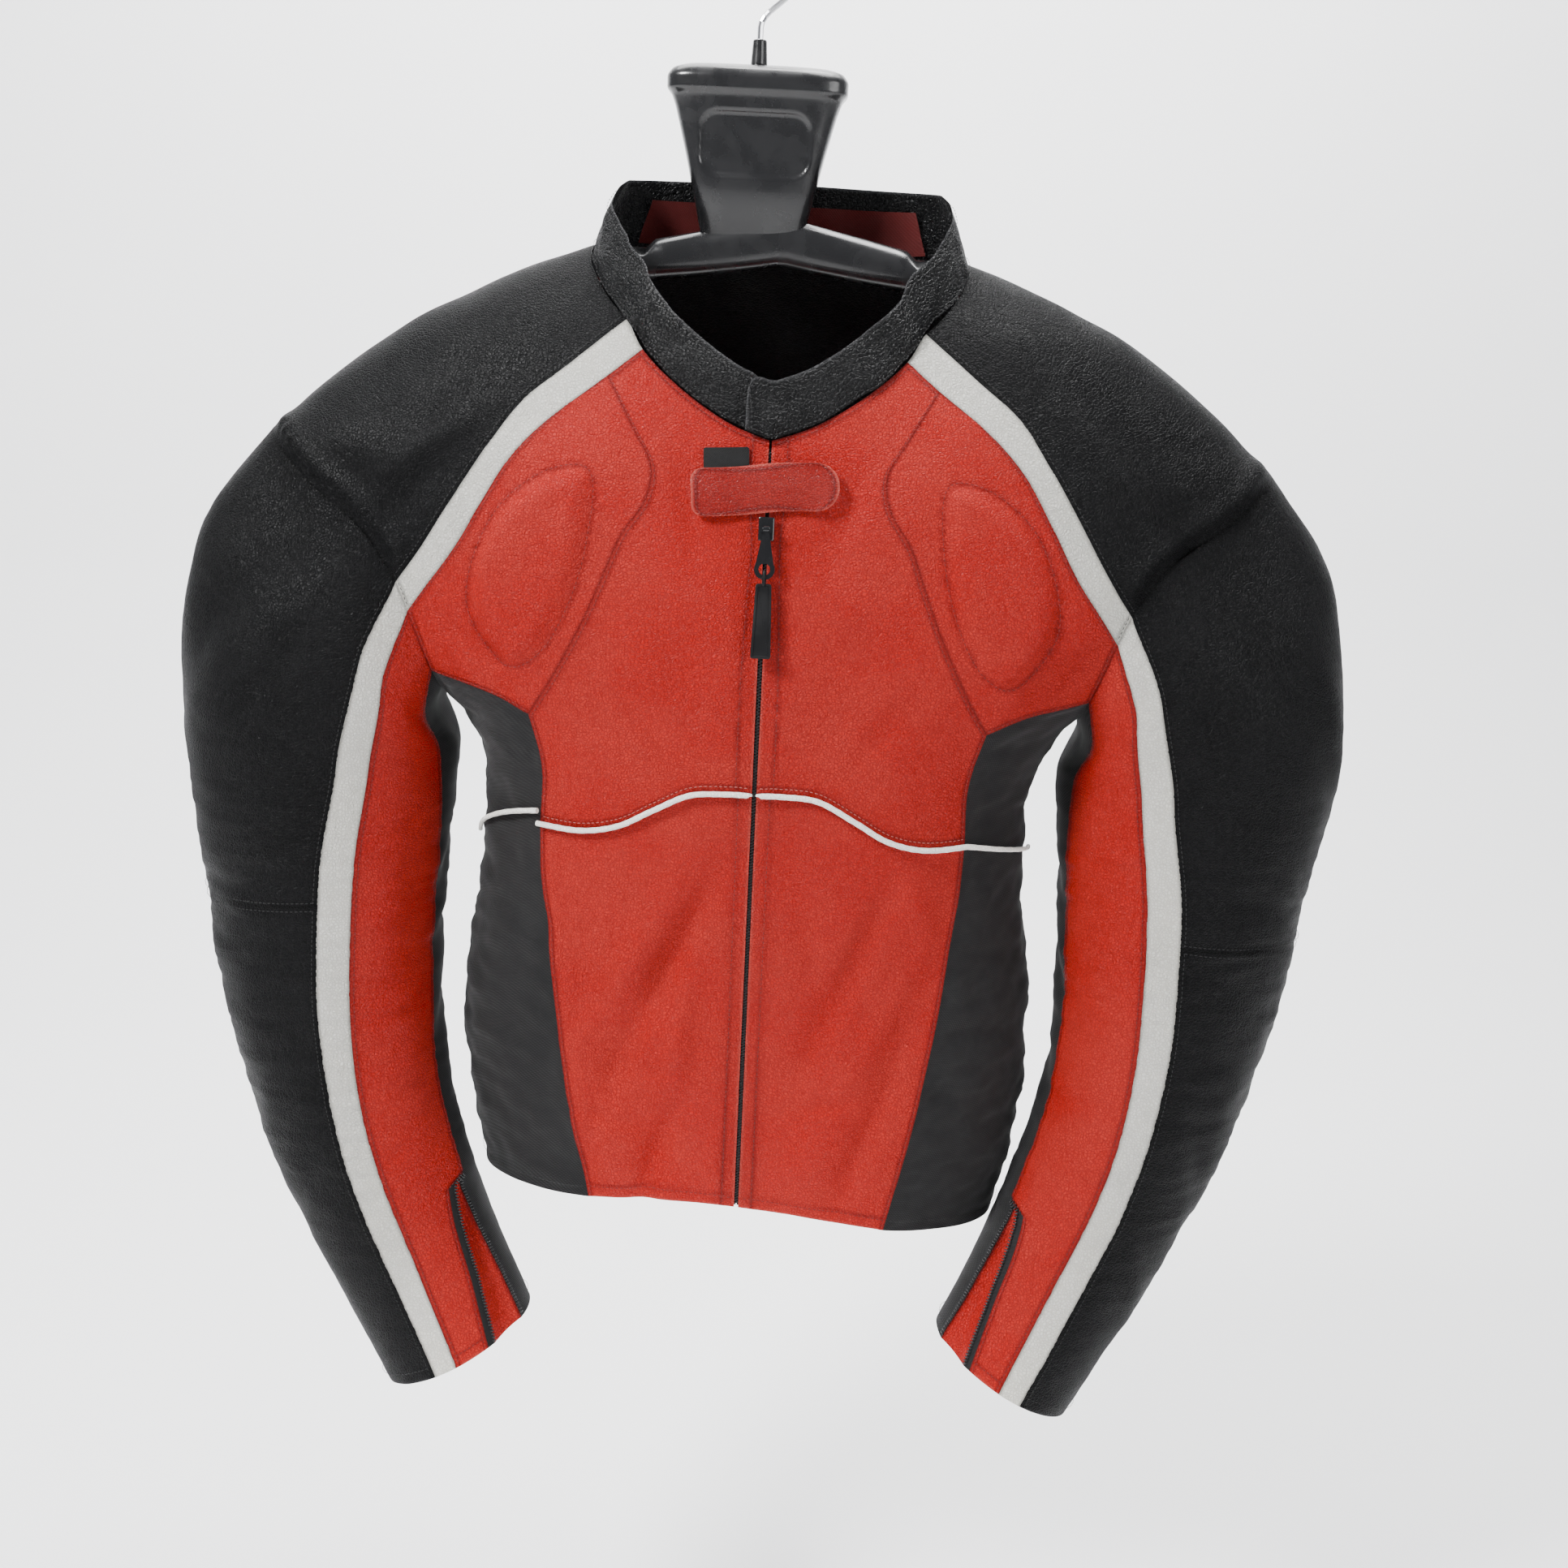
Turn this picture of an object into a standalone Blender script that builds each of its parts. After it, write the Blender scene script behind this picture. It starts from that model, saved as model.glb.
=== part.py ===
"""Leather motorcycle jacket hanging on a broad plastic hanger with a wire hook.

Metres, +Z up, X to the viewer's right, the front faces -Y. The origin is the underside of the
hook's top, where the hanger rests on a rail. Every cut piece is a wall on one shared surface.
"""
import math
from collections import namedtuple

import bmesh
import bpy
from mathutils import Matrix, Vector

# Driving sizes
WALL = 0.002                 # leather with its lining
SEAM_GAP = 0.0004            # left open between neighbouring pieces
LIE_GAP = 0.0003             # between a panel and what lies on it
HANG_SHIFT = 0.020           # the jacket hangs this far to the side of the hook
ZIP_HALF_SLIT = 0.0016       # half the open line between the two front edges
ZIP_TAPE_WIDTH = 0.015
ZIP_TAPE_WALL = 0.0010
PIPING_RADIUS = 0.0019
PIPING_SEAT = 0.0004
PIPING_END = math.radians(84)

# Trunk, as level rings around the hanging jacket
Ring = namedtuple("Ring", "z half_width front back power")
TRUNK = (
    Ring(-0.880, 0.184, 0.096, 0.088, 2.5),
    Ring(-0.850, 0.188, 0.098, 0.090, 2.5),
    Ring(-0.800, 0.198, 0.102, 0.096, 2.5),
    Ring(-0.740, 0.203, 0.104, 0.100, 2.5),
    Ring(-0.680, 0.200, 0.106, 0.104, 2.5),
    Ring(-0.620, 0.192, 0.110, 0.108, 2.5),
    Ring(-0.560, 0.190, 0.114, 0.112, 2.5),
    Ring(-0.515, 0.206, 0.116, 0.114, 2.5),
    Ring(-0.470, 0.262, 0.115, 0.114, 2.4),
    Ring(-0.430, 0.303, 0.112, 0.112, 2.3),
    Ring(-0.385, 0.335, 0.106, 0.107, 2.2),
    Ring(-0.340, 0.345, 0.098, 0.100, 2.1),
    Ring(-0.310, 0.318, 0.091, 0.094, 2.05),
    Ring(-0.280, 0.283, 0.081, 0.086, 2.0),
    Ring(-0.250, 0.240, 0.067, 0.075, 2.0),
    Ring(-0.225, 0.190, 0.049, 0.060, 2.0),
    Ring(-0.205, 0.138, 0.030, 0.040, 2.0),
    Ring(-0.190, 0.090, 0.012, 0.020, 2.0),
)

# Height of the neck seam and of the hem around the jacket, from the front to the back
Level = namedtuple("Level", "angle z")
NECK = (
    Level(0.0, -0.3175), Level(4.0, -0.309), Level(8.0, -0.298), Level(14.0, -0.280),
    Level(19.0, -0.264), Level(24.5, -0.246), Level(47.0, -0.2155), Level(70.0, -0.203),
    Level(90.0, -0.1995), Level(120.0, -0.2015), Level(150.0, -0.204), Level(180.0, -0.205),
)
HEM = (Level(0.0, -0.841), Level(30.0, -0.851), Level(90.0, -0.857), Level(180.0, -0.852))
NECK_STRIPE_IN = math.radians(19.0)
NECK_STRIPE_OUT = math.radians(24.5)
NECK_BACK_SEAM = math.radians(130.0)

# Seams on the front, as half width and height
Spot = namedtuple("Spot", "x z")
STRIPE_IN = (Spot(0.1117, -0.2853), Spot(0.1402, -0.308), Spot(0.1653, -0.3343),
             Spot(0.1846, -0.3665), Spot(0.2024, -0.3972))
STRIPE_OUT = (Spot(0.1298, -0.2739), Spot(0.1594, -0.2981), Spot(0.1797, -0.3259),
              Spot(0.2006, -0.3592), Spot(0.2231, -0.3958))
PRINCESS = (Spot(0.0876, -0.3132), Spot(0.0757, -0.3352), Spot(0.0783, -0.3578),
            Spot(0.0929, -0.3806), Spot(0.104, -0.4087), Spot(0.1164, -0.4382), Spot(0.1347, -0.4746))
PRINCESS_TOP = Spot(0.106, -0.2815)
CHEST_CORNER = Spot(0.1501, -0.5005)
CHEST_FLOOR = (Spot(0.1727, -0.4915),)
FRONT_EDGE = (Spot(0.1412, -0.5367),)
FRONT_EDGE_LOW = (Spot(0.1410, -0.610), Spot(0.1369, -0.6447), Spot(0.1323, -0.6905),
                  Spot(0.1245, -0.7428), Spot(0.1124, -0.8086))
FRONT_EDGE_HEM = 0.1038
PIPING = (Spot(0.0, -0.5428), Spot(0.0184, -0.5428), Spot(0.0422, -0.5452), Spot(0.0662, -0.5579),
          Spot(0.0879, -0.5706), Spot(0.1126, -0.5768), Spot(0.1420, -0.5765))
PIPING_END_Z = -0.592
SIDE_SEAM_HEM = math.radians(100.0)

# Armhole: a tilted loop on the trunk, bowed in at front and back
ARM_CENTRE = Vector((0.275, 0.0, -0.4225))
ARM_TILT = math.radians(55.5)
ARM_BOW_FRONT = 0.030
ARM_BOW_BACK = 0.018
ARM_PHI = {"stripe_out": 103.0, "stripe_in": 116.0, "red_in": 141.0, "side": 215.0,
           "under": 250.0, "back": 295.0}

# Sleeve sections from the armhole to the cuff; tilt is the axis' lean outwards
Section = namedtuple("Section", "s x y z tilt half_width half_depth")
SLEEVE = (
    Section(0.000, 0.275, 0.000, -0.4225, 55.5, 0.106, 0.088),
    Section(0.096, 0.302, -0.004, -0.470, 35.0, 0.104, 0.091),
    Section(0.220, 0.306, -0.006, -0.540, 8.0, 0.097, 0.085),
    Section(0.361, 0.302, -0.012, -0.620, -2.0, 0.088, 0.078),
    Section(0.502, 0.297, -0.020, -0.700, -8.0, 0.080, 0.072),
    Section(0.645, 0.282, -0.032, -0.780, -15.0, 0.071, 0.064),
    Section(0.804, 0.254, -0.048, -0.865, -24.0, 0.064, 0.056),
    Section(0.921, 0.226, -0.062, -0.925, -29.0, 0.060, 0.052),
    Section(1.000, 0.205, -0.072, -0.965, -30.0, 0.058, 0.050),
)
SLEEVE_BLEND = 0.22          # share of the sleeve that eases out of the armhole's own shape

# Angles of the sleeve's seams: 0 is the outer side, 90 the front, 180 the body side
Seams = namedtuple("Seams", "s stripe_out stripe_in red_in gusset_front gusset_back under")
SLEEVE_SEAMS = (
    Seams(0.000, 103.0, 116.0, 141.0, 145.0, 146.0, 141.0),
    Seams(0.096, 109.0, 122.0, 152.0, 145.0, 146.0, 152.0),
    Seams(0.220, 107.0, 120.0, 158.0, 145.0, 146.0, 158.0),
    Seams(0.361, 98.0, 113.0, 163.0, 145.0, 146.0, 163.0),
    Seams(0.502, 94.0, 110.0, 164.0, 145.0, 146.0, 164.0),
    Seams(0.645, 90.0, 106.0, 164.0, 148.0, 150.0, 164.0),
    Seams(0.800, 85.0, 103.0, 162.0, 150.0, 154.0, 162.0),
    Seams(0.808, 85.0, 103.0, 144.0, 150.0, 154.0, 161.5),
    Seams(0.921, 82.0, 100.0, 132.0, 138.0, 158.0, 164.0),
    Seams(1.000, 80.0, 97.0, 123.0, 129.0, 160.0, 167.0),
)
SLEEVE_BACK_SEAM = 250.0
SLEEVE_ROWS = (0.0, 0.035, 0.075, 0.125, 0.185, 0.25, 0.32, 0.40, 0.46, 0.52, 0.59, 0.665, 0.74,
               0.800, 0.808, 0.865, 0.93, 1.0)
ELBOW_ROW = 7
CUFF_ROW = 14

# Sample counts along shared seams
N_ARM_TOP = 11
N_ARM_BACK = 3
N_ARM_UNDER = 3
N_ARM_SIDE = 6
N_ARM_CHEST = 3
N_STRIPE = 2
N_STRIPE_HEAD = 2
N_STRIPE_REST = 7
N_PRINCESS = 10
N_FLOOR = 4
N_EDGE_HIGH = 3
N_EDGE_LOW = 9
N_ACROSS = 6
N_NECK_BACK = 6

# Chest pads, and the largest folds as soft ridges (+) and troughs (-)
PAD = {"x": 0.163, "z": -0.397, "half_width": 0.040, "half_length": 0.066, "lean": 18.0, "rise": 0.006}
Fold = namedtuple("Fold", "x0 z0 x1 z1 depth width")
FOLDS = (
    Fold(-0.118, -0.690, -0.050, -0.815, -0.0055, 0.016),
    Fold(-0.085, -0.655, -0.030, -0.770, 0.0045, 0.017),
    Fold(-0.125, -0.760, -0.085, -0.835, 0.0040, 0.014),
    Fold(0.120, -0.650, 0.070, -0.770, -0.0040, 0.018),
    Fold(0.085, -0.720, 0.040, -0.825, 0.0040, 0.016),
    Fold(-0.060, -0.430, -0.035, -0.520, -0.0030, 0.017),
    Fold(0.065, -0.440, 0.035, -0.530, -0.0030, 0.017),
)

# Collar
COLLAR_FRONT = 0.036
COLLAR_BACK = 0.050
COLLAR_OVERLAP = math.radians(2.6)
COLLAR_LIFT = 0.0034
COLLAR_LAP = math.radians(7.0)       # angle over which the upper end comes back to the neck
COLLAR_END_GAP = math.radians(0.8)
COLLAR_SEAT = 0.0012                 # height of its lower edge above the fronts
COLLAR_EYE = 0.025                   # the ring faces away from this far behind the front
COLLAR_LEAN_ENDS = 0.12      # lean inwards at the front and back, for each unit of rise
COLLAR_LEAN_SIDES = 0.42
COLLAR_ROWS = 3
COLLAR_COLUMNS = 30

# Tab strap and its patch: middle, half length, half height and lean on the front
TAB = {"x": -0.002, "z": -0.3475, "half_length": 0.047, "half_height": 0.0150, "lean": 4.3, "wall": 0.0022}
PATCH = {"x": -0.027, "z": -0.3390, "half_length": 0.0145, "half_height": 0.0165, "lean": 3.0, "wall": 0.0012}

# Zip slider, metal puller and rubber pull, in the plane of the chest
SLIDER_Z = -0.371
PULL_LEAN = math.radians(7.2)
SLIDER = {"width": 0.0100, "height": 0.0150, "depth": 0.0032}
EAR = {"thick": 0.0013, "height": 0.0046, "reach": 0.0042, "gap": 0.0003}
PIN_RADIUS = 0.0007
BARREL = {"inner": 0.0011, "outer": 0.0020, "half_width": 0.0019, "gap": 0.0004}
PULLER = {"neck": 0.0019, "eye_drop": 0.0255, "eye_radius": 0.0066, "hole": 0.0037, "thick": 0.0014}
RUBBER = {"top": 0.0052, "bottom": 0.0066, "length": 0.0530, "cheek": 0.0014, "pin": 0.0031, "gap": 0.0003}

# Hanger
Arm = namedtuple("Arm", "x half_depth half_height")
ARMS = (Arm(0.000, 0.011, 0.016), Arm(0.045, 0.012, 0.015), Arm(0.100, 0.016, 0.013),
        Arm(0.160, 0.021, 0.012), Arm(0.215, 0.026, 0.012), Arm(0.255, 0.029, 0.012),
        Arm(0.280, 0.024, 0.009), Arm(0.290, 0.012, 0.004))
ARM_CLEAR = 0.0028
ARM_ROOT_Z = -0.1760
ARM_NECK = 0.110             # half width of the part of the hanger inside the collar
ARM_FREE = 0.8                       # beyond this share of it the arm keeps under the shoulders
ARM_SIDES = 12
Head = namedtuple("Head", "z half_width half_depth")
HEAD = (Head(-0.190, 0.034, 0.010), Head(-0.159, 0.041, 0.019), Head(-0.130, 0.048, 0.022),
        Head(-0.104, 0.0555, 0.025), Head(-0.0985, 0.0590, 0.0275), Head(-0.0930, 0.0590, 0.0275),
        Head(-0.0875, 0.0560, 0.0250), Head(-0.0845, 0.0480, 0.0200), Head(-0.0830, 0.0300, 0.0110))
HEAD_SIDES = 24
HEAD_POWER = 4.0
FERRULE = {"radius": 0.0050, "bottom": -0.0827, "top": -0.0665}
HOOK = {"wire": 0.0020, "radius": 0.0240, "stem_bottom": -0.0662, "stem_top": -0.0590}

RED = ("red_leather", (0.58, 0.03, 0.02), 0.48, 0.0)
WHITE = ("white_leather", (0.78, 0.76, 0.70), 0.50, 0.0)
BLACK = ("black_leather", (0.018, 0.018, 0.020), 0.45, 0.0)
STRETCH = ("black_stretch_fabric", (0.012, 0.012, 0.014), 0.85, 0.0)
TAPE = ("zip_tape", (0.010, 0.010, 0.011), 0.80, 0.0)
METAL = ("black_metal", (0.020, 0.020, 0.022), 0.25, 0.8)
RUBBER_FINISH = ("black_rubber", (0.015, 0.015, 0.016), 0.60, 0.0)
PLASTIC = ("hanger_plastic", (0.014, 0.014, 0.016), 0.35, 0.0)
CHROME = ("chrome", (0.80, 0.80, 0.82), 0.12, 1.0)


def read_table(rows, at):
    """Columns after the first, read smoothly between the rows at a value of the first."""
    keys = [row[0] for row in rows]
    at = min(max(at, keys[0]), keys[-1])
    k = max(i for i in range(len(rows) - 1) if keys[i] <= at)
    span = keys[k + 1] - keys[k]
    t = (at - keys[k]) / span
    values = []
    for col in range(1, len(rows[0])):
        slopes = []
        for i in (k, k + 1):
            before = (rows[i][col] - rows[i - 1][col]) / (keys[i] - keys[i - 1]) if i > 0 else None
            after = (rows[i + 1][col] - rows[i][col]) / (keys[i + 1] - keys[i]) if i + 1 < len(rows) else None
            if before is None or after is None:
                slopes.append(after if before is None else before)
            else:
                slopes.append(2 * before * after / (before + after) if before * after > 0 else 0.0)
        h00 = 2 * t ** 3 - 3 * t ** 2 + 1
        h10 = t ** 3 - 2 * t ** 2 + t
        h01 = 3 * t ** 2 - 2 * t ** 3
        h11 = t ** 3 - t ** 2
        values.append(h00 * rows[k][col] + h10 * span * slopes[0] + h01 * rows[k + 1][col]
                      + h11 * span * slopes[1])
    return values


def power(value, exponent):
    """A signed power, so that a superellipse closes on both sides."""
    return math.copysign(abs(value) ** exponent, value)


def trunk_bare(angle, z):
    """Point of the trunk's smooth surface; angle 0 is the front and 180 degrees the back."""
    half_width, front, back, exponent = read_table(TRUNK, z)
    depth = front if math.cos(angle) > 0 else back
    x = half_width * power(math.sin(angle), 2 / exponent)
    y = -depth * power(math.cos(angle), 2 / exponent)
    return Vector((x, y, z))


def bare_normal(angle, z):
    """Outward normal of the smooth trunk."""
    step_a = 0.01
    step_z = 0.002
    along = trunk_bare(angle + step_a, z) - trunk_bare(angle - step_a, z)
    up = trunk_bare(angle, z + step_z) - trunk_bare(angle, z - step_z)
    normal = along.cross(up).normalized()
    flat = Vector((math.sin(angle), -math.cos(angle), 0.0))
    return normal if normal.dot(flat) > 0 else -normal


def relief(x, z, on_front):
    """Rise of the chest pads and folds at a place of the trunk."""
    if not on_front:
        return 0.0
    lean = math.radians(PAD["lean"])
    dx = abs(x) - PAD["x"]
    dz = z - PAD["z"]
    across = (dx * math.cos(lean) - dz * math.sin(lean)) / PAD["half_width"]
    along = (dx * math.sin(lean) + dz * math.cos(lean)) / PAD["half_length"]
    reach = (abs(across) ** 3 + abs(along) ** 3) ** (1 / 3)
    rise = PAD["rise"] * (0.5 - 0.5 * math.tanh(6.0 * (reach - 0.86)))
    for fold in FOLDS:
        start = Vector((fold.x0, fold.z0))
        run = Vector((fold.x1, fold.z1)) - start
        t = min(max((Vector((x, z)) - start).dot(run) / run.length_squared, 0.0), 1.0)
        away = (Vector((x, z)) - start - t * run).length
        fade = math.sin(math.pi * (0.12 + 0.76 * t))
        rise += fold.depth * fade * math.exp(-(away / fold.width) ** 2)
    return rise


def trunk(angle, z):
    """Point and outward normal of the worn trunk, with its pads and folds."""
    point = trunk_bare(angle, z)
    normal = bare_normal(angle, z)
    return point + normal * relief(point.x, z, math.cos(angle) > 0), normal


def front_angle(x, z):
    """Angle around the trunk of a place on its front."""
    half_width, _, _, exponent = read_table(TRUNK, z)
    return math.asin(min(abs(x) / half_width, 1.0) ** (exponent / 2))


def trace(spots, count):
    """Places at equal steps along a smooth line through the spots."""
    points = [Vector(spot) for spot in spots]
    dense = []
    for k in range(len(points) - 1):
        p1, p2 = points[k], points[k + 1]
        p0 = points[k - 1] if k > 0 else 2 * p1 - p2
        p3 = points[k + 2] if k + 2 < len(points) else 2 * p2 - p1
        for i in range(12):
            t = i / 12
            dense.append(0.5 * (2 * p1 + (p2 - p0) * t + (2 * p0 - 5 * p1 + 4 * p2 - p3) * t ** 2
                                + (3 * p1 - p0 - 3 * p2 + p3) * t ** 3))
    dense.append(points[-1])
    lengths = [0.0]
    for a, b in zip(dense, dense[1:]):
        lengths.append(lengths[-1] + (b - a).length)
    places = []
    for i in range(count + 1):
        goal = lengths[-1] * i / count
        k = max(j for j in range(len(dense) - 1) if lengths[j] <= goal + 1e-12)
        t = (goal - lengths[k]) / (lengths[k + 1] - lengths[k])
        places.append(dense[k].lerp(dense[k + 1], min(t, 1.0)))
    return places


def on_front(places):
    """Turns places of half width and height into angle and height."""
    return [(front_angle(place[0], place[1]), place[1]) for place in places]


def level(table, angle):
    """Height of the neck seam or hem at an angle."""
    return read_table(table, math.degrees(abs(angle)))[0]


def neck_spots(start, end, count):
    """Places along the neck seam."""
    angles = [start + (end - start) * i / count for i in range(count + 1)]
    return [(angle, level(NECK, angle)) for angle in angles]


def hem_spots(start, end, count):
    """Places along the hem."""
    angles = [start + (end - start) * i / count for i in range(count + 1)]
    return [(angle, level(HEM, angle)) for angle in angles]


def armhole(phi):
    """Point of the armhole loop on the trunk, as angle and height."""
    turn = math.radians(phi)
    outward = Vector((math.cos(ARM_TILT), 0.0, math.sin(ARM_TILT)))
    axis = Vector((math.sin(ARM_TILT), 0.0, -math.cos(ARM_TILT)))
    forward = Vector((0.0, -1.0, 0.0))
    bow = ARM_BOW_FRONT if math.sin(turn) > 0 else ARM_BOW_BACK
    base = ARM_CENTRE - axis * bow * math.sin(turn) ** 2
    ray = outward * math.cos(turn) + forward * math.sin(turn)
    near, far = 0.0, 0.25
    for _ in range(48):
        middle = (near + far) / 2
        point = base + ray * middle
        half_width, front, back, exponent = read_table(TRUNK, point.z)
        depth = front if point.y < 0 else back
        size = abs(point.x / half_width) ** exponent + abs(point.y / depth) ** exponent
        near, far = (middle, far) if size < 1 else (near, middle)
    point = base + ray * near
    angle = front_angle(point.x, point.z)
    return (angle if point.y <= 0 else math.pi - angle), point.z


def armhole_run(start, end, count):
    """Places along the armhole between two of its angles."""
    return [armhole(start + (end - start) * i / count) for i in range(count + 1)]


def join(*runs):
    """One run of places from several that share their ends."""
    places = list(runs[0])
    for run in runs[1:]:
        places.extend(run[1:])
    return places


def coons(low, high, left, right):
    """Rows of places filling four sides: low and high run across, left and right run up."""
    rows = []
    for j in range(len(left)):
        v = j / (len(left) - 1)
        row = []
        for i in range(len(low)):
            u = i / (len(low) - 1)
            place = []
            for c in (0, 1):
                sides = (1 - v) * low[i][c] + v * high[i][c] + (1 - u) * left[j][c] + u * right[j][c]
                corners = ((1 - u) * (1 - v) * low[0][c] + u * (1 - v) * low[-1][c]
                           + (1 - u) * v * high[0][c] + u * v * high[-1][c])
                place.append(sides - corners)
            row.append(tuple(place))
        rows.append(row)
    return rows


def make_material(finish):
    """Principled material for one finish, made once."""
    name, colour, roughness, metallic = finish
    material = bpy.data.materials.get(name)
    if material is None:
        material = bpy.data.materials.new(name)
        material.use_nodes = True
        shader = material.node_tree.nodes["Principled BSDF"]
        shader.inputs["Base Color"].default_value = (*colour, 1.0)
        shader.inputs["Roughness"].default_value = roughness
        shader.inputs["Metallic"].default_value = metallic
    return material


def place_mesh(name, bm, finish, collection, smooth_angle=40.0):
    """Object from a bmesh, shaded smooth except at real edges."""
    mesh = bpy.data.meshes.new(name)
    bm.to_mesh(mesh)
    bm.free()
    mesh.shade_smooth()
    mesh.set_sharp_from_angle(angle=math.radians(smooth_angle))
    mesh.materials.append(make_material(finish))
    piece = bpy.data.objects.new(name, mesh)
    collection.objects.link(piece)
    return piece


def draw_in(points, gap):
    """Moves the border of a field of points inwards over its surface."""
    moved = [row[:] for row in points]
    last_j = len(points) - 1
    last_i = len(points[0]) - 1
    for j in range(last_j + 1):
        for i in range(last_i + 1):
            shift = Vector()
            if i in (0, last_i):
                inner = points[j][1 if i == 0 else last_i - 1]
                shift += (inner - points[j][i]).normalized() * gap
            if j in (0, last_j):
                inner = points[1 if j == 0 else last_j - 1][i]
                shift += (inner - points[j][i]).normalized() * gap
            moved[j][i] = points[j][i] + shift
    return moved


def face_out(bm):
    """Turns every face of a closed body outwards."""
    bmesh.ops.recalc_face_normals(bm, faces=bm.faces[:])
    if bm.calc_volume(signed=True) < 0:
        bmesh.ops.reverse_faces(bm, faces=bm.faces[:])


def make_wall(name, points, normals, finish, collection, thickness=WALL, gap=SEAM_GAP / 2, side=1):
    """Closed wall on a field of points; side -1 mirrors it to the viewer's left."""
    columns = len(points[0]) - 1
    rows = len(points) - 1
    drawn = draw_in(points, gap)
    bm = bmesh.new()
    bmesh.ops.create_grid(bm, x_segments=columns, y_segments=rows, size=1.0)
    grown = bmesh.ops.extrude_face_region(bm, geom=bm.faces[:], use_keep_orig=True)
    outer = {v for v in grown["geom"] if isinstance(v, bmesh.types.BMVert)}
    for v in bm.verts:
        i = round((v.co.x + 1) / 2 * columns)
        j = round((v.co.y + 1) / 2 * rows)
        half = thickness / 2 if v in outer else -thickness / 2
        point = drawn[j][i] + normals[j][i] * half
        v.co = Vector((point.x * side + HANG_SHIFT, point.y, point.z))
    face_out(bm)
    return place_mesh(name, bm, finish, collection)


def trunk_wall(name, places, finish, collection, side, lift=0.0, **options):
    """Wall on the trunk's surface from rows of angle and height."""
    points = []
    normals = []
    for row in places:
        spots = [trunk(angle * side, z) for angle, z in row]
        points.append([Vector((p.x * side, p.y, p.z)) + Vector((n.x * side, n.y, n.z)) * lift
                       for p, n in spots])
        normals.append([Vector((n.x * side, n.y, n.z)) for _, n in spots])
    return make_wall(name, points, normals, finish, collection, side=side, **options)


def build_seams():
    """Shared seams of one half of the trunk, as runs of angle and height."""
    seams = {}
    arm = ARM_PHI
    zip_line = front_angle(ZIP_HALF_SLIT, -0.5)
    stripe_in_end = armhole(arm["stripe_in"])
    stripe_out_end = armhole(arm["stripe_out"])
    chest_end = armhole(arm["red_in"])

    def width_height(place):
        point = trunk_bare(*place)
        return Spot(point.x, point.z)

    neck_in = width_height((NECK_STRIPE_IN, level(NECK, NECK_STRIPE_IN)))
    neck_out = width_height((NECK_STRIPE_OUT, level(NECK, NECK_STRIPE_OUT)))
    seams["zip"] = zip_line
    seams["stripe_head"] = on_front(trace((neck_in, PRINCESS_TOP), N_STRIPE_HEAD))
    seams["stripe_rest"] = on_front(trace((PRINCESS_TOP, *STRIPE_IN[1:], width_height(stripe_in_end)),
                                          N_STRIPE_REST))
    seams["stripe_out"] = on_front(trace((neck_out, *STRIPE_OUT, width_height(stripe_out_end)),
                                         N_STRIPE_HEAD + N_STRIPE_REST))
    seams["princess"] = on_front(trace((PRINCESS_TOP, *PRINCESS, CHEST_CORNER), N_PRINCESS))
    seams["floor"] = on_front(trace((CHEST_CORNER, *CHEST_FLOOR, width_height(chest_end)), N_FLOOR))
    seams["edge_high"] = on_front(trace((CHEST_CORNER, *FRONT_EDGE, PIPING[-1]), N_EDGE_HIGH))
    hem_corner = Spot(FRONT_EDGE_HEM, level(HEM, 0.55))
    seams["edge_low"] = on_front(trace((PIPING[-1], *FRONT_EDGE_LOW, hem_corner), N_EDGE_LOW))
    seams["piping"] = on_front(trace(PIPING, N_ACROSS))
    seams["piping"][0] = (zip_line, PIPING[0].z)
    hem_angle = seams["edge_low"][-1][0]
    corner_z = seams["edge_low"][-1][1]
    seams["hem_front"] = [(zip_line + (hem_angle - zip_line) * i / N_ACROSS,
                           level(HEM, 0.0) + (corner_z - level(HEM, 0.0)) * (i / N_ACROSS) ** 1.5)
                          for i in range(N_ACROSS + 1)]
    side_hem = hem_spots(hem_angle, SIDE_SEAM_HEM, N_FLOOR + N_ARM_SIDE)
    side_hem[0] = (hem_angle, corner_z)
    seams["hem_side"] = side_hem
    side_top = armhole(arm["side"])
    rows = N_EDGE_HIGH + N_EDGE_LOW
    seams["side"] = [(side_top[0] + (SIDE_SEAM_HEM - side_top[0]) * min(i / rows * 1.6, 1.0),
                      side_top[1] + (side_hem[-1][1] - side_top[1]) * i / rows) for i in range(rows + 1)]
    back_end = armhole(arm["back"])
    back_start = (NECK_BACK_SEAM, level(NECK, NECK_BACK_SEAM))
    count = N_STRIPE_HEAD + N_STRIPE_REST
    seams["back_seam"] = [(back_start[0] + (back_end[0] - back_start[0]) * i / count,
                           back_start[1] + (back_end[1] - back_start[1]) * i / count)
                          for i in range(count + 1)]
    return seams


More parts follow.
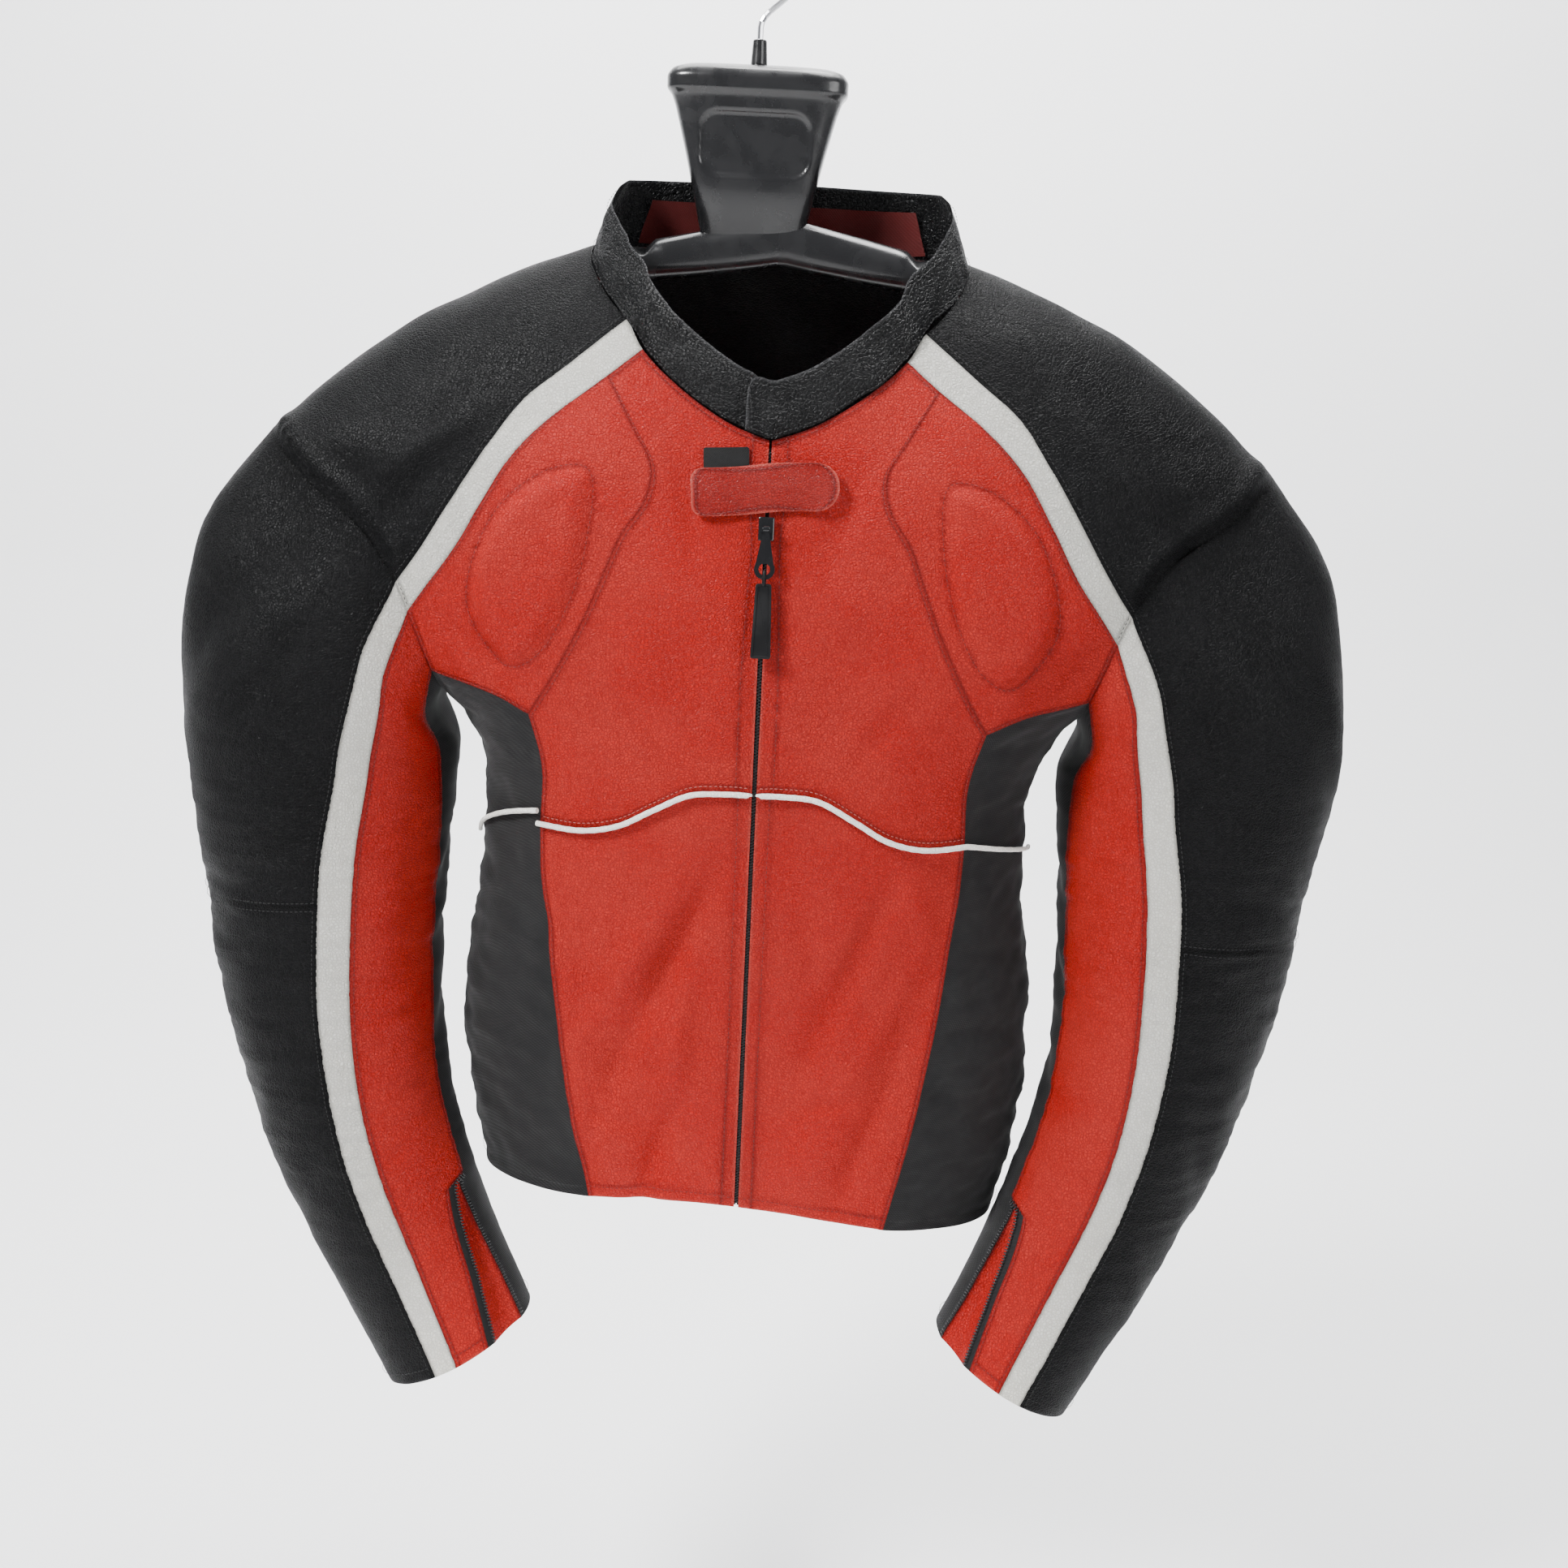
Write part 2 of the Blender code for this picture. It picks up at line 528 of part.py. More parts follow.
def build_fronts(seams, side, tag, collection):
    """Front panels, chest side panel, shoulder stripe, shoulder and side panel of one half."""
    arm = ARM_PHI
    flip = list(reversed(seams["edge_low"]))
    zip_angle = seams["zip"]
    centre_low = [(zip_angle, level(HEM, 0.0) + (PIPING[0].z - level(HEM, 0.0)) * i / N_EDGE_LOW)
                  for i in range(N_EDGE_LOW + 1)]
    trunk_wall("front_lower_" + tag, coons(seams["hem_front"], seams["piping"], centre_low, flip),
               RED, collection, side)

    right = join(list(reversed(seams["edge_high"])), list(reversed(seams["princess"])),
                 list(reversed(seams["stripe_head"])))
    steps = len(right) - 1
    top = neck_spots(zip_angle, NECK_STRIPE_IN, N_ACROSS)
    centre_high = [(zip_angle, PIPING[0].z + (top[0][1] - PIPING[0].z) * i / steps)
                   for i in range(steps + 1)]
    trunk_wall("front_upper_" + tag, coons(seams["piping"], top, centre_high, right),
               RED, collection, side)

    princess_up = list(reversed(seams["princess"]))
    head = seams["stripe_rest"][:2]
    cut = [(head[0][0] + (head[1][0] - head[0][0]) * i / N_FLOOR,
            head[0][1] + (head[1][1] - head[0][1]) * i / N_FLOOR) for i in range(N_FLOOR + 1)]
    outer_up = join(armhole_run(arm["red_in"], arm["stripe_in"], N_ARM_CHEST + 1),
                    list(reversed(seams["stripe_rest"][1:])))
    trunk_wall("chest_side_" + tag, coons(seams["floor"], cut, princess_up, outer_up),
               RED, collection, side)

    stripe_in = join(seams["stripe_head"], seams["stripe_rest"])
    trunk_wall("stripe_shoulder_" + tag,
               coons(stripe_in, seams["stripe_out"], neck_spots(NECK_STRIPE_IN, NECK_STRIPE_OUT, N_STRIPE),
                     armhole_run(arm["stripe_in"], arm["stripe_out"], N_STRIPE)),
               WHITE, collection, side)

    over_top = armhole_run(arm["stripe_out"], arm["back"] - 360.0, N_ARM_TOP)
    trunk_wall("shoulder_" + tag,
               coons(seams["stripe_out"], seams["back_seam"],
                     neck_spots(NECK_STRIPE_OUT, NECK_BACK_SEAM, N_ARM_TOP), over_top),
               BLACK, collection, side)

    under = join(seams["floor"], armhole_run(arm["red_in"], arm["side"], N_ARM_SIDE))
    front_up = join(list(reversed(seams["edge_low"])), list(reversed(seams["edge_high"])))
    trunk_wall("side_panel_" + tag,
               coons(seams["hem_side"], under, front_up, list(reversed(seams["side"]))),
               STRETCH, collection, side)


def build_back(seams, collection):
    """Back in one piece between the side seams."""
    full = 2 * math.pi

    def other(run):
        return [(full - angle, z) for angle, z in reversed(run)]

    side_up = join(list(reversed(seams["side"])),
                   armhole_run(ARM_PHI["side"], ARM_PHI["under"], N_ARM_UNDER),
                   armhole_run(ARM_PHI["under"], ARM_PHI["back"], N_ARM_BACK),
                   list(reversed(seams["back_seam"])))
    neck = neck_spots(NECK_BACK_SEAM, math.pi, N_NECK_BACK)
    top = join(neck, other(neck))
    count = len(top) - 1
    low = []
    for i in range(count + 1):
        angle = SIDE_SEAM_HEM + (full - 2 * SIDE_SEAM_HEM) * i / count
        low.append((angle, level(HEM, angle if angle <= math.pi else full - angle)))
    rows = coons(low, top, side_up, [(full - angle, z) for angle, z in side_up])
    trunk_wall("back", rows, BLACK, collection, 1)


def sleeve_section(s, phi):
    """Point on the sleeve's own sections."""
    x, y, z, tilt, half_width, half_depth = read_table(SLEEVE, s)
    tilt = math.radians(tilt)
    turn = math.radians(phi)
    outward = Vector((math.cos(tilt), 0.0, math.sin(tilt)))
    reach = outward * half_width * math.cos(turn) + Vector((0.0, -1.0, 0.0)) * half_depth * math.sin(turn)
    return Vector((x, y, z)) + reach


def sleeve_point(s, phi):
    """Point on the sleeve, which starts as the armhole loop and eases into its sections."""
    point = sleeve_section(s, phi)
    if s < SLEEVE_BLEND:
        t = s / SLEEVE_BLEND
        start = trunk_bare(*armhole(phi))
        point += (start - sleeve_section(0.0, phi)) * (1 - t * t * (3 - 2 * t))
    return point


def sleeve_frame(s, phi):
    """Point and outward normal of the sleeve; at the armhole the normal is the trunk's."""
    point = sleeve_point(s, phi)
    if s == 0.0:
        return point, bare_normal(*armhole(phi))
    ahead = min(s + 0.01, 1.0)
    along = sleeve_point(ahead, phi) - sleeve_point(ahead - 0.02, phi)
    around = sleeve_point(s, phi + 2) - sleeve_point(s, phi - 2)
    normal = along.cross(around).normalized()
    centre = Vector(read_table(SLEEVE, s)[:3])
    return point, (normal if normal.dot(point - centre) > 0 else -normal)


def sleeve_wall(name, rows, start, end, shares, finish, collection, side, lift=0.0, **options):
    """Wall on the sleeve between two seams; shares place the columns between them."""
    points = []
    normals = []
    names = Seams._fields[1:]
    for s in rows:
        at = dict(zip(names, read_table(SLEEVE_SEAMS, s)), back=SLEEVE_BACK_SEAM,
                  back_round=SLEEVE_BACK_SEAM - 360.0)
        frames = [sleeve_frame(s, at[start] + (at[end] - at[start]) * share) for share in shares]
        points.append([p + n * lift for p, n in frames])
        normals.append([n for _, n in frames])
    return make_wall(name, points, normals, finish, collection, side=side, **options)


def even(count):
    """Equal shares from 0 to 1."""
    return [i / count for i in range(count + 1)]


def shares_through(start, middle, end, first, second):
    """Shares between two angles, even on each side of a third."""
    turn = (middle - start) / (end - start)
    return [turn * share for share in even(first)] + [turn + (1 - turn) * share for share in even(second)[1:]]


def build_sleeve(side, tag, collection):
    """All pieces of one sleeve."""
    arm = ARM_PHI
    outer = shares_through(arm["stripe_out"], arm["back"] - 360, arm["under"] - 360, N_ARM_TOP, N_ARM_BACK)
    inner = shares_through(arm["red_in"], arm["side"], arm["under"], N_ARM_SIDE, N_ARM_UNDER)
    upper_rows = SLEEVE_ROWS[:ELBOW_ROW + 1]
    lower_rows = SLEEVE_ROWS[ELBOW_ROW:]
    cuff_rows = SLEEVE_ROWS[CUFF_ROW:]
    sleeve_wall("sleeve_upper_" + tag, upper_rows, "stripe_out", "back_round", outer, BLACK, collection, side)
    sleeve_wall("forearm_" + tag, lower_rows, "stripe_out", "back_round", outer, BLACK, collection, side)
    sleeve_wall("sleeve_stripe_" + tag, SLEEVE_ROWS, "stripe_in", "stripe_out", even(N_STRIPE),
                WHITE, collection, side)
    sleeve_wall("sleeve_front_" + tag, SLEEVE_ROWS, "red_in", "stripe_in", even(N_ARM_CHEST + 1),
                RED, collection, side)
    sleeve_wall("sleeve_under_" + tag, SLEEVE_ROWS, "under", "back", inner, STRETCH, collection, side)
    sleeve_wall("cuff_tape_front_" + tag, cuff_rows, "gusset_front", "red_in", even(1),
                TAPE, collection, side)
    sleeve_wall("cuff_gusset_" + tag, cuff_rows, "gusset_back", "gusset_front", even(3),
                RED, collection, side)
    sleeve_wall("cuff_tape_back_" + tag, cuff_rows, "under", "gusset_back", even(1),
                TAPE, collection, side)


def build_collar(collection):
    """Stand collar around the neck seam; its viewer's right end laps over the other."""
    points = []
    normals = []
    start = -COLLAR_OVERLAP
    end = 2 * math.pi - COLLAR_END_GAP
    angles = [start + (end - start) * i / COLLAR_COLUMNS for i in range(COLLAR_COLUMNS + 1)]
    frames = []
    for angle in angles:
        wrapped = angle if angle <= math.pi else angle - 2 * math.pi
        spot, _ = trunk(wrapped, level(NECK, wrapped))
        outward = Vector((spot.x, spot.y + COLLAR_EYE, 0.0)).normalized()
        backness = 0.5 - 0.5 * math.cos(wrapped)
        height = COLLAR_FRONT + (COLLAR_BACK - COLLAR_FRONT) * backness
        lap = max(0.0, 1.0 - max(angle + COLLAR_OVERLAP, 0.0) / COLLAR_LAP)
        lean_in = COLLAR_LEAN_ENDS + (COLLAR_LEAN_SIDES - COLLAR_LEAN_ENDS) * abs(math.sin(wrapped))
        rise = Vector((0.0, 0.0, 1.0)) - outward * lean_in
        base = spot + outward * COLLAR_LIFT * lap + Vector((0.0, 0.0, WALL / 2 + 2 * LIE_GAP + COLLAR_SEAT))
        frames.append((base, rise.normalized() * height, outward))
    for j in range(COLLAR_ROWS + 1):
        points.append([base + rise * j / COLLAR_ROWS for base, rise, _ in frames])
        normals.append([outward for _, _, outward in frames])
    return make_wall("collar", points, normals, BLACK, collection)


def front_patch(name, spec, finish, collection, lift, columns, rows, roundness):
    """Flat strap or patch lying on the fronts, with rounded ends."""
    lean = math.radians(spec["lean"])
    points = []
    normals = []
    for j in range(rows + 1):
        v = 2 * j / rows - 1
        row_points = []
        row_normals = []
        for i in range(columns + 1):
            u = 2 * i / columns - 1
            tuck = 1 - roundness * (1 - math.sqrt(max(1 - v * v * 0.92, 0.0)))
            across = spec["half_length"] * u * tuck
            up = spec["half_height"] * v
            x = spec["x"] + across * math.cos(lean) - up * math.sin(lean)
            z = spec["z"] + across * math.sin(lean) + up * math.cos(lean)
            spot, normal = trunk(math.copysign(front_angle(x, z), x), z)
            row_points.append(spot + normal * lift)
            row_normals.append(normal)
        points.append(row_points)
        normals.append(row_normals)
    return make_wall(name, points, normals, finish, collection, thickness=spec["wall"], gap=0.0)


def build_zip_tapes(collection):
    """Black tape behind each front edge, from the neck seam to the hem."""
    top = level(NECK, 0.0) - 0.004
    low = level(HEM, 0.0) + 0.002
    count = 34
    for side, tag in ((-1, "left"), (1, "right")):
        rows = []
        for j in range(count + 1):
            z = low + (top - low) * j / count
            rows.append([(front_angle(x, z), z) for x in (0.0002, ZIP_TAPE_WIDTH / 2, ZIP_TAPE_WIDTH)])
        trunk_wall("zip_tape_" + tag, rows, TAPE, collection, side,
                   lift=-(WALL + ZIP_TAPE_WALL) / 2 - 2 * LIE_GAP, thickness=ZIP_TAPE_WALL, gap=0.0)


def build_piping(side, tag, collection):
    """Piping cord along the seam across the front and on over the side panel."""
    route = trace(PIPING, 10)
    spots = [(front_angle(max(p[0], ZIP_HALF_SLIT + PIPING_RADIUS), p[1]), p[1]) for p in route]
    last_angle, last_z = spots[-1]
    tail = 6
    for i in range(1, tail + 1):
        spots.append((last_angle + (PIPING_END - last_angle) * i / tail,
                      last_z + (PIPING_END_Z - last_z) * i / tail))
    curve = bpy.data.curves.new("piping_" + tag, "CURVE")
    curve.dimensions = "3D"
    curve.bevel_depth = PIPING_RADIUS
    curve.bevel_resolution = 1
    curve.use_fill_caps = True
    spline = curve.splines.new("POLY")
    spline.points.add(len(spots) - 1)
    for point, (angle, z) in zip(spline.points, spots):
        spot, normal = trunk(angle * side, z)
        centre = spot + normal * (WALL / 2 + LIE_GAP + PIPING_RADIUS + PIPING_SEAT)
        point.co = (centre.x + HANG_SHIFT, centre.y, centre.z, 1.0)
    curve.materials.append(make_material(WHITE))
    piece = bpy.data.objects.new("piping_" + tag, curve)
    collection.objects.link(piece)
    return piece


def join_solids(name, solids, finish, collection):
    """Boolean union of overlapping closed solids into one piece."""
    base = solids[0]
    for other in solids[1:]:
        union = base.modifiers.new("join", "BOOLEAN")
        union.operation = "UNION"
        union.solver = "EXACT"
        union.object = other
    bpy.context.view_layer.update()
    depsgraph = bpy.context.evaluated_depsgraph_get()
    mesh = bpy.data.meshes.new_from_object(base.evaluated_get(depsgraph))
    mesh.transform(base.matrix_world)
    for solid in solids:
        bpy.data.objects.remove(solid)
    mesh.name = name
    mesh.materials.clear()
    mesh.materials.append(make_material(finish))
    mesh.shade_smooth()
    mesh.set_sharp_from_angle(angle=math.radians(35))
    piece = bpy.data.objects.new(name, mesh)
    collection.objects.link(piece)
    return piece


def rough_block(name, size, centre, bevel, collection):
    """Box with bevelled edges, used in a union."""
    bm = bmesh.new()
    bmesh.ops.create_cube(bm, size=1.0)
    bmesh.ops.scale(bm, vec=size, verts=bm.verts[:])
    if bevel > 0:
        bmesh.ops.bevel(bm, geom=bm.edges[:], offset=bevel, segments=2, profile=0.5,
                        affect="EDGES", material=-1)
    bmesh.ops.translate(bm, vec=centre, verts=bm.verts[:])
    return place_mesh(name, bm, METAL, collection)


def rough_rod(name, radius, length, centre, axis, sides, collection):
    """Cylinder with its axis along X or Y, used in a union."""
    bm = bmesh.new()
    bmesh.ops.create_cone(bm, cap_ends=True, segments=sides, radius1=radius, radius2=radius, depth=length)
    about = Matrix.Rotation(math.pi / 2, 3, "Y" if axis == "X" else "X")
    bmesh.ops.rotate(bm, cent=(0.0, 0.0, 0.0), matrix=about, verts=bm.verts[:])
    bmesh.ops.translate(bm, vec=centre, verts=bm.verts[:])
    return place_mesh(name, bm, METAL, collection)


def pull_frame():
    """Pivot of the puller, in front of the chest."""
    spot, _ = trunk(0.0, SLIDER_Z)
    stand_off = WALL / 2 + 2 * LIE_GAP + SLIDER["depth"] + BARREL["outer"] + BARREL["gap"]
    return Vector((HANG_SHIFT, spot.y - stand_off, SLIDER_Z))


def set_on_pull(piece, pivot):
    """Places a piece drawn about the pivot, leaning with the chest."""
    piece.rotation_euler = (-PULL_LEAN, 0.0, 0.0)
    piece.location = pivot


def build_slider(collection):
    """Slider body with two ears and the pin between them."""
    pivot = pull_frame()
    body_y = BARREL["outer"] + BARREL["gap"] + SLIDER["depth"] / 2
    body = rough_block("slider_body", (SLIDER["width"], SLIDER["depth"], SLIDER["height"]),
                       (0.0, body_y, 0.0), 0.0008, collection)
    ear_x = BARREL["half_width"] + EAR["gap"] + EAR["thick"] / 2
    parts = [body]
    for sign in (-1, 1):
        parts.append(rough_block("slider_ear", (EAR["thick"], EAR["reach"] + 0.0014, EAR["height"]),
                                 (sign * ear_x, 0.0006, 0.0), 0.0, collection))
    parts.append(rough_rod("slider_pin", PIN_RADIUS, 2 * ear_x, (0.0, 0.0, 0.0), "X", 12, collection))
    for part in parts:
        set_on_pull(part, pivot)
    return join_solids("zip_slider", parts, METAL, collection)


def outline_plate(name, outline, hole, thick, collection):
    """Flat plate with a round hole, from a filled 2D curve."""
    curve = bpy.data.curves.new(name, "CURVE")
    curve.dimensions = "2D"
    curve.fill_mode = "BOTH"
    curve.extrude = thick / 2
    for points in (outline, hole):
        spline = curve.splines.new("POLY")
        spline.points.add(len(points) - 1)
        spline.use_cyclic_u = True
        for point, (x, y) in zip(spline.points, points):
            point.co = (x, y, 0.0, 1.0)
    drawn = bpy.data.objects.new(name, curve)
    collection.objects.link(drawn)
    bpy.context.view_layer.update()
    mesh = bpy.data.meshes.new_from_object(drawn.evaluated_get(bpy.context.evaluated_depsgraph_get()))
    bpy.data.objects.remove(drawn)
    bm = bmesh.new()
    bm.from_mesh(mesh)
    bmesh.ops.remove_doubles(bm, verts=bm.verts[:], dist=0.00001)
    face_out(bm)
    upright = Matrix.Rotation(math.pi / 2, 3, "X")
    bmesh.ops.rotate(bm, cent=(0.0, 0.0, 0.0), matrix=upright, verts=bm.verts[:])
    return place_mesh(name, bm, METAL, collection)


def arc(centre, radius, start, end, count):
    """Points on an arc, in degrees."""
    points = []
    for i in range(count + 1):
        turn = math.radians(start + (end - start) * i / count)
        points.append((centre[0] + radius * math.cos(turn), centre[1] + radius * math.sin(turn)))
    return points


def build_puller(collection):
    """Teardrop puller: a barrel around the pin, a narrow neck and an eye."""
    pivot = pull_frame()
    eye = (0.0, -PULLER["eye_drop"])
    outline = ([(PULLER["neck"], -BARREL["outer"] * 0.75)] + [(-PULLER["neck"], -BARREL["outer"] * 0.75)]
               + arc(eye, PULLER["eye_radius"], 150, 390, 22))
    hole = arc(eye, PULLER["hole"], 0, 345, 15)
    plate = outline_plate("puller_plate", outline, hole, PULLER["thick"], collection)
    barrel = rough_rod("puller_barrel", BARREL["outer"], 2 * BARREL["half_width"], (0.0, 0.0, 0.0),
                       "X", 16, collection)
    bore = rough_rod("puller_bore", BARREL["inner"], 3 * BARREL["half_width"], (0.0, 0.0, 0.0),
                     "X", 16, collection)
    for part in (plate, barrel, bore):
        set_on_pull(part, pivot)
    joined = join_solids("puller_joined", [barrel, plate], METAL, collection)
    cut = joined.modifiers.new("bore", "BOOLEAN")
    cut.operation = "DIFFERENCE"
    cut.solver = "EXACT"
    cut.object = bore
    bpy.context.view_layer.update()
    mesh = bpy.data.meshes.new_from_object(joined.evaluated_get(bpy.context.evaluated_depsgraph_get()))
    bpy.data.objects.remove(joined)
    bpy.data.objects.remove(bore)
    mesh.name = "puller"
    piece = bpy.data.objects.new("puller", mesh)
    collection.objects.link(piece)
    return piece


def build_pull_tab(collection):
    """Rubber pull: two cheeks either side of the eye, a pin through it and a flat grip below."""
    pivot = pull_frame()
    eye_z = -PULLER["eye_drop"]
    cheek_y = PULLER["thick"] / 2 + RUBBER["gap"] + RUBBER["cheek"] / 2
    full = PULLER["thick"] + 2 * RUBBER["gap"] + 2 * RUBBER["cheek"]
    parts = []
    for sign in (-1, 1):
        parts.append(rough_block("tab_cheek", (2 * RUBBER["pin"] + 0.0016, RUBBER["cheek"], 0.0160),
                                 (0.0, sign * cheek_y, eye_z - 0.0050), 0.0, collection))
    parts.append(rough_rod("tab_pin", RUBBER["pin"], full - 0.0006, (0.0, 0.0, eye_z), "Y", 16, collection))
    top = eye_z - PULLER["eye_radius"] - RUBBER["gap"] - 0.0004
    bottom = eye_z - 0.0034 - RUBBER["length"]
    bm = bmesh.new()
    bmesh.ops.create_cube(bm, size=1.0)
    bmesh.ops.scale(bm, vec=(1.0, full, top - bottom), verts=bm.verts[:])
    bmesh.ops.translate(bm, vec=(0.0, 0.0, (top + bottom) / 2), verts=bm.verts[:])
    for v in bm.verts:
        v.co.x *= 2 * (RUBBER["top"] if v.co.z > (top + bottom) / 2 else RUBBER["bottom"])
    bmesh.ops.bevel(bm, geom=bm.edges[:], offset=0.0009, segments=2, profile=0.5, affect="EDGES", material=-1)
    parts.insert(0, place_mesh("tab_grip", bm, RUBBER_FINISH, collection))
    for part in parts:
        set_on_pull(part, pivot)
    return join_solids("pull_tab", parts, RUBBER_FINISH, collection)


def ring_loft(name, rings, finish, collection):
    """Closed body through rings of equal count, capped at both ends."""
    bm = bmesh.new()
    loops = [[bm.verts.new(point) for point in ring] for ring in rings]
    count = len(loops[0])
    for low, high in zip(loops, loops[1:]):
        for i in range(count):
            bm.faces.new((low[i], low[(i + 1) % count], high[(i + 1) % count], high[i]))
    bm.faces.new(loops[0])
    bm.faces.new(loops[-1])
    face_out(bm)
    return place_mesh(name, bm, finish, collection)


def shoulder_height(x, y):
    """Height of the trunk's surface above a place under the shoulders."""
    low, high = TRUNK[11].z, TRUNK[-1].z
    for _ in range(40):
        middle = (low + high) / 2
        half_width, front, back, exponent = read_table(TRUNK, middle)
        depth = front if y < 0 else back
        inside = abs(x / half_width) ** exponent + abs(y / depth) ** exponent < 1
        low, high = (middle, high) if inside else (low, middle)
    return low


def build_hanger(collection):
    """Hanger body: two broad arms under the shoulders, and the boxy head above them."""
    sides = [Arm(-arm.x, arm.half_depth, arm.half_height) for arm in reversed(ARMS[1:])] + list(ARMS)
    rings = []
    for arm in sides:
        reach = max(abs(arm.x), ARM_NECK)
        top = shoulder_height(reach, 0.0) - WALL / 2 - ARM_CLEAR
        top += (ARM_ROOT_Z - top) * max(0.0, 1 - abs(arm.x) / ARM_NECK)
        ring = []
        for i in range(ARM_SIDES):
            turn = 2 * math.pi * i / ARM_SIDES
            y = arm.half_depth * power(math.cos(turn), 0.8)
            z = top - arm.half_height + arm.half_height * power(math.sin(turn), 0.8)
            if abs(arm.x) > ARM_FREE * ARM_NECK:
                z = min(z, shoulder_height(reach, y) - WALL / 2 - ARM_CLEAR)
            ring.append((arm.x + HANG_SHIFT, y, z))
        rings.append(ring)
    arms = ring_loft("hanger_arms", rings, PLASTIC, collection)
    rings = []
    for head in HEAD:
        ring = []
        for i in range(HEAD_SIDES):
            turn = 2 * math.pi * (i + 0.5) / HEAD_SIDES
            ring.append((head.half_width * power(math.cos(turn), 2 / HEAD_POWER),
                         head.half_depth * power(math.sin(turn), 2 / HEAD_POWER), head.z))
        rings.append(ring)
    head = ring_loft("hanger_head", rings, PLASTIC, collection)
    return join_solids("hanger", [head, arms], PLASTIC, collection)


def build_ferrule(collection):
    """Collar of the hook on top of the head."""
    bm = bmesh.new()
    height = FERRULE["top"] - FERRULE["bottom"]
    bmesh.ops.create_cone(bm, cap_ends=True, segments=24, radius1=FERRULE["radius"] * 1.1,
                          radius2=FERRULE["radius"] * 0.9, depth=height)
    ends = [e for e in bm.edges if len([f for f in e.link_faces if len(f.verts) > 4]) == 1]
    bmesh.ops.bevel(bm, geom=ends, offset=0.0010, segments=2, profile=0.5, affect="EDGES", material=-1)
    bmesh.ops.translate(bm, vec=(0.0, 0.0, (FERRULE["top"] + FERRULE["bottom"]) / 2), verts=bm.verts[:])
    return place_mesh("hook_ferrule", bm, PLASTIC, collection)


def build_hook(collection):
    """Wire hook: a stem that swings out to one side and turns over the top."""
    radius = HOOK["radius"]
    centre_z = HOOK["wire"] - radius
    low = (Vector((0.0, 0.0, HOOK["stem_bottom"])), Vector((0.0, 0.0, HOOK["stem_top"])))
    points = list(low)
    join_turn = math.radians(-28)
    join_point = Vector((radius * math.cos(join_turn), 0.0, centre_z + radius * math.sin(join_turn)))
    start = low[1]
    handle_a = start + Vector((0.0, 0.0, 0.010))
    handle_b = join_point - Vector((-math.sin(join_turn), 0.0, math.cos(join_turn))) * 0.012
    for i in range(1, 8):
        t = i / 8
        points.append(start * (1 - t) ** 3 + handle_a * 3 * t * (1 - t) ** 2
                      + handle_b * 3 * t * t * (1 - t) + join_point * t ** 3)
    for i in range(21):
        turn = join_turn + (math.radians(205) - join_turn) * i / 20
        points.append(Vector((radius * math.cos(turn), 0.0, centre_z + radius * math.sin(turn))))
    curve = bpy.data.curves.new("hook", "CURVE")
    curve.dimensions = "3D"
    curve.bevel_depth = HOOK["wire"]
    curve.bevel_resolution = 2
    curve.use_fill_caps = True
    spline = curve.splines.new("POLY")
    spline.points.add(len(points) - 1)
    for point, place in zip(spline.points, points):
        point.co = (*place, 1.0)
    curve.materials.append(make_material(CHROME))
    piece = bpy.data.objects.new("hook", curve)
    collection.objects.link(piece)
    return piece


def main():
    """Clears the scene and builds the jacket and its hanger."""
    for leftover in list(bpy.data.objects):
        bpy.data.objects.remove(leftover)
    collection = bpy.data.collections.new("leather_motorcycle_jacket")
    bpy.context.scene.collection.children.link(collection)
    seams = build_seams()
    for side, tag in ((-1, "left"), (1, "right")):
        build_fronts(seams, side, tag, collection)
        build_sleeve(side, tag, collection)
        build_piping(side, tag, collection)
    build_back(seams, collection)
    build_collar(collection)
    build_zip_tapes(collection)
    patch_lift = WALL / 2 + LIE_GAP + PATCH["wall"] / 2
    front_patch("tab_patch", PATCH, TAPE, collection, patch_lift, 5, 5, 0.0)
    tab_lift = WALL / 2 + 2 * LIE_GAP + PATCH["wall"] + TAB["wall"] / 2 + 0.0002
    front_patch("tab_strap", TAB, RED, collection, tab_lift, 14, 8, 0.30)
    build_slider(collection)
    build_puller(collection)
    build_pull_tab(collection)
    build_hanger(collection)
    build_ferrule(collection)
    build_hook(collection)


main()
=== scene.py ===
"""Leather motorcycle jacket on a broad plastic hanger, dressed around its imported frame.

Metres, +Z up, X to the viewer's right, the front faces -Y, and the origin is the rest point of the
hook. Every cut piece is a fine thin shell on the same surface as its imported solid, with its seams,
topstitching, pads and folds. The metal pulls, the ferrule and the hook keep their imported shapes.
"""
import logging
import math
from dataclasses import dataclass, field
from enum import Enum
from typing import Callable, Iterable, NamedTuple, Sequence

import bmesh
import bpy
import numpy as np
from mathutils import Matrix, Vector, noise


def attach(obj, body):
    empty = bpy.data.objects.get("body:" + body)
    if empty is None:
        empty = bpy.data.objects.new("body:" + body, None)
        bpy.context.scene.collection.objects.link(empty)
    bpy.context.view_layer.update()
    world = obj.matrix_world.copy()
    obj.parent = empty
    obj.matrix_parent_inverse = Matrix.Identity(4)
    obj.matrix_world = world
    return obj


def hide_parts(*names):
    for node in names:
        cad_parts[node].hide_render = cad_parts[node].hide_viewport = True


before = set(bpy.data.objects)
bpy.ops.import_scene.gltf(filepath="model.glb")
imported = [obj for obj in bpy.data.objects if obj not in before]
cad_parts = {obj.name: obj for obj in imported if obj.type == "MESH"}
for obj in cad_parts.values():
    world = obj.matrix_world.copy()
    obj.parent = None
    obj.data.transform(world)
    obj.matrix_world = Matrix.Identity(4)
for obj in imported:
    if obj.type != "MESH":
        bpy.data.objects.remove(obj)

LOG = logging.getLogger("jacket")
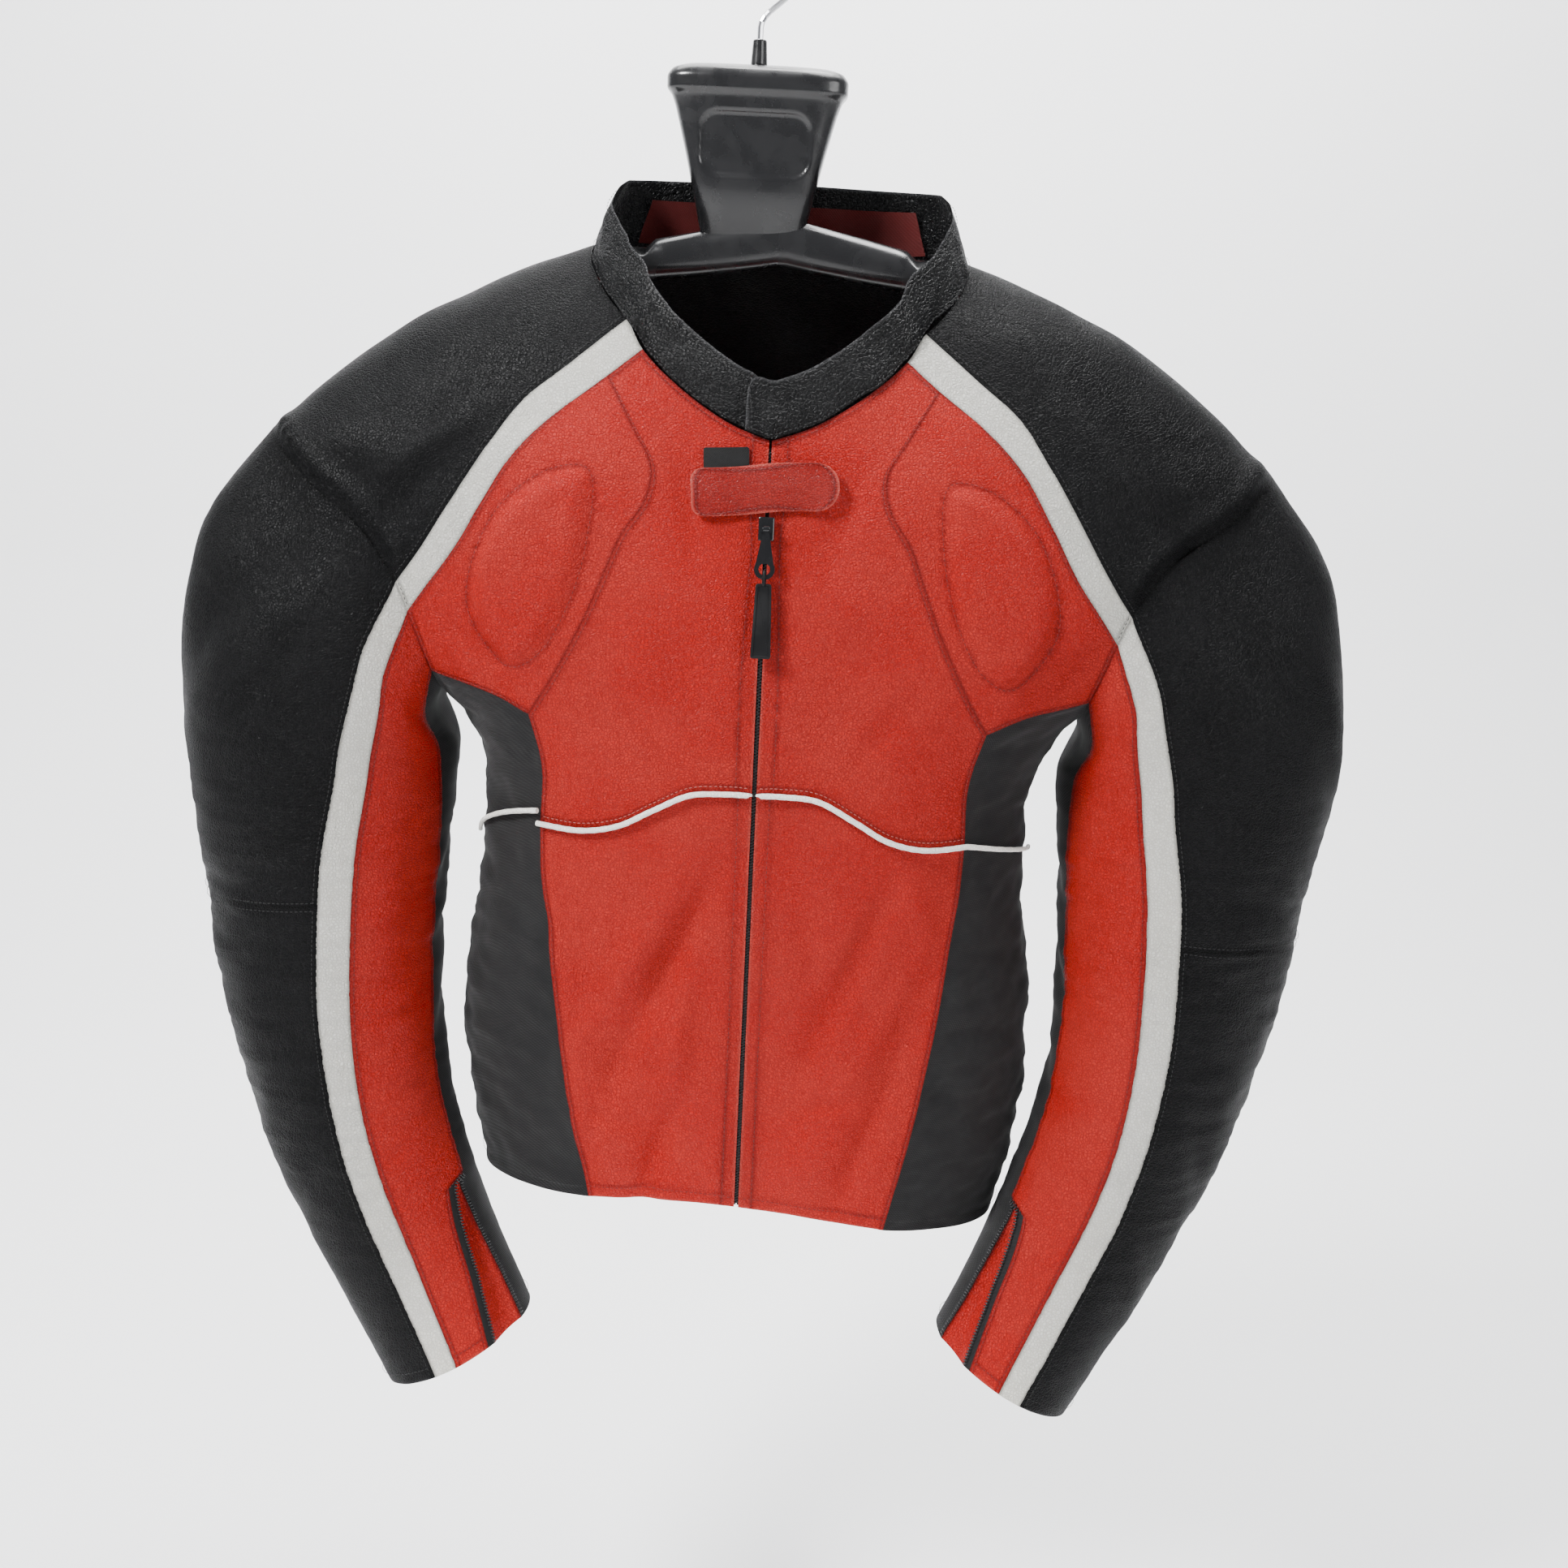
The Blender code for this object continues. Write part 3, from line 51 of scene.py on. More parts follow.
Array = np.ndarray
Run = Callable[[Array], Array]
Triple = tuple[float, float, float]


def row_type(name: str, fields: str) -> type:
    """Type of a table's rows, with a number for each field."""
    return NamedTuple(name, [(key, float) for key in fields.split()])


GARMENT = "garment"
PULL_TAB = "pull_tab"
HANG_SHIFT = 0.020            # the jacket hangs this far to the side of the hook
HEM_TILT = 0.011              # the hem's drop on the viewer's right and its rise on the left
HEM_TILT_REACH = 0.12
CUFF_DRAW = 0.010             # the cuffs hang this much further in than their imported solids

# Trunk, as level rings around the hanging jacket
Ring = row_type("Ring", "z half_width front back power")
TRUNK = (
    Ring(-0.880, 0.184, 0.096, 0.088, 2.5),
    Ring(-0.850, 0.188, 0.098, 0.090, 2.5),
    Ring(-0.800, 0.198, 0.102, 0.096, 2.5),
    Ring(-0.740, 0.203, 0.104, 0.100, 2.5),
    Ring(-0.680, 0.200, 0.106, 0.104, 2.5),
    Ring(-0.620, 0.192, 0.110, 0.108, 2.5),
    Ring(-0.560, 0.190, 0.114, 0.112, 2.5),
    Ring(-0.515, 0.206, 0.116, 0.114, 2.5),
    Ring(-0.470, 0.262, 0.115, 0.114, 2.4),
    Ring(-0.430, 0.303, 0.112, 0.112, 2.3),
    Ring(-0.385, 0.335, 0.106, 0.107, 2.2),
    Ring(-0.340, 0.345, 0.098, 0.100, 2.1),
    Ring(-0.310, 0.318, 0.091, 0.094, 2.05),
    Ring(-0.280, 0.283, 0.081, 0.086, 2.0),
    Ring(-0.250, 0.240, 0.067, 0.075, 2.0),
    Ring(-0.225, 0.190, 0.049, 0.060, 2.0),
    Ring(-0.205, 0.138, 0.030, 0.040, 2.0),
    Ring(-0.190, 0.090, 0.012, 0.020, 2.0),
)

# Height of the neck seam and of the hem around the jacket, by degrees from the front to the back
Level = row_type("Level", "angle z")
NECK = (
    Level(0.0, -0.3175), Level(4.0, -0.309), Level(8.0, -0.298), Level(14.0, -0.280),
    Level(19.0, -0.264), Level(24.5, -0.246), Level(47.0, -0.2155), Level(70.0, -0.203),
    Level(90.0, -0.1995), Level(120.0, -0.2015), Level(150.0, -0.204), Level(180.0, -0.205),
)
HEM = (Level(0.0, -0.841), Level(30.0, -0.851), Level(90.0, -0.857), Level(180.0, -0.852))
NECK_STRIPE_IN = math.radians(19.0)
NECK_STRIPE_OUT = math.radians(24.5)
NECK_BACK_SEAM = math.radians(130.0)
SIDE_SEAM_HEM = math.radians(100.0)

# Seams on the front, as half width and height
Spot = row_type("Spot", "x z")
STRIPE_IN = (Spot(0.1402, -0.308), Spot(0.1653, -0.3343), Spot(0.1846, -0.3665), Spot(0.2024, -0.3972))
STRIPE_OUT = (Spot(0.1298, -0.2739), Spot(0.1594, -0.2981), Spot(0.1797, -0.3259),
              Spot(0.2006, -0.3592), Spot(0.2231, -0.3958))
PRINCESS_TOP = Spot(0.106, -0.2815)
PRINCESS = (Spot(0.0876, -0.3132), Spot(0.0757, -0.3352), Spot(0.0783, -0.3578),
            Spot(0.0929, -0.3806), Spot(0.104, -0.4087), Spot(0.1164, -0.4382), Spot(0.1347, -0.4746))
CHEST_CORNER = Spot(0.1501, -0.5005)
CHEST_FLOOR = (Spot(0.1727, -0.4915),)
FRONT_EDGE = (Spot(0.1412, -0.5367),)
FRONT_EDGE_LOW = (Spot(0.1410, -0.610), Spot(0.1369, -0.6447), Spot(0.1323, -0.6905),
                  Spot(0.1245, -0.7428), Spot(0.1124, -0.8086))
FRONT_EDGE_HEM = 0.1038
PIPING = (Spot(0.0, -0.5428), Spot(0.0184, -0.5428), Spot(0.0422, -0.5452), Spot(0.0662, -0.5579),
          Spot(0.0879, -0.5706), Spot(0.1126, -0.5768), Spot(0.1420, -0.5765))
ZIP_HALF_SLIT = 0.0016

# Stitched outline of the chest pads
PAD_OUTLINE = (
    Spot(0.113, -0.343), Spot(0.140, -0.342), Spot(0.170, -0.365), Spot(0.188, -0.402),
    Spot(0.190, -0.436), Spot(0.166, -0.468), Spot(0.144, -0.460), Spot(0.127, -0.432), Spot(0.115, -0.392),
)

# Armhole: a tilted loop on the trunk, bowed in at front and back
ARM_CENTRE = np.array((0.275, 0.0, -0.4225))
ARM_TILT = math.radians(55.5)
ARM_BOW_FRONT = 0.030
ARM_BOW_BACK = 0.018
ARM_REACH = 0.25              # further than the armhole is from its centre, anywhere
ARM_PHI = {"stripe_out": 103.0, "stripe_in": 116.0, "red_in": 141.0, "side": 215.0,
           "under": 250.0, "back": 295.0}

# Sleeve sections from the armhole to the cuff; tilt is the axis' lean outwards
Section = row_type("Section", "s x y z tilt half_width half_depth")
SLEEVE = (
    Section(0.000, 0.275, 0.000, -0.4225, 55.5, 0.106, 0.088),
    Section(0.096, 0.302, -0.004, -0.470, 35.0, 0.104, 0.091),
    Section(0.220, 0.306, -0.006, -0.540, 8.0, 0.097, 0.085),
    Section(0.361, 0.302, -0.012, -0.620, -2.0, 0.088, 0.078),
    Section(0.502, 0.297, -0.020, -0.700, -8.0, 0.080, 0.072),
    Section(0.645, 0.282, -0.032, -0.780, -15.0, 0.071, 0.064),
    Section(0.804, 0.254, -0.048, -0.865, -24.0, 0.064, 0.056),
    Section(0.921, 0.226, -0.062, -0.925, -29.0, 0.060, 0.052),
    Section(1.000, 0.205, -0.072, -0.965, -30.0, 0.058, 0.050),
)
SLEEVE_BLEND = 0.22
SLEEVE_LENGTH = 0.58
SLEEVE_RADIUS = 0.078
ELBOW_SEAM = 0.40
CUFF_TOP = 0.800
CUFF_OPEN = 0.808
CUFF_POINT = 0.8015            # the cuff zip's pieces close up towards a point from here

# Angles of the sleeve's seams: 0 is the outer side, 90 the front, 180 the body side
Seams = row_type("Seams", "s stripe_out stripe_in red_in gusset_front gusset_back under")
SLEEVE_SEAMS = (
    Seams(0.000, 103.0, 116.0, 141.0, 145.0, 146.0, 141.0),
    Seams(0.096, 109.0, 122.0, 152.0, 145.0, 146.0, 152.0),
    Seams(0.220, 107.0, 120.0, 158.0, 145.0, 146.0, 158.0),
    Seams(0.361, 98.0, 113.0, 163.0, 145.0, 146.0, 163.0),
    Seams(0.502, 94.0, 110.0, 164.0, 145.0, 146.0, 164.0),
    Seams(0.645, 90.0, 106.0, 164.0, 164.0, 164.0, 164.0),
    Seams(0.800, 85.0, 103.0, 162.0, 162.0, 162.0, 162.0),
    Seams(0.808, 85.0, 103.0, 144.0, 150.0, 154.0, 161.5),
    Seams(0.921, 82.0, 100.0, 132.0, 138.0, 158.0, 164.0),
    Seams(1.000, 80.0, 97.0, 123.0, 129.0, 160.0, 167.0),
)
SLEEVE_BACK_SEAM = 250.0

# Folds of the trunk as soft ridges (+) and troughs (-); the first seven are the imported ones
Fold = row_type("Fold", "x0 z0 x1 z1 depth width")
FRONT_FOLDS = (
    Fold(-0.118, -0.690, -0.050, -0.815, -0.0055, 0.016),
    Fold(-0.085, -0.655, -0.030, -0.770, 0.0045, 0.017),
    Fold(-0.125, -0.760, -0.085, -0.835, 0.0040, 0.014),
    Fold(0.120, -0.650, 0.070, -0.770, -0.0040, 0.018),
    Fold(0.085, -0.720, 0.040, -0.825, 0.0040, 0.016),
    Fold(-0.060, -0.430, -0.035, -0.520, -0.0030, 0.017),
    Fold(0.065, -0.440, 0.035, -0.530, -0.0030, 0.017),
    Fold(-0.018, -0.590, -0.094, -0.765, -0.0066, 0.0095),
    Fold(-0.048, -0.610, -0.112, -0.735, 0.0042, 0.0100),
    Fold(-0.038, -0.680, -0.054, -0.790, 0.0040, 0.0090),
    Fold(-0.046, -0.765, -0.066, -0.845, -0.0052, 0.0085),
    Fold(-0.098, -0.775, -0.104, -0.840, -0.0034, 0.0075),
    Fold(-0.140, -0.640, -0.098, -0.700, -0.0032, 0.0080),
    Fold(-0.034, -0.742, -0.086, -0.752, -0.0018, 0.0050),
    Fold(-0.070, -0.792, -0.122, -0.782, -0.0018, 0.0050),
    Fold(0.096, -0.600, 0.040, -0.735, -0.0050, 0.0100),
    Fold(0.122, -0.640, 0.074, -0.740, 0.0034, 0.0100),
    Fold(0.112, -0.705, 0.070, -0.835, -0.0046, 0.0095),
    Fold(0.030, -0.600, 0.052, -0.700, -0.0022, 0.0110),
    Fold(0.030, -0.765, 0.084, -0.752, -0.0018, 0.0050),
    Fold(0.102, -0.595, 0.122, -0.640, 0.0026, 0.0090),
    Fold(0.060, -0.330, 0.040, -0.400, -0.0024, 0.0090),
    Fold(-0.058, -0.335, -0.044, -0.400, -0.0026, 0.0090),
    Fold(-0.088, -0.480, -0.050, -0.530, -0.0026, 0.0090),
    Fold(0.104, -0.470, 0.060, -0.528, -0.0028, 0.0090),
    Fold(-0.205, -0.330, -0.262, -0.392, -0.0036, 0.0100),
    Fold(-0.180, -0.300, -0.245, -0.350, 0.0028, 0.0100),
    Fold(0.220, -0.305, 0.285, -0.385, -0.0038, 0.0110),
    Fold(0.190, -0.290, 0.255, -0.350, 0.0030, 0.0110),
    Fold(-0.175, -0.470, -0.215, -0.440, -0.0028, 0.0080),
    Fold(0.178, -0.478, 0.220, -0.445, -0.0030, 0.0080),
)
BACK_FOLDS = (
    Fold(-0.150, -0.330, -0.060, -0.470, -0.0036, 0.022),
    Fold(0.160, -0.335, 0.075, -0.480, -0.0034, 0.021),
    Fold(-0.090, -0.600, -0.020, -0.760, -0.0038, 0.020),
    Fold(0.100, -0.590, 0.030, -0.740, 0.0034, 0.020),
    Fold(0.120, -0.690, 0.065, -0.830, -0.0036, 0.018),
    Fold(-0.130, -0.700, -0.080, -0.835, 0.0032, 0.017),
    Fold(-0.100, -0.505, 0.095, -0.520, -0.0024, 0.013),
    Fold(-0.110, -0.545, 0.080, -0.552, 0.0020, 0.013),
)

# Folds of the sleeves by their share of the length and angle, for the sleeve on the left and the right
Crease = row_type("Crease", "side s0 phi0 s1 phi1 depth width")
SLEEVE_FOLDS = (
    Crease(-1, 0.05, 60.0, 0.20, 20.0, -0.0034, 0.013), Crease(-1, 0.09, 85.0, 0.24, 55.0, -0.0026, 0.011),
    Crease(-1, 0.14, 10.0, 0.26, -40.0, 0.0030, 0.014), Crease(-1, 0.36, 88.0, 0.40, 20.0, -0.0024, 0.010),
    Crease(-1, 0.44, 85.0, 0.50, 30.0, -0.0026, 0.011), Crease(-1, 0.48, 80.0, 0.46, 10.0, 0.0022, 0.012),
    Crease(-1, 0.55, 75.0, 0.66, 15.0, -0.0022, 0.012), Crease(-1, 0.72, 70.0, 0.80, 5.0, -0.0020, 0.011),
    Crease(-1, 0.30, 200.0, 0.42, 165.0, -0.0034, 0.011),
    Crease(-1, 0.44, 205.0, 0.48, 166.0, -0.0030, 0.010),
    Crease(-1, 0.52, 210.0, 0.62, 168.0, -0.0028, 0.011),
    Crease(-1, 0.40, -100.0, 0.48, -30.0, -0.0026, 0.014),
    Crease(1, 0.04, 72.0, 0.20, 30.0, -0.0034, 0.013), Crease(1, 0.10, 40.0, 0.28, 5.0, 0.0030, 0.014),
    Crease(1, 0.33, 90.0, 0.37, 15.0, -0.0026, 0.011), Crease(1, 0.42, 84.0, 0.50, 25.0, -0.0028, 0.011),
    Crease(1, 0.52, 80.0, 0.56, 10.0, -0.0022, 0.011), Crease(1, 0.60, 72.0, 0.74, 20.0, -0.0024, 0.012),
    Crease(1, 0.78, 68.0, 0.88, 20.0, 0.0020, 0.011), Crease(1, 0.28, 205.0, 0.40, 168.0, -0.0034, 0.011),
    Crease(1, 0.42, 200.0, 0.50, 168.0, -0.0030, 0.010), Crease(1, 0.56, 212.0, 0.64, 170.0, -0.0026, 0.011),
    Crease(1, 0.38, -95.0, 0.46, -25.0, -0.0028, 0.014), Crease(1, 0.18, -80.0, 0.30, -20.0, 0.0026, 0.015),
)

# Distances from a seam at which a shell has its own rows of points
NEAR_SEAM = (0.0, 0.0008, 0.0016, 0.0024, 0.0032, 0.0042, 0.0056, 0.0074, 0.0098)
SHELL_OUT = 0.0010
SHELL_IN = 0.0007
SEAM_LAP = 0.00016              # a sewn border runs this far past its seam, down in the groove


class Graph:
    """Adds shader nodes to a tree and joins them."""

    def __init__(self, tree: bpy.types.NodeTree) -> None:
        self.tree = tree
        self.count = 0

    def add(self, kind: str, inputs: dict | None = None, **settings: object) -> bpy.types.Node:
        """Adds a node.

        Args:
            kind: the node's type.
            inputs: sockets or plain values by input name or number.
            settings: the node's own properties.

        Returns:
            The new node.
        """
        node = self.tree.nodes.new(kind)
        node.location = (180 * (self.count % 9), -220 * (self.count // 9))
        self.count += 1
        for name, value in settings.items():
            setattr(node, name, value)
        for key, value in (inputs or {}).items():
            if isinstance(value, bpy.types.NodeSocket):
                self.tree.links.new(value, node.inputs[key])
            else:
                node.inputs[key].default_value = value
        return node

    def link(self, source: bpy.types.NodeSocket, target: bpy.types.NodeSocket) -> None:
        """Joins two sockets."""
        self.tree.links.new(source, target)

    def noise(self, place: bpy.types.NodeSocket, scale: object, detail: float,
              **more: float) -> bpy.types.NodeSocket:
        """Noise from 0 to 1 at a place."""
        inputs = {"Vector": place, "Scale": scale, "Detail": detail, **more}
        return self.add("ShaderNodeTexNoise", inputs).outputs["Fac"]

    def effect(self, tree: bpy.types.NodeTree, inputs: dict) -> bpy.types.Node:
        """Adds one of the shared effects."""
        return self.add("ShaderNodeGroup", inputs, node_tree=tree)

    def bump(self, shader: bpy.types.Node, height: bpy.types.NodeSocket, distance: float) -> None:
        """Joins a height to a shader as a bump of a real depth."""
        node = self.add("ShaderNodeBump", {"Height": height, "Distance": distance, "Strength": 1.0})
        self.link(node.outputs["Normal"], shader.inputs["Normal"])

    def math(self, operation: str, first: object, second: object = 0.0) -> bpy.types.NodeSocket:
        """Result of a Math node."""
        return self.add("ShaderNodeMath", {0: first, 1: second}, operation=operation).outputs[0]

    def remap(self, value: object, low: float, high: float, to_low: float = 0.0,
              to_high: float = 1.0) -> bpy.types.NodeSocket:
        """Value carried smoothly from one range to another."""
        node = self.add("ShaderNodeMapRange", {"Value": value, "From Min": low, "From Max": high,
                                               "To Min": to_low, "To Max": to_high},
                        interpolation_type="SMOOTHSTEP")
        return node.outputs["Result"]

    def mix(self, factor: object, first: object, second: object) -> bpy.types.NodeSocket:
        """Colour between two colours."""
        node = self.add("ShaderNodeMix", data_type="RGBA")
        for index, value in ((0, factor), (6, first), (7, second)):
            if isinstance(value, bpy.types.NodeSocket):
                self.tree.links.new(value, node.inputs[index])
            else:
                node.inputs[index].default_value = value if index == 0 else (*value, 1.0)
        return node.outputs[2]


def effect_group(name: str, inputs: dict[str, tuple[str, object]], outputs: Sequence[str]) -> tuple:
    """Makes an empty node group with its sockets.

    Args:
        name: the group's name.
        inputs: socket type and default by input name.
        outputs: names of the float outputs.

    Returns:
        The group, its graph, its input node and its output node.
    """
    group = bpy.data.node_groups.new(name, "ShaderNodeTree")
    for key, (kind, default) in inputs.items():
        socket = group.interface.new_socket(key, in_out="INPUT", socket_type=kind)
        if default is not None:
            socket.default_value = default
    for key in outputs:
        group.interface.new_socket(key, in_out="OUTPUT", socket_type="NodeSocketFloat")
    graph = Graph(group)
    return group, graph, graph.add("NodeGroupInput"), graph.add("NodeGroupOutput")


class Effects:
    """The shared surface effects, each a node group that puts out masks and heights."""

    def __init__(self) -> None:
        self.pebble = self._pebble()
        self.mottle = self._mottle()
        self.wrinkle = self._wrinkle()
        self.weave = self._weave()

    @staticmethod
    def _pebble() -> bpy.types.NodeTree:
        """Pebbled grain: rounded cells with sunk lines between them."""
        group, graph, given, out = effect_group(
            "pebbled_grain", {"Vector": ("NodeSocketVector", None), "Cells": ("NodeSocketFloat", 600.0)},
            ("Height", "Valley"))
        place = given.outputs["Vector"]
        warp = graph.add("ShaderNodeTexNoise", {"Vector": place, "Scale": 260.0, "Detail": 2.0})
        moved = graph.add("ShaderNodeVectorMath", {0: warp.outputs["Color"], 1: (0.0016, 0.0016, 0.0016)},
                          operation="MULTIPLY")
        shifted = graph.add("ShaderNodeVectorMath", {0: place, 1: moved.outputs[0]}, operation="ADD")
        inputs = {"Vector": shifted.outputs[0], "Scale": given.outputs["Cells"], "Randomness": 0.9}
        cells = graph.add("ShaderNodeTexVoronoi", inputs, feature="DISTANCE_TO_EDGE")
        rounded = graph.remap(cells.outputs["Distance"], 0.0, 0.22)
        height = graph.math("MULTIPLY_ADD", graph.noise(place, 1900.0, 3.0), 0.35)
        graph.link(rounded, height.node.inputs[2])
        graph.link(height, out.inputs["Height"])
        graph.link(graph.math("SUBTRACT", 1.0, rounded), out.inputs["Valley"])
        return group

    @staticmethod
    def _mottle() -> bpy.types.NodeTree:
        """Slow uneven patches of handling and dye."""
        group, graph, given, out = effect_group(
            "dye_mottle", {"Vector": ("NodeSocketVector", None), "Scale": ("NodeSocketFloat", 14.0)},
            ("Mask", "Speckle"))
        place = given.outputs["Vector"]
        broad = graph.noise(place, given.outputs["Scale"], 4.0, Roughness=0.6, Distortion=0.4)
        graph.link(graph.remap(broad, 0.36, 0.66), out.inputs["Mask"])
        graph.link(graph.remap(graph.noise(place, 330.0, 3.0), 0.45, 0.75), out.inputs["Speckle"])
        return group

    @staticmethod
    def _wrinkle() -> bpy.types.NodeTree:
        """Fine broken creases, in patches."""
        group, graph, given, out = effect_group(
            "fine_wrinkles", {"Vector": ("NodeSocketVector", None), "Scale": ("NodeSocketFloat", 70.0)},
            ("Height",))
        place = given.outputs["Vector"]
        lines = graph.noise(place, given.outputs["Scale"], 3.0, Distortion=1.2)
        ridged = graph.remap(graph.math("ABSOLUTE", graph.math("SUBTRACT", lines, 0.5)), 0.0, 0.07)
        shown = graph.remap(graph.noise(place, 9.0, 1.0), 0.42, 0.62, 0.15, 1.0)
        sunk = graph.math("MULTIPLY", graph.math("SUBTRACT", 1.0, ridged), shown)
        graph.link(graph.math("MULTIPLY", sunk, -1.0), out.inputs["Height"])
        return group

    @staticmethod
    def _weave() -> bpy.types.NodeTree:
        """Fine knitted or woven threads crossing each other."""
        group, graph, given, out = effect_group(
            "thread_weave", {"Vector": ("NodeSocketVector", None), "Threads": ("NodeSocketFloat", 340.0)},
            ("Height",))
        inputs = {"Vector": given.outputs["Vector"], "Scale": given.outputs["Threads"], "Distortion": 0.6}
        across, upright = (graph.add("ShaderNodeTexWave", inputs, bands_direction=way).outputs["Fac"]
                           for way in ("DIAGONAL", "Z"))
        graph.link(graph.math("MULTIPLY", across, upright), out.inputs["Height"])
        return group


@dataclass(frozen=True)
class Finish:
    """What every finish has: a name, its colour and a slot name.

    Attributes:
        name: name of the material.
        slot: name of a material slot; not used.
        colour: main colour, linear.
    """

    name: str
    slot: str
    colour: Triple

    def start(self) -> tuple[bpy.types.Material, Graph, bpy.types.Node, bpy.types.NodeSocket]:
        """New material with its graph, its shader and its Object coordinates."""
        material = bpy.data.materials.new(self.name)
        material.use_nodes = True
        graph = Graph(material.node_tree)
        shader = material.node_tree.nodes["Principled BSDF"]
        shader.inputs["Base Color"].default_value = (*self.colour, 1.0)
        place = graph.add("ShaderNodeTexCoord").outputs["Object"]
        return material, graph, shader, place

    def build(self, effects: Effects) -> bpy.types.Material:
        """The finished material."""
        raise NotImplementedError


@dataclass(frozen=True)
class Leather(Finish):
    """Pebbled leather with dye mottling, fine creases, painted shade in its valleys and seams, and painted
    edge highlights.

    Attributes:
        shade: colour of the painted shade in the grain valleys and sunk seams.
        wear_and_edge_highlight: colour where handling has lightened it.
        roughness: middle roughness.
        cells: pebbles in a metre.
        grain: depth of the pebbles.
        creases: depth of the fine creases, as a share of the grain.
        gloss: strength of its reflections.
        edge_highlight_colour: colour of the painted highlight along its stitched turned edges.
    """

    shade: Triple = (0.3, 0.01, 0.01)
    wear_and_edge_highlight: Triple = (0.6, 0.06, 0.05)
    roughness: float = 0.5
    cells: float = 620.0
    grain: float = 0.00022
    creases: float = 0.7
    gloss: float = 0.40
    edge_highlight_colour: Triple = (0.085, 0.085, 0.090)

    def build(self, effects: Effects) -> bpy.types.Material:
        """The finished material."""
        material, graph, shader, place = self.start()
        pebble = graph.effect(effects.pebble, {"Vector": place, "Cells": self.cells})
        mottle = graph.effect(effects.mottle, {"Vector": place, "Scale": 16.0})
        wrinkle = graph.effect(effects.wrinkle, {"Vector": place, "Scale": 85.0})
        seam = graph.add("ShaderNodeAttribute", attribute_name="seam").outputs["Fac"]
        tone = graph.mix(graph.math("MULTIPLY", mottle.outputs["Mask"], 0.50), self.colour, self.wear_and_edge_highlight)
        tone = graph.mix(graph.math("MULTIPLY", mottle.outputs["Speckle"], 0.30), tone, self.wear_and_edge_highlight)
        # Painted shade: the pebbles' valleys darken towards the shade colour.
        tone = graph.mix(graph.math("MULTIPLY", pebble.outputs["Valley"], 0.55), tone, self.shade)
        # Painted highlight along stitched turned edges, where the seam attribute is negative.
        edge_highlight_mask = graph.math("MAXIMUM", graph.math("MULTIPLY", seam, -0.8), 0.0)
        tone = graph.mix(edge_highlight_mask, tone, self.edge_highlight_colour)
        # Painted shade: darker down in the sunk seams, the stitch grooves and the pads' outline.
        sunk = graph.math("MAXIMUM", graph.math("MULTIPLY", seam, 0.85), 0.0)
        tone = graph.mix(sunk, tone, tuple(0.5 * c for c in self.shade))
        graph.link(tone, shader.inputs["Base Color"])
        rough = graph.remap(mottle.outputs["Mask"], 0.0, 1.0, self.roughness - 0.05, self.roughness + 0.07)
        graph.link(rough, shader.inputs["Roughness"])
        shader.inputs["Specular IOR Level"].default_value = self.gloss
        height = graph.math("MULTIPLY_ADD", wrinkle.outputs["Height"], self.creases)
        graph.link(pebble.outputs["Height"], height.node.inputs[2])
        graph.bump(shader, height, self.grain)
        return material


@dataclass(frozen=True)
class Fabric(Finish):
    """Knitted or woven cloth.

    Attributes:
        lit: colour on top of the threads.
        threads: scale of the weave.
        depth: depth of the weave.
        sheen: weight of the soft sheen.
    """

    lit: Triple = (0.03, 0.03, 0.032)
    threads: float = 320.0
    depth: float = 0.0002
    sheen: float = 0.15

    def build(self, effects: Effects) -> bpy.types.Material:
        """The finished material."""
        material, graph, shader, place = self.start()
        weave = graph.effect(effects.weave, {"Vector": place, "Threads": self.threads})
        mottle = graph.effect(effects.mottle, {"Vector": place, "Scale": 22.0})
        tone = graph.mix(weave.outputs["Height"], self.colour, self.lit)
        tone = graph.mix(graph.math("MULTIPLY", mottle.outputs["Mask"], 0.30), tone, self.lit)
        graph.link(tone, shader.inputs["Base Color"])
        rough = graph.remap(mottle.outputs["Mask"], 0.0, 1.0, 0.74, 0.86)
        graph.link(rough, shader.inputs["Roughness"])
        shader.inputs["Sheen Weight"].default_value = self.sheen
        graph.bump(shader, weave.outputs["Height"], self.depth)
        return material


@dataclass(frozen=True)
class Thread(Finish):
    """Twisted sewing thread."""

    def build(self, effects: Effects) -> bpy.types.Material:
        """The finished material."""
        material, graph, shader, place = self.start()
        twist = graph.add("ShaderNodeTexWave", {"Vector": place, "Scale": 900.0, "Distortion": 1.0},
                          bands_direction="DIAGONAL")
        dark = tuple(0.55 * c for c in self.colour)
        graph.link(graph.mix(twist.outputs["Fac"], dark, self.colour), shader.inputs["Base Color"])
        shader.inputs["Roughness"].default_value = 0.6
        graph.bump(shader, twist.outputs["Fac"], 0.0001)
        return material


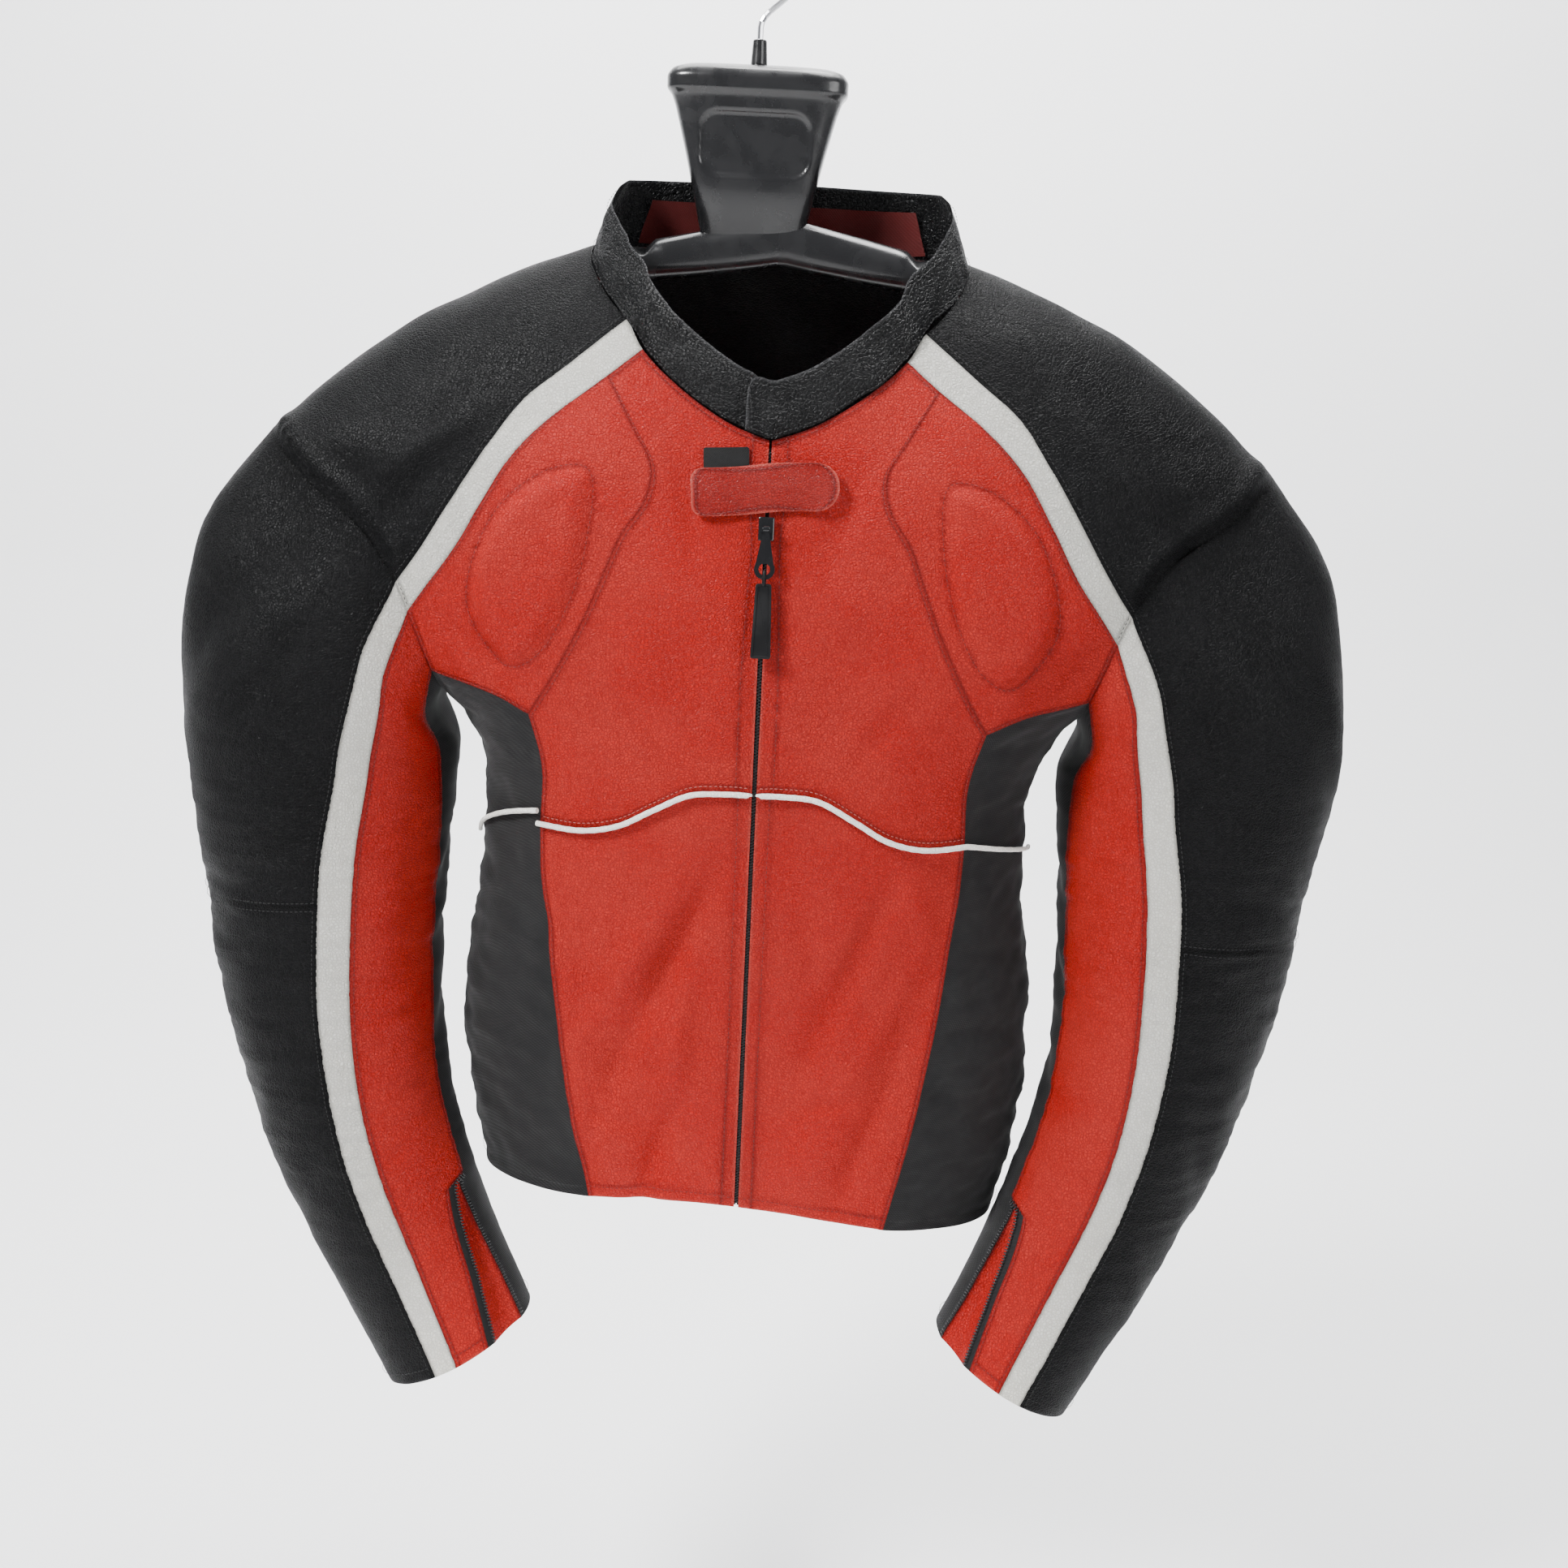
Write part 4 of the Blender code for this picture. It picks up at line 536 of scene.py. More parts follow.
@dataclass(frozen=True)
class Hard(Finish):
    """Metal, moulded plastic or rubber, with light handling marks.

    Attributes:
        roughness: middle roughness.
        metallic: share of metal.
        texture: scale of the moulded grain.
        depth: depth of the moulded grain.
        coat: weight of a clear coat.
        gloss: strength of its reflections.
    """

    roughness: float = 0.3
    metallic: float = 0.0
    texture: float = 900.0
    depth: float = 0.00003
    coat: float = 0.0
    gloss: float = 0.5

    def build(self, effects: Effects) -> bpy.types.Material:
        """The finished material."""
        material, graph, shader, place = self.start()
        mottle = graph.effect(effects.mottle, {"Vector": place, "Scale": 45.0})
        grain = graph.noise(place, self.texture, 3.0)
        lighter = tuple(min(1.0, 1.5 * c + 0.004) for c in self.colour)
        tone = graph.mix(graph.math("MULTIPLY", mottle.outputs["Mask"], 0.25), self.colour, lighter)
        graph.link(tone, shader.inputs["Base Color"])
        rough = graph.remap(mottle.outputs["Mask"], 0.0, 1.0, self.roughness * 0.85, self.roughness * 1.25)
        graph.link(rough, shader.inputs["Roughness"])
        shader.inputs["Metallic"].default_value = self.metallic
        shader.inputs["Coat Weight"].default_value = self.coat
        shader.inputs["Specular IOR Level"].default_value = self.gloss
        graph.bump(shader, grain, self.depth)
        return material


# Every leather paints shade into its grain valleys and sunk seams, and a highlight along its stitched turned
# edges.
RED = Leather("red_leather", "red_leather", (0.620, 0.0135, 0.0085), (0.330, 0.006, 0.004),
              (0.680, 0.050, 0.034), roughness=0.50, cells=500.0, grain=0.00042, gloss=0.30,
              edge_highlight_colour=(0.740, 0.160, 0.120))
WHITE = Leather("white_leather", "white_leather", (0.930, 0.915, 0.850), (0.660, 0.635, 0.570),
                (0.950, 0.940, 0.900), roughness=0.50, cells=500.0, grain=0.00036, creases=1.0,
                edge_highlight_colour=(0.950, 0.940, 0.900))
BLACK = Leather("black_leather", "black_leather", (0.0060, 0.0060, 0.0066), (0.0020, 0.0020, 0.0022),
                (0.0120, 0.0120, 0.0132), roughness=0.43, cells=480.0, grain=0.00044, gloss=0.19)
COLLAR_BLACK = Leather("collar_leather", "black_leather", (0.0068, 0.0068, 0.0073), (0.0020, 0.0020, 0.0022),
                       (0.0160, 0.0160, 0.0170), roughness=0.36, cells=400.0, grain=0.00064, creases=1.0,
                       gloss=0.36, edge_highlight_colour=(0.120, 0.120, 0.125))
STRAP_RED = Leather("strap_leather", "red_leather", (0.420, 0.014, 0.010), (0.180, 0.006, 0.005),
                    (0.500, 0.036, 0.026), roughness=0.44, cells=560.0, grain=0.00034, gloss=0.34,
                    edge_highlight_colour=(0.700, 0.130, 0.100))
STRETCH = Fabric("stretch_fabric", "stretch_fabric", (0.0055, 0.0055, 0.0060), (0.015, 0.015, 0.016), 300.0)
TAPE = Fabric("zip_tape_weave", "zip_tape", (0.0075, 0.0075, 0.0080), (0.020, 0.020, 0.022), 520.0, 0.00015)
HOOKS = Fabric("hook_and_loop", "zip_tape", (0.0030, 0.0030, 0.0033), (0.012, 0.012, 0.013), 700.0,
               0.0006, 0.1)
LINING = Fabric("neck_lining", "red_leather", (0.130, 0.008, 0.008), (0.200, 0.016, 0.014), 380.0)
RED_THREAD = Thread("red_thread", "red_leather", (0.210, 0.010, 0.009))
PALE_THREAD = Thread("pale_red_thread", "red_leather", (0.580, 0.140, 0.120))
BLACK_THREAD = Thread("black_thread", "black_leather", (0.014, 0.014, 0.015))
METAL = Hard("black_metal", "black_metal", (0.007, 0.007, 0.008), roughness=0.20, metallic=0.20, coat=0.3,
             gloss=0.35)
TEETH = Hard("zip_teeth", "black_metal", (0.020, 0.020, 0.021), roughness=0.30, metallic=0.2)
RUBBER = Hard("pull_rubber", "pull_rubber", (0.0055, 0.0055, 0.0060), roughness=0.46, texture=1600.0,
              depth=0.00005, gloss=0.22)
PLASTIC = Hard("hanger_plastic", "hanger_plastic", (0.0075, 0.0075, 0.0082), roughness=0.27, texture=1300.0,
               depth=0.00005, coat=0.25)
CHROME = Hard("hook_chrome", "hook_chrome", (0.62, 0.62, 0.64), roughness=0.14, metallic=1.0, depth=0.00001)


class Wardrobe:
    """Makes each finish once."""

    def __init__(self) -> None:
        self.effects = Effects()
        self.made: dict[str, bpy.types.Material] = {}

    def material(self, finish: Finish) -> bpy.types.Material:
        """The material of a finish."""
        if finish.name not in self.made:
            self.made[finish.name] = finish.build(self.effects)
        return self.made[finish.name]


class SmoothTable:
    """Columns of numbers read smoothly between the rows by the first column."""

    def __init__(self, rows: Iterable[Sequence[float]]) -> None:
        data = np.array([tuple(row) for row in rows], float)
        self.keys = data[:, 0]
        self.values = data[:, 1:]
        steps = np.diff(self.values, axis=0) / np.diff(self.keys)[:, None]
        product = steps[:-1] * steps[1:]
        total = steps[:-1] + steps[1:]
        inner = np.where(product > 0, 2 * product / np.where(total == 0, 1.0, total), 0.0)
        self.slopes = np.vstack([steps[:1], inner, steps[-1:]])

    def __call__(self, at: Array | float) -> Array:
        """Values at places of the first column, one more dimension than the places."""
        at = np.clip(np.asarray(at, float), self.keys[0], self.keys[-1])
        k = np.clip(np.searchsorted(self.keys, at, side="right") - 1, 0, len(self.keys) - 2)
        span = (self.keys[k + 1] - self.keys[k])[..., None]
        t = (at - self.keys[k])[..., None] / span
        h01 = 3 * t ** 2 - 2 * t ** 3
        leaving = (t ** 3 - 2 * t ** 2 + t) * span * self.slopes[k]
        arriving = (t ** 3 - t ** 2) * span * self.slopes[k + 1]
        return (1 - h01) * self.values[k] + h01 * self.values[k + 1] + leaving + arriving


def unit(vectors: Array) -> Array:
    """Vectors at length 1."""
    return vectors / np.maximum(np.linalg.norm(vectors, axis=-1, keepdims=True), 1e-12)


def run_lengths(points: Array) -> Array:
    """Length along a line from its first point to each point."""
    return np.concatenate([[0.0], np.cumsum(np.linalg.norm(np.diff(points, axis=0), axis=1))])


def read_along(at: Array | float, lengths: Array, values: Array) -> Array:
    """Rows of values along a line, read at lengths from its start."""
    return np.stack([np.interp(at, lengths, column) for column in values.T], axis=-1)


def grid_lengths(points: Array) -> tuple[Array, Array]:
    """Lengths from a grid's first column and from its first row to each point."""
    across = np.cumsum(np.linalg.norm(np.diff(points, axis=1), axis=-1), axis=1)
    up = np.cumsum(np.linalg.norm(np.diff(points, axis=0), axis=-1), axis=0)
    return np.pad(across, ((0, 0), (1, 0))), np.pad(up, ((1, 0), (0, 0)))


def last_inside(start: Array, end: Array, inside: Callable[[Array], Array]) -> Array:
    """Last value on the way from start to end that is still inside."""
    for _ in range(36):
        middle = (start + end) / 2
        held = inside(middle)
        start, end = np.where(held, middle, start), np.where(held, end, middle)
    return start


def power(values: Array, exponent: Array | float) -> Array:
    """Signed power, so that a superellipse closes on both sides."""
    return np.sign(values) * np.abs(values) ** exponent


def smoothstep(values: Array, low: float, high: float) -> Array:
    """0 below low, 1 above high, smooth between them."""
    t = np.clip((values - low) / (high - low), 0.0, 1.0)
    return t * t * (3 - 2 * t)


def smooth_line(spots: Sequence[Sequence[float]], closed: bool = False) -> Run:
    """A smooth line through spots, read by its share of length.

    Args:
        spots: two numbers each.
        closed: whether it joins up.

    Returns:
        A function from shares to places.
    """
    points = [np.array(tuple(spot), float) for spot in spots]
    count = len(points)
    if closed:
        around = [points[(k + 1) % count] for k in range(count)]
        before = [points[k - 1] for k in range(count)]
        after = [points[(k + 2) % count] for k in range(count)]
    else:
        around = points[1:]
        before = [2 * points[0] - points[1]] + points[:-2]
        after = points[2:] + [2 * points[-1] - points[-2]]
    dense = []
    for p0, p1, p2, p3 in zip(before, points, around, after):
        for t in np.arange(12) / 12:
            dense.append(0.5 * (2 * p1 + (p2 - p0) * t + (2 * p0 - 5 * p1 + 4 * p2 - p3) * t ** 2
                                + (3 * p1 - p0 - 3 * p2 + p3) * t ** 3))
    dense.append(points[0] if closed else points[-1])
    line = np.array(dense)
    lengths = run_lengths(line)
    return lambda shares: read_along(np.asarray(shares, float) * lengths[-1], lengths, line)


def straight(start: Array, end: Array) -> Run:
    """Run that goes evenly from one place to another."""
    first, last = np.asarray(start, float), np.asarray(end, float)
    return lambda shares: first + (last - first) * np.asarray(shares, float)[..., None]


def backwards(run: Run) -> Run:
    """The same run from its other end."""
    return lambda shares: run(1 - np.asarray(shares, float))


def stretch_of(run: Run, start: float, end: float) -> Run:
    """Part of a run between two shares."""
    return lambda shares: run(start + (end - start) * np.asarray(shares, float))


def joined(*parts: tuple[Run, float]) -> Run:
    """One run from several, each with the weight of its share.

    Args:
        parts: runs and their weights in order.

    Returns:
        The joined run.
    """
    ends = np.cumsum([weight for _, weight in parts])
    ends = np.concatenate([[0.0], ends / ends[-1]])

    def read(shares: Array) -> Array:
        shares = np.asarray(shares, float)
        places = np.zeros((*shares.shape, 2))
        for k, (run, _) in enumerate(parts):
            inside = (shares >= ends[k]) & ((shares < ends[k + 1]) | (k == len(parts) - 1))
            places[inside] = run((shares[inside] - ends[k]) / (ends[k + 1] - ends[k]))
        return places

    return read


def breaks_of(*weights: float) -> tuple[float, ...]:
    """Shares at which the parts of a joined run meet."""
    total = sum(weights)
    return tuple(float(v) / total for v in np.cumsum(weights)[:-1])


def coons(low: Run, high: Run, left: Run, right: Run, across: Array, up: Array) -> Array:
    """Grid of places filling four runs: low and high run across, left and right run up."""
    u = across[None, :, None]
    v = up[:, None, None]
    a, b, c, d = low(across), high(across), left(up), right(up)
    sides = (1 - v) * a[None] + v * b[None] + (1 - u) * c[:, None] + u * d[:, None]
    corners = (1 - u) * (1 - v) * a[0] + u * (1 - v) * a[-1] + (1 - u) * v * b[0] + u * v * b[-1]
    return sides - corners


def graded_shares(length: float, pitch: float, breaks: Sequence[float] = ()) -> Array:
    """Shares of a length, close together near both ends, where the seams are.

    Args:
        length: the length in metres.
        pitch: spacing in the middle.
        breaks: shares that have to be among them.

    Returns:
        The shares in rising order.
    """
    near = [d for d in NEAR_SEAM if d < 0.34 * length]
    reach = near[-1]
    count = max(1, round((length - 2 * reach) / pitch))
    middle = [reach + (length - 2 * reach) * i / count for i in range(1, count)]
    shares = np.array(near + middle + [length - d for d in reversed(near)]) / length
    for value in breaks:
        shares[1 + int(np.argmin(np.abs(shares[1:-1] - value)))] = value
    return shares


def noise_field(points: Array, scale: Sequence[float], offset: float) -> Array:
    """Smooth noise at points, stretched by a scale on each axis."""
    flat = points.reshape(-1, 3) * np.asarray(scale, float) + offset
    values = np.array([noise.noise(Vector(p)) for p in flat.tolist()])
    return values.reshape(points.shape[:-1])


def border_distance(points: Array) -> Array:
    """Distance to the nearest border along a grid's own rows and columns."""
    across, up = grid_lengths(points)
    return np.minimum(np.minimum(across, across[:, -1:] - across), np.minimum(up, up[-1:] - up))


def line_fold(x: Array, y: Array, start: Sequence[float], end: Sequence[float], depth: float,
              width: float) -> Array:
    """Height of one soft fold along a line, deepest in its middle."""
    run = np.array((end[0] - start[0], end[1] - start[1]))
    t = np.clip(((x - start[0]) * run[0] + (y - start[1]) * run[1]) / (run @ run), 0.0, 1.0)
    away = np.hypot(x - start[0] - t * run[0], y - start[1] - t * run[1])
    return depth * np.sin(math.pi * (0.12 + 0.76 * t)) * np.exp(-(away / width) ** 2)


def hung(points: Array) -> Array:
    """Points of the trunk where they hang: aside from the hook, the hem lower on the viewer's right."""
    drop = HEM_TILT * np.tanh(points[..., 0] / HEM_TILT_REACH) * smoothstep(-points[..., 2], 0.50, 0.84)
    return points + np.stack([np.full(drop.shape, HANG_SHIFT), 0 * drop, -drop], axis=-1)


class PadOutline:
    """Stitched outline of one chest pad, with the rise inside it."""

    RISE = 0.0060
    SKIRT = 0.12
    SKIRT_REACH = 0.006
    SHOULDER = 0.013
    GROOVE = 0.0011
    GROOVE_WIDTH = 0.0016

    def __init__(self) -> None:
        self.run = smooth_line(PAD_OUTLINE, closed=True)
        self.line = self.run(np.linspace(0.0, 1.0, 181))[:-1]

    def distance(self, x: Array, z: Array) -> Array:
        """Distance to the outline, positive inside it."""
        flat_x, flat_z = x.ravel(), z.ravel()
        away = np.full(flat_x.shape, np.inf)
        inside = np.zeros(flat_x.shape, bool)
        for a, b in zip(self.line, np.roll(self.line, -1, axis=0)):
            away = np.minimum(away, np.hypot(flat_x - a[0], flat_z - a[1]))
            crosses = (a[1] > flat_z) != (b[1] > flat_z)
            if crosses.any():
                at = a[0] + (flat_z - a[1]) * (b[0] - a[0]) / (b[1] - a[1] if b[1] != a[1] else 1.0)
                inside ^= crosses & (flat_x < at)
        return np.where(inside, away, -away).reshape(x.shape)

    def rise(self, x: Array, z: Array) -> Array:
        """Rise of the padded leather at half widths and heights."""
        away = self.distance(x, z)
        skirt = self.SKIRT * smoothstep(away, -self.SKIRT_REACH, 0.0)
        swell = self.RISE * (skirt + (1 - self.SKIRT) * smoothstep(away, -0.001, self.SHOULDER))
        return swell - self.GROOVE * np.exp(-(away / self.GROOVE_WIDTH) ** 2)

    def mark(self, points: Array) -> Array:
        """Closeness of the front's points to the stitched outline, 0 to 1."""
        # The seam mask that this feeds paints shade along the outline's groove.
        away = self.distance(np.abs(points[..., 0]), points[..., 2])
        return 0.7 * np.exp(-(away / 0.0014) ** 2) * (points[..., 1] < 0)


class TrunkForm:
    """The hanging trunk's surface, by angle from the front and height."""

    def __init__(self) -> None:
        self.rings = SmoothTable(TRUNK)
        self.neck_table = SmoothTable(NECK)
        self.hem_table = SmoothTable(HEM)
        self.pad = PadOutline()

    def bare(self, places: Array) -> Array:
        """Points of the smooth surface."""
        angle, z = places[..., 0], places[..., 1]
        half_width, front, back, exponent = np.moveaxis(self.rings(z), -1, 0)
        depth = np.where(np.cos(angle) > 0, front, back)
        return np.stack([half_width * power(np.sin(angle), 2 / exponent),
                         -depth * power(np.cos(angle), 2 / exponent), z], axis=-1)

    def normals(self, places: Array) -> Array:
        """Outward normals of the smooth surface."""
        turn, climb = np.array((0.01, 0.0)), np.array((0.0, 0.002))
        along = self.bare(places + turn) - self.bare(places - turn)
        up = self.bare(places + climb) - self.bare(places - climb)
        normal = unit(np.cross(along, up))
        flat = np.stack([np.sin(places[..., 0]), -np.cos(places[..., 0]), 0 * places[..., 0]], axis=-1)
        return normal * np.where((normal * flat).sum(-1, keepdims=True) > 0, 1.0, -1.0)

    def mirrored(self, places: Array, side: Array | int) -> tuple[Array, Array]:
        """Points of the smooth surface and their outward normals, on the viewer's left for side -1."""
        points, normals = self.bare(places), self.normals(places)
        points[..., 0] *= side
        normals[..., 0] *= side
        return points, normals

    def holds(self, x: Array, y: Array, z: Array) -> Array:
        """Whether points lie inside the smooth surface."""
        half_width, front, back, exponent = np.moveaxis(self.rings(z), -1, 0)
        depth = np.where(y < 0, front, back)
        return np.abs(x / half_width) ** exponent + np.abs(y / depth) ** exponent < 1

    def front_places(self, x: Array, z: Array) -> Array:
        """Places on the front by half width and height."""
        return np.stack([self.angle_at(x, z), z], axis=-1)

    def angle_at(self, x: Array | float, z: Array | float) -> Array:
        """Angle of a place on the front."""
        half_width, _, _, exponent = np.moveaxis(self.rings(z), -1, 0)
        return np.arcsin(np.minimum(np.abs(x) / half_width, 1.0) ** (exponent / 2))

    def on_front(self, run: Run) -> Run:
        """Run of half width and height turned into angle and height."""
        def read(shares: Array) -> Array:
            spots = run(shares)
            return self.front_places(spots[..., 0], spots[..., 1])
        return read

    def neck(self, angle: Array | float) -> Array:
        """Height of the neck seam."""
        return self.neck_table(np.degrees(np.abs(angle)))[..., 0]

    def hem(self, angle: Array | float) -> Array:
        """Height of the hem."""
        return self.hem_table(np.degrees(np.abs(angle)))[..., 0]

    @staticmethod
    def level_run(height: Callable[[Array], Array], start: float, end: float) -> Run:
        """Run along the neck seam or the hem."""
        def read(shares: Array) -> Array:
            angle = start + (end - start) * np.asarray(shares, float)
            return np.stack([angle, height(angle)], axis=-1)
        return read

    def armhole(self, phi: Array | float) -> Array:
        """Places of the armhole loop at angles in degrees."""
        turn = np.radians(np.asarray(phi, float))
        outward = np.array((math.cos(ARM_TILT), 0.0, math.sin(ARM_TILT)))
        axis = np.array((math.sin(ARM_TILT), 0.0, -math.cos(ARM_TILT)))
        forward = np.array((0.0, -1.0, 0.0))
        bow = np.where(np.sin(turn) > 0, ARM_BOW_FRONT, ARM_BOW_BACK) * np.sin(turn) ** 2
        base = ARM_CENTRE - axis * bow[..., None]
        ray = outward * np.cos(turn)[..., None] + forward * np.sin(turn)[..., None]
        reach = last_inside(np.zeros(turn.shape), np.full(turn.shape, ARM_REACH),
                            lambda along: self.holds(*np.moveaxis(base + ray * along[..., None], -1, 0)))
        point = base + ray * reach[..., None]
        angle = self.angle_at(point[..., 0], point[..., 2])
        return np.stack([np.where(point[..., 1] <= 0, angle, math.pi - angle), point[..., 2]], axis=-1)

    def arm_run(self, start: float, end: float) -> Run:
        """Run along the armhole between two of its angles."""
        return lambda shares: self.armhole(start + (end - start) * np.asarray(shares, float))

    def relief(self, points: Array) -> Array:
        """Rise of pads, folds and the slow unevenness of hanging leather."""
        x, y, z = np.moveaxis(points, -1, 0)
        rise = np.where(y < 0, self.pad.rise(np.abs(x), z), 0.0)
        for folds, shown in ((FRONT_FOLDS, y < 0), (BACK_FOLDS, y > 0)):
            for fold in folds:
                height = line_fold(x, z, (fold.x0, fold.z0), (fold.x1, fold.z1), fold.depth, fold.width)
                rise = rise + np.where(shown, height, 0.0)
        return rise + slow_unevenness(points)


def slow_unevenness(points: Array) -> Array:
    """Slow lumps and shallow dents that hanging leather keeps."""
    broad = noise_field(points, (13.0, 13.0, 9.0), 3.7)
    middle = noise_field(points, (34.0, 34.0, 24.0), 11.2)
    return 0.0024 * broad + 0.0009 * middle


class SleeveForm:
    """The hanging sleeve's surface, by its share of length and angle."""

    def __init__(self, trunk: TrunkForm) -> None:
        self.trunk = trunk
        self.sections = SmoothTable(SLEEVE)
        self.seams = SmoothTable(SLEEVE_SEAMS)

    def seam_angle(self, name: str, s: Array) -> Array:
        """Angle of a seam at shares of the length."""
        if name == "back":
            return np.full(np.shape(s), SLEEVE_BACK_SEAM)
        if name == "back_round":
            return np.full(np.shape(s), SLEEVE_BACK_SEAM - 360.0)
        return self.seams(s)[..., Seams._fields.index(name) - 1]

    def section(self, s: Array, phi: Array) -> Array:
        """Points on the sleeve's own sections."""
        x, y, z, tilt, half_width, half_depth = np.moveaxis(self.sections(s), -1, 0)
        tilt, turn = np.radians(tilt), np.radians(phi)
        across = half_width * np.cos(turn)
        return np.stack([x + np.cos(tilt) * across, y - half_depth * np.sin(turn), z + np.sin(tilt) * across],
                        axis=-1)

    def point(self, s: Array, phi: Array) -> Array:
        """Points on the sleeve, which starts as the armhole loop and eases into its sections."""
        s = np.clip(s, 0.0, 1.0)
        t = np.clip(s / SLEEVE_BLEND, 0.0, 1.0)
        start = self.trunk.bare(self.trunk.armhole(phi)) - self.section(0 * s, phi)
        return self.section(s, phi) + start * (1 - t * t * (3 - 2 * t))[..., None]

    def normals(self, s: Array, phi: Array) -> Array:
        """Outward normals; at the armhole they are the trunk's."""
        ahead = np.minimum(s + 0.01, 1.0)
        along = self.point(ahead, phi) - self.point(ahead - 0.02, phi)
        around = self.point(s, phi + 2) - self.point(s, phi - 2)
        normal = unit(np.cross(along, around))
        outward = self.point(s, phi) - self.sections(s)[..., :3]
        normal = normal * np.where((normal * outward).sum(-1, keepdims=True) > 0, 1.0, -1.0)
        near = (1 - smoothstep(s, 0.0, 0.03))[..., None]
        return unit(self.trunk.normals(self.trunk.armhole(phi)) * near + normal * (1 - near))

    @staticmethod
    def relief(s: Array, phi: Array, points: Array, side: int) -> Array:
        """Rise of the sleeve's folds, its elbow wrinkles and its slow unevenness."""
        along, around = s * SLEEVE_LENGTH, np.radians(phi) * SLEEVE_RADIUS
        rise = np.zeros(s.shape)
        for fold in SLEEVE_FOLDS:
            if fold.side == side:
                start = (fold.s0 * SLEEVE_LENGTH, math.radians(fold.phi0) * SLEEVE_RADIUS)
                end = (fold.s1 * SLEEVE_LENGTH, math.radians(fold.phi1) * SLEEVE_RADIUS)
                rise = rise + line_fold(along, around, start, end, fold.depth, fold.width)
        bent = smoothstep(s, 0.16, 0.36) * (1 - smoothstep(s, 0.68, 0.90))
        wrinkles = noise_field(points, (26.0, 26.0, 135.0), 5.1 + side)
        rise = rise + (0.00095 * bent + 0.00035) * wrinkles * smoothstep(s, 0.0, 0.05)
        return rise + slow_unevenness(points)


class EdgeKind(Enum):
    """How a border of a panel ends."""

    SEAM = "sewn to its neighbour"
    FREE = "turned and left free"


@dataclass(frozen=True)
class Border:
    """One border of a panel.

    Attributes:
        kind: sewn or free.
        stitches: distances of its topstitch rows.
        thread: finish of the thread, or None for the panel's own.
        bead: height of the turned edge.
        edge_highlight: strength of the painted highlight along that edge, 0 to 1.
    """

    kind: EdgeKind = EdgeKind.SEAM
    stitches: tuple[float, ...] = ()
    thread: Thread | None = None
    bead: float = 0.0008
    edge_highlight: float = 0.35


PLAIN = Border()
TURNED = Border(EdgeKind.FREE)
SIDES = ("low", "high", "left", "right")


def seamed(*stitches: float, thread: Thread | None = None) -> Border:
    """Sewn border with topstitch rows."""
    return Border(EdgeKind.SEAM, stitches, thread)


def turned(*stitches: float, thread: Thread | None = None, bead: float = 0.0008,
           edge_highlight: float = 0.35) -> Border:
    """Free border with topstitch rows."""
    return Border(EdgeKind.FREE, stitches, thread, bead, edge_highlight)


class StitchWork:
    """Collects the sewn stitches and makes one piece for each thread."""

    LENGTH = 0.0023
    PITCH = 0.0033
    RADIUS = 0.00030

    def __init__(self, wardrobe: Wardrobe) -> None:
        self.wardrobe = wardrobe
        self.works: dict[str, tuple[Thread, bmesh.types.BMesh]] = {}

    def row(self, points: Array, normals: Array, thread: Thread, trim: float = 0.0015) -> None:
        """Sews a row of stitches along a line that lies on a surface.

        Args:
            points: the line's points.
            normals: the surface's normals there.
            thread: finish of the thread.
            trim: length left bare at both ends.
        """
        lengths = run_lengths(points)
        count = int((lengths[-1] - 2 * trim) / self.PITCH)
        if count < 1:
            return
        sewn = bmesh.new()
        start = (lengths[-1] - count * self.PITCH) / 2
        ends = start + self.PITCH * (np.arange(count)[:, None] + 0.5) + np.array((-0.5, 0.5)) * self.LENGTH
        places = read_along(ends, lengths, points)
        ups = unit(read_along(ends.mean(axis=1), lengths, normals))
        for (a, b), up in zip(places, ups):
            along = Vector(b - a)
            if along.length < 0.3 * self.LENGTH:
                continue
            third = Vector(up)
            across = third.cross(along).normalized()
            third = along.normalized().cross(across)
            centre = (Vector(a) + Vector(b)) / 2 + third * self.RADIUS * 0.2
            size = Matrix.Diagonal((self.LENGTH / 2, self.RADIUS, self.RADIUS * 0.9, 1.0))
            matrix = carried(centre, along.normalized(), across, third) @ size @ POLES_ALONG
            bmesh.ops.create_uvsphere(sewn, u_segments=6, v_segments=4, radius=1.0, matrix=matrix)
        mesh = bpy.data.meshes.new("sewn_row")
        sewn.to_mesh(mesh)
        sewn.free()
        self.works.setdefault(thread.name, (thread, bmesh.new()))[1].from_mesh(mesh)
        bpy.data.meshes.remove(mesh)

    def finish(self) -> list[bpy.types.Object]:
        """Makes the pieces of thread."""
        pieces = []
        for name, (thread, bm) in sorted(self.works.items()):
            pieces.append(piece_from(f"stitches_{name}", bm, self.wardrobe.material(thread), 180.0))
            settle(pieces[-1], GARMENT, thread.slot)
        return pieces


POLES_ALONG = Matrix.Rotation(math.pi / 2, 4, "Y")


def carried(place: Vector, *axes: Vector) -> Matrix:
    """Matrix that carries a form's own axes to the given ones, at a place."""
    return Matrix.Translation(place) @ Matrix(axes).transposed().to_4x4()


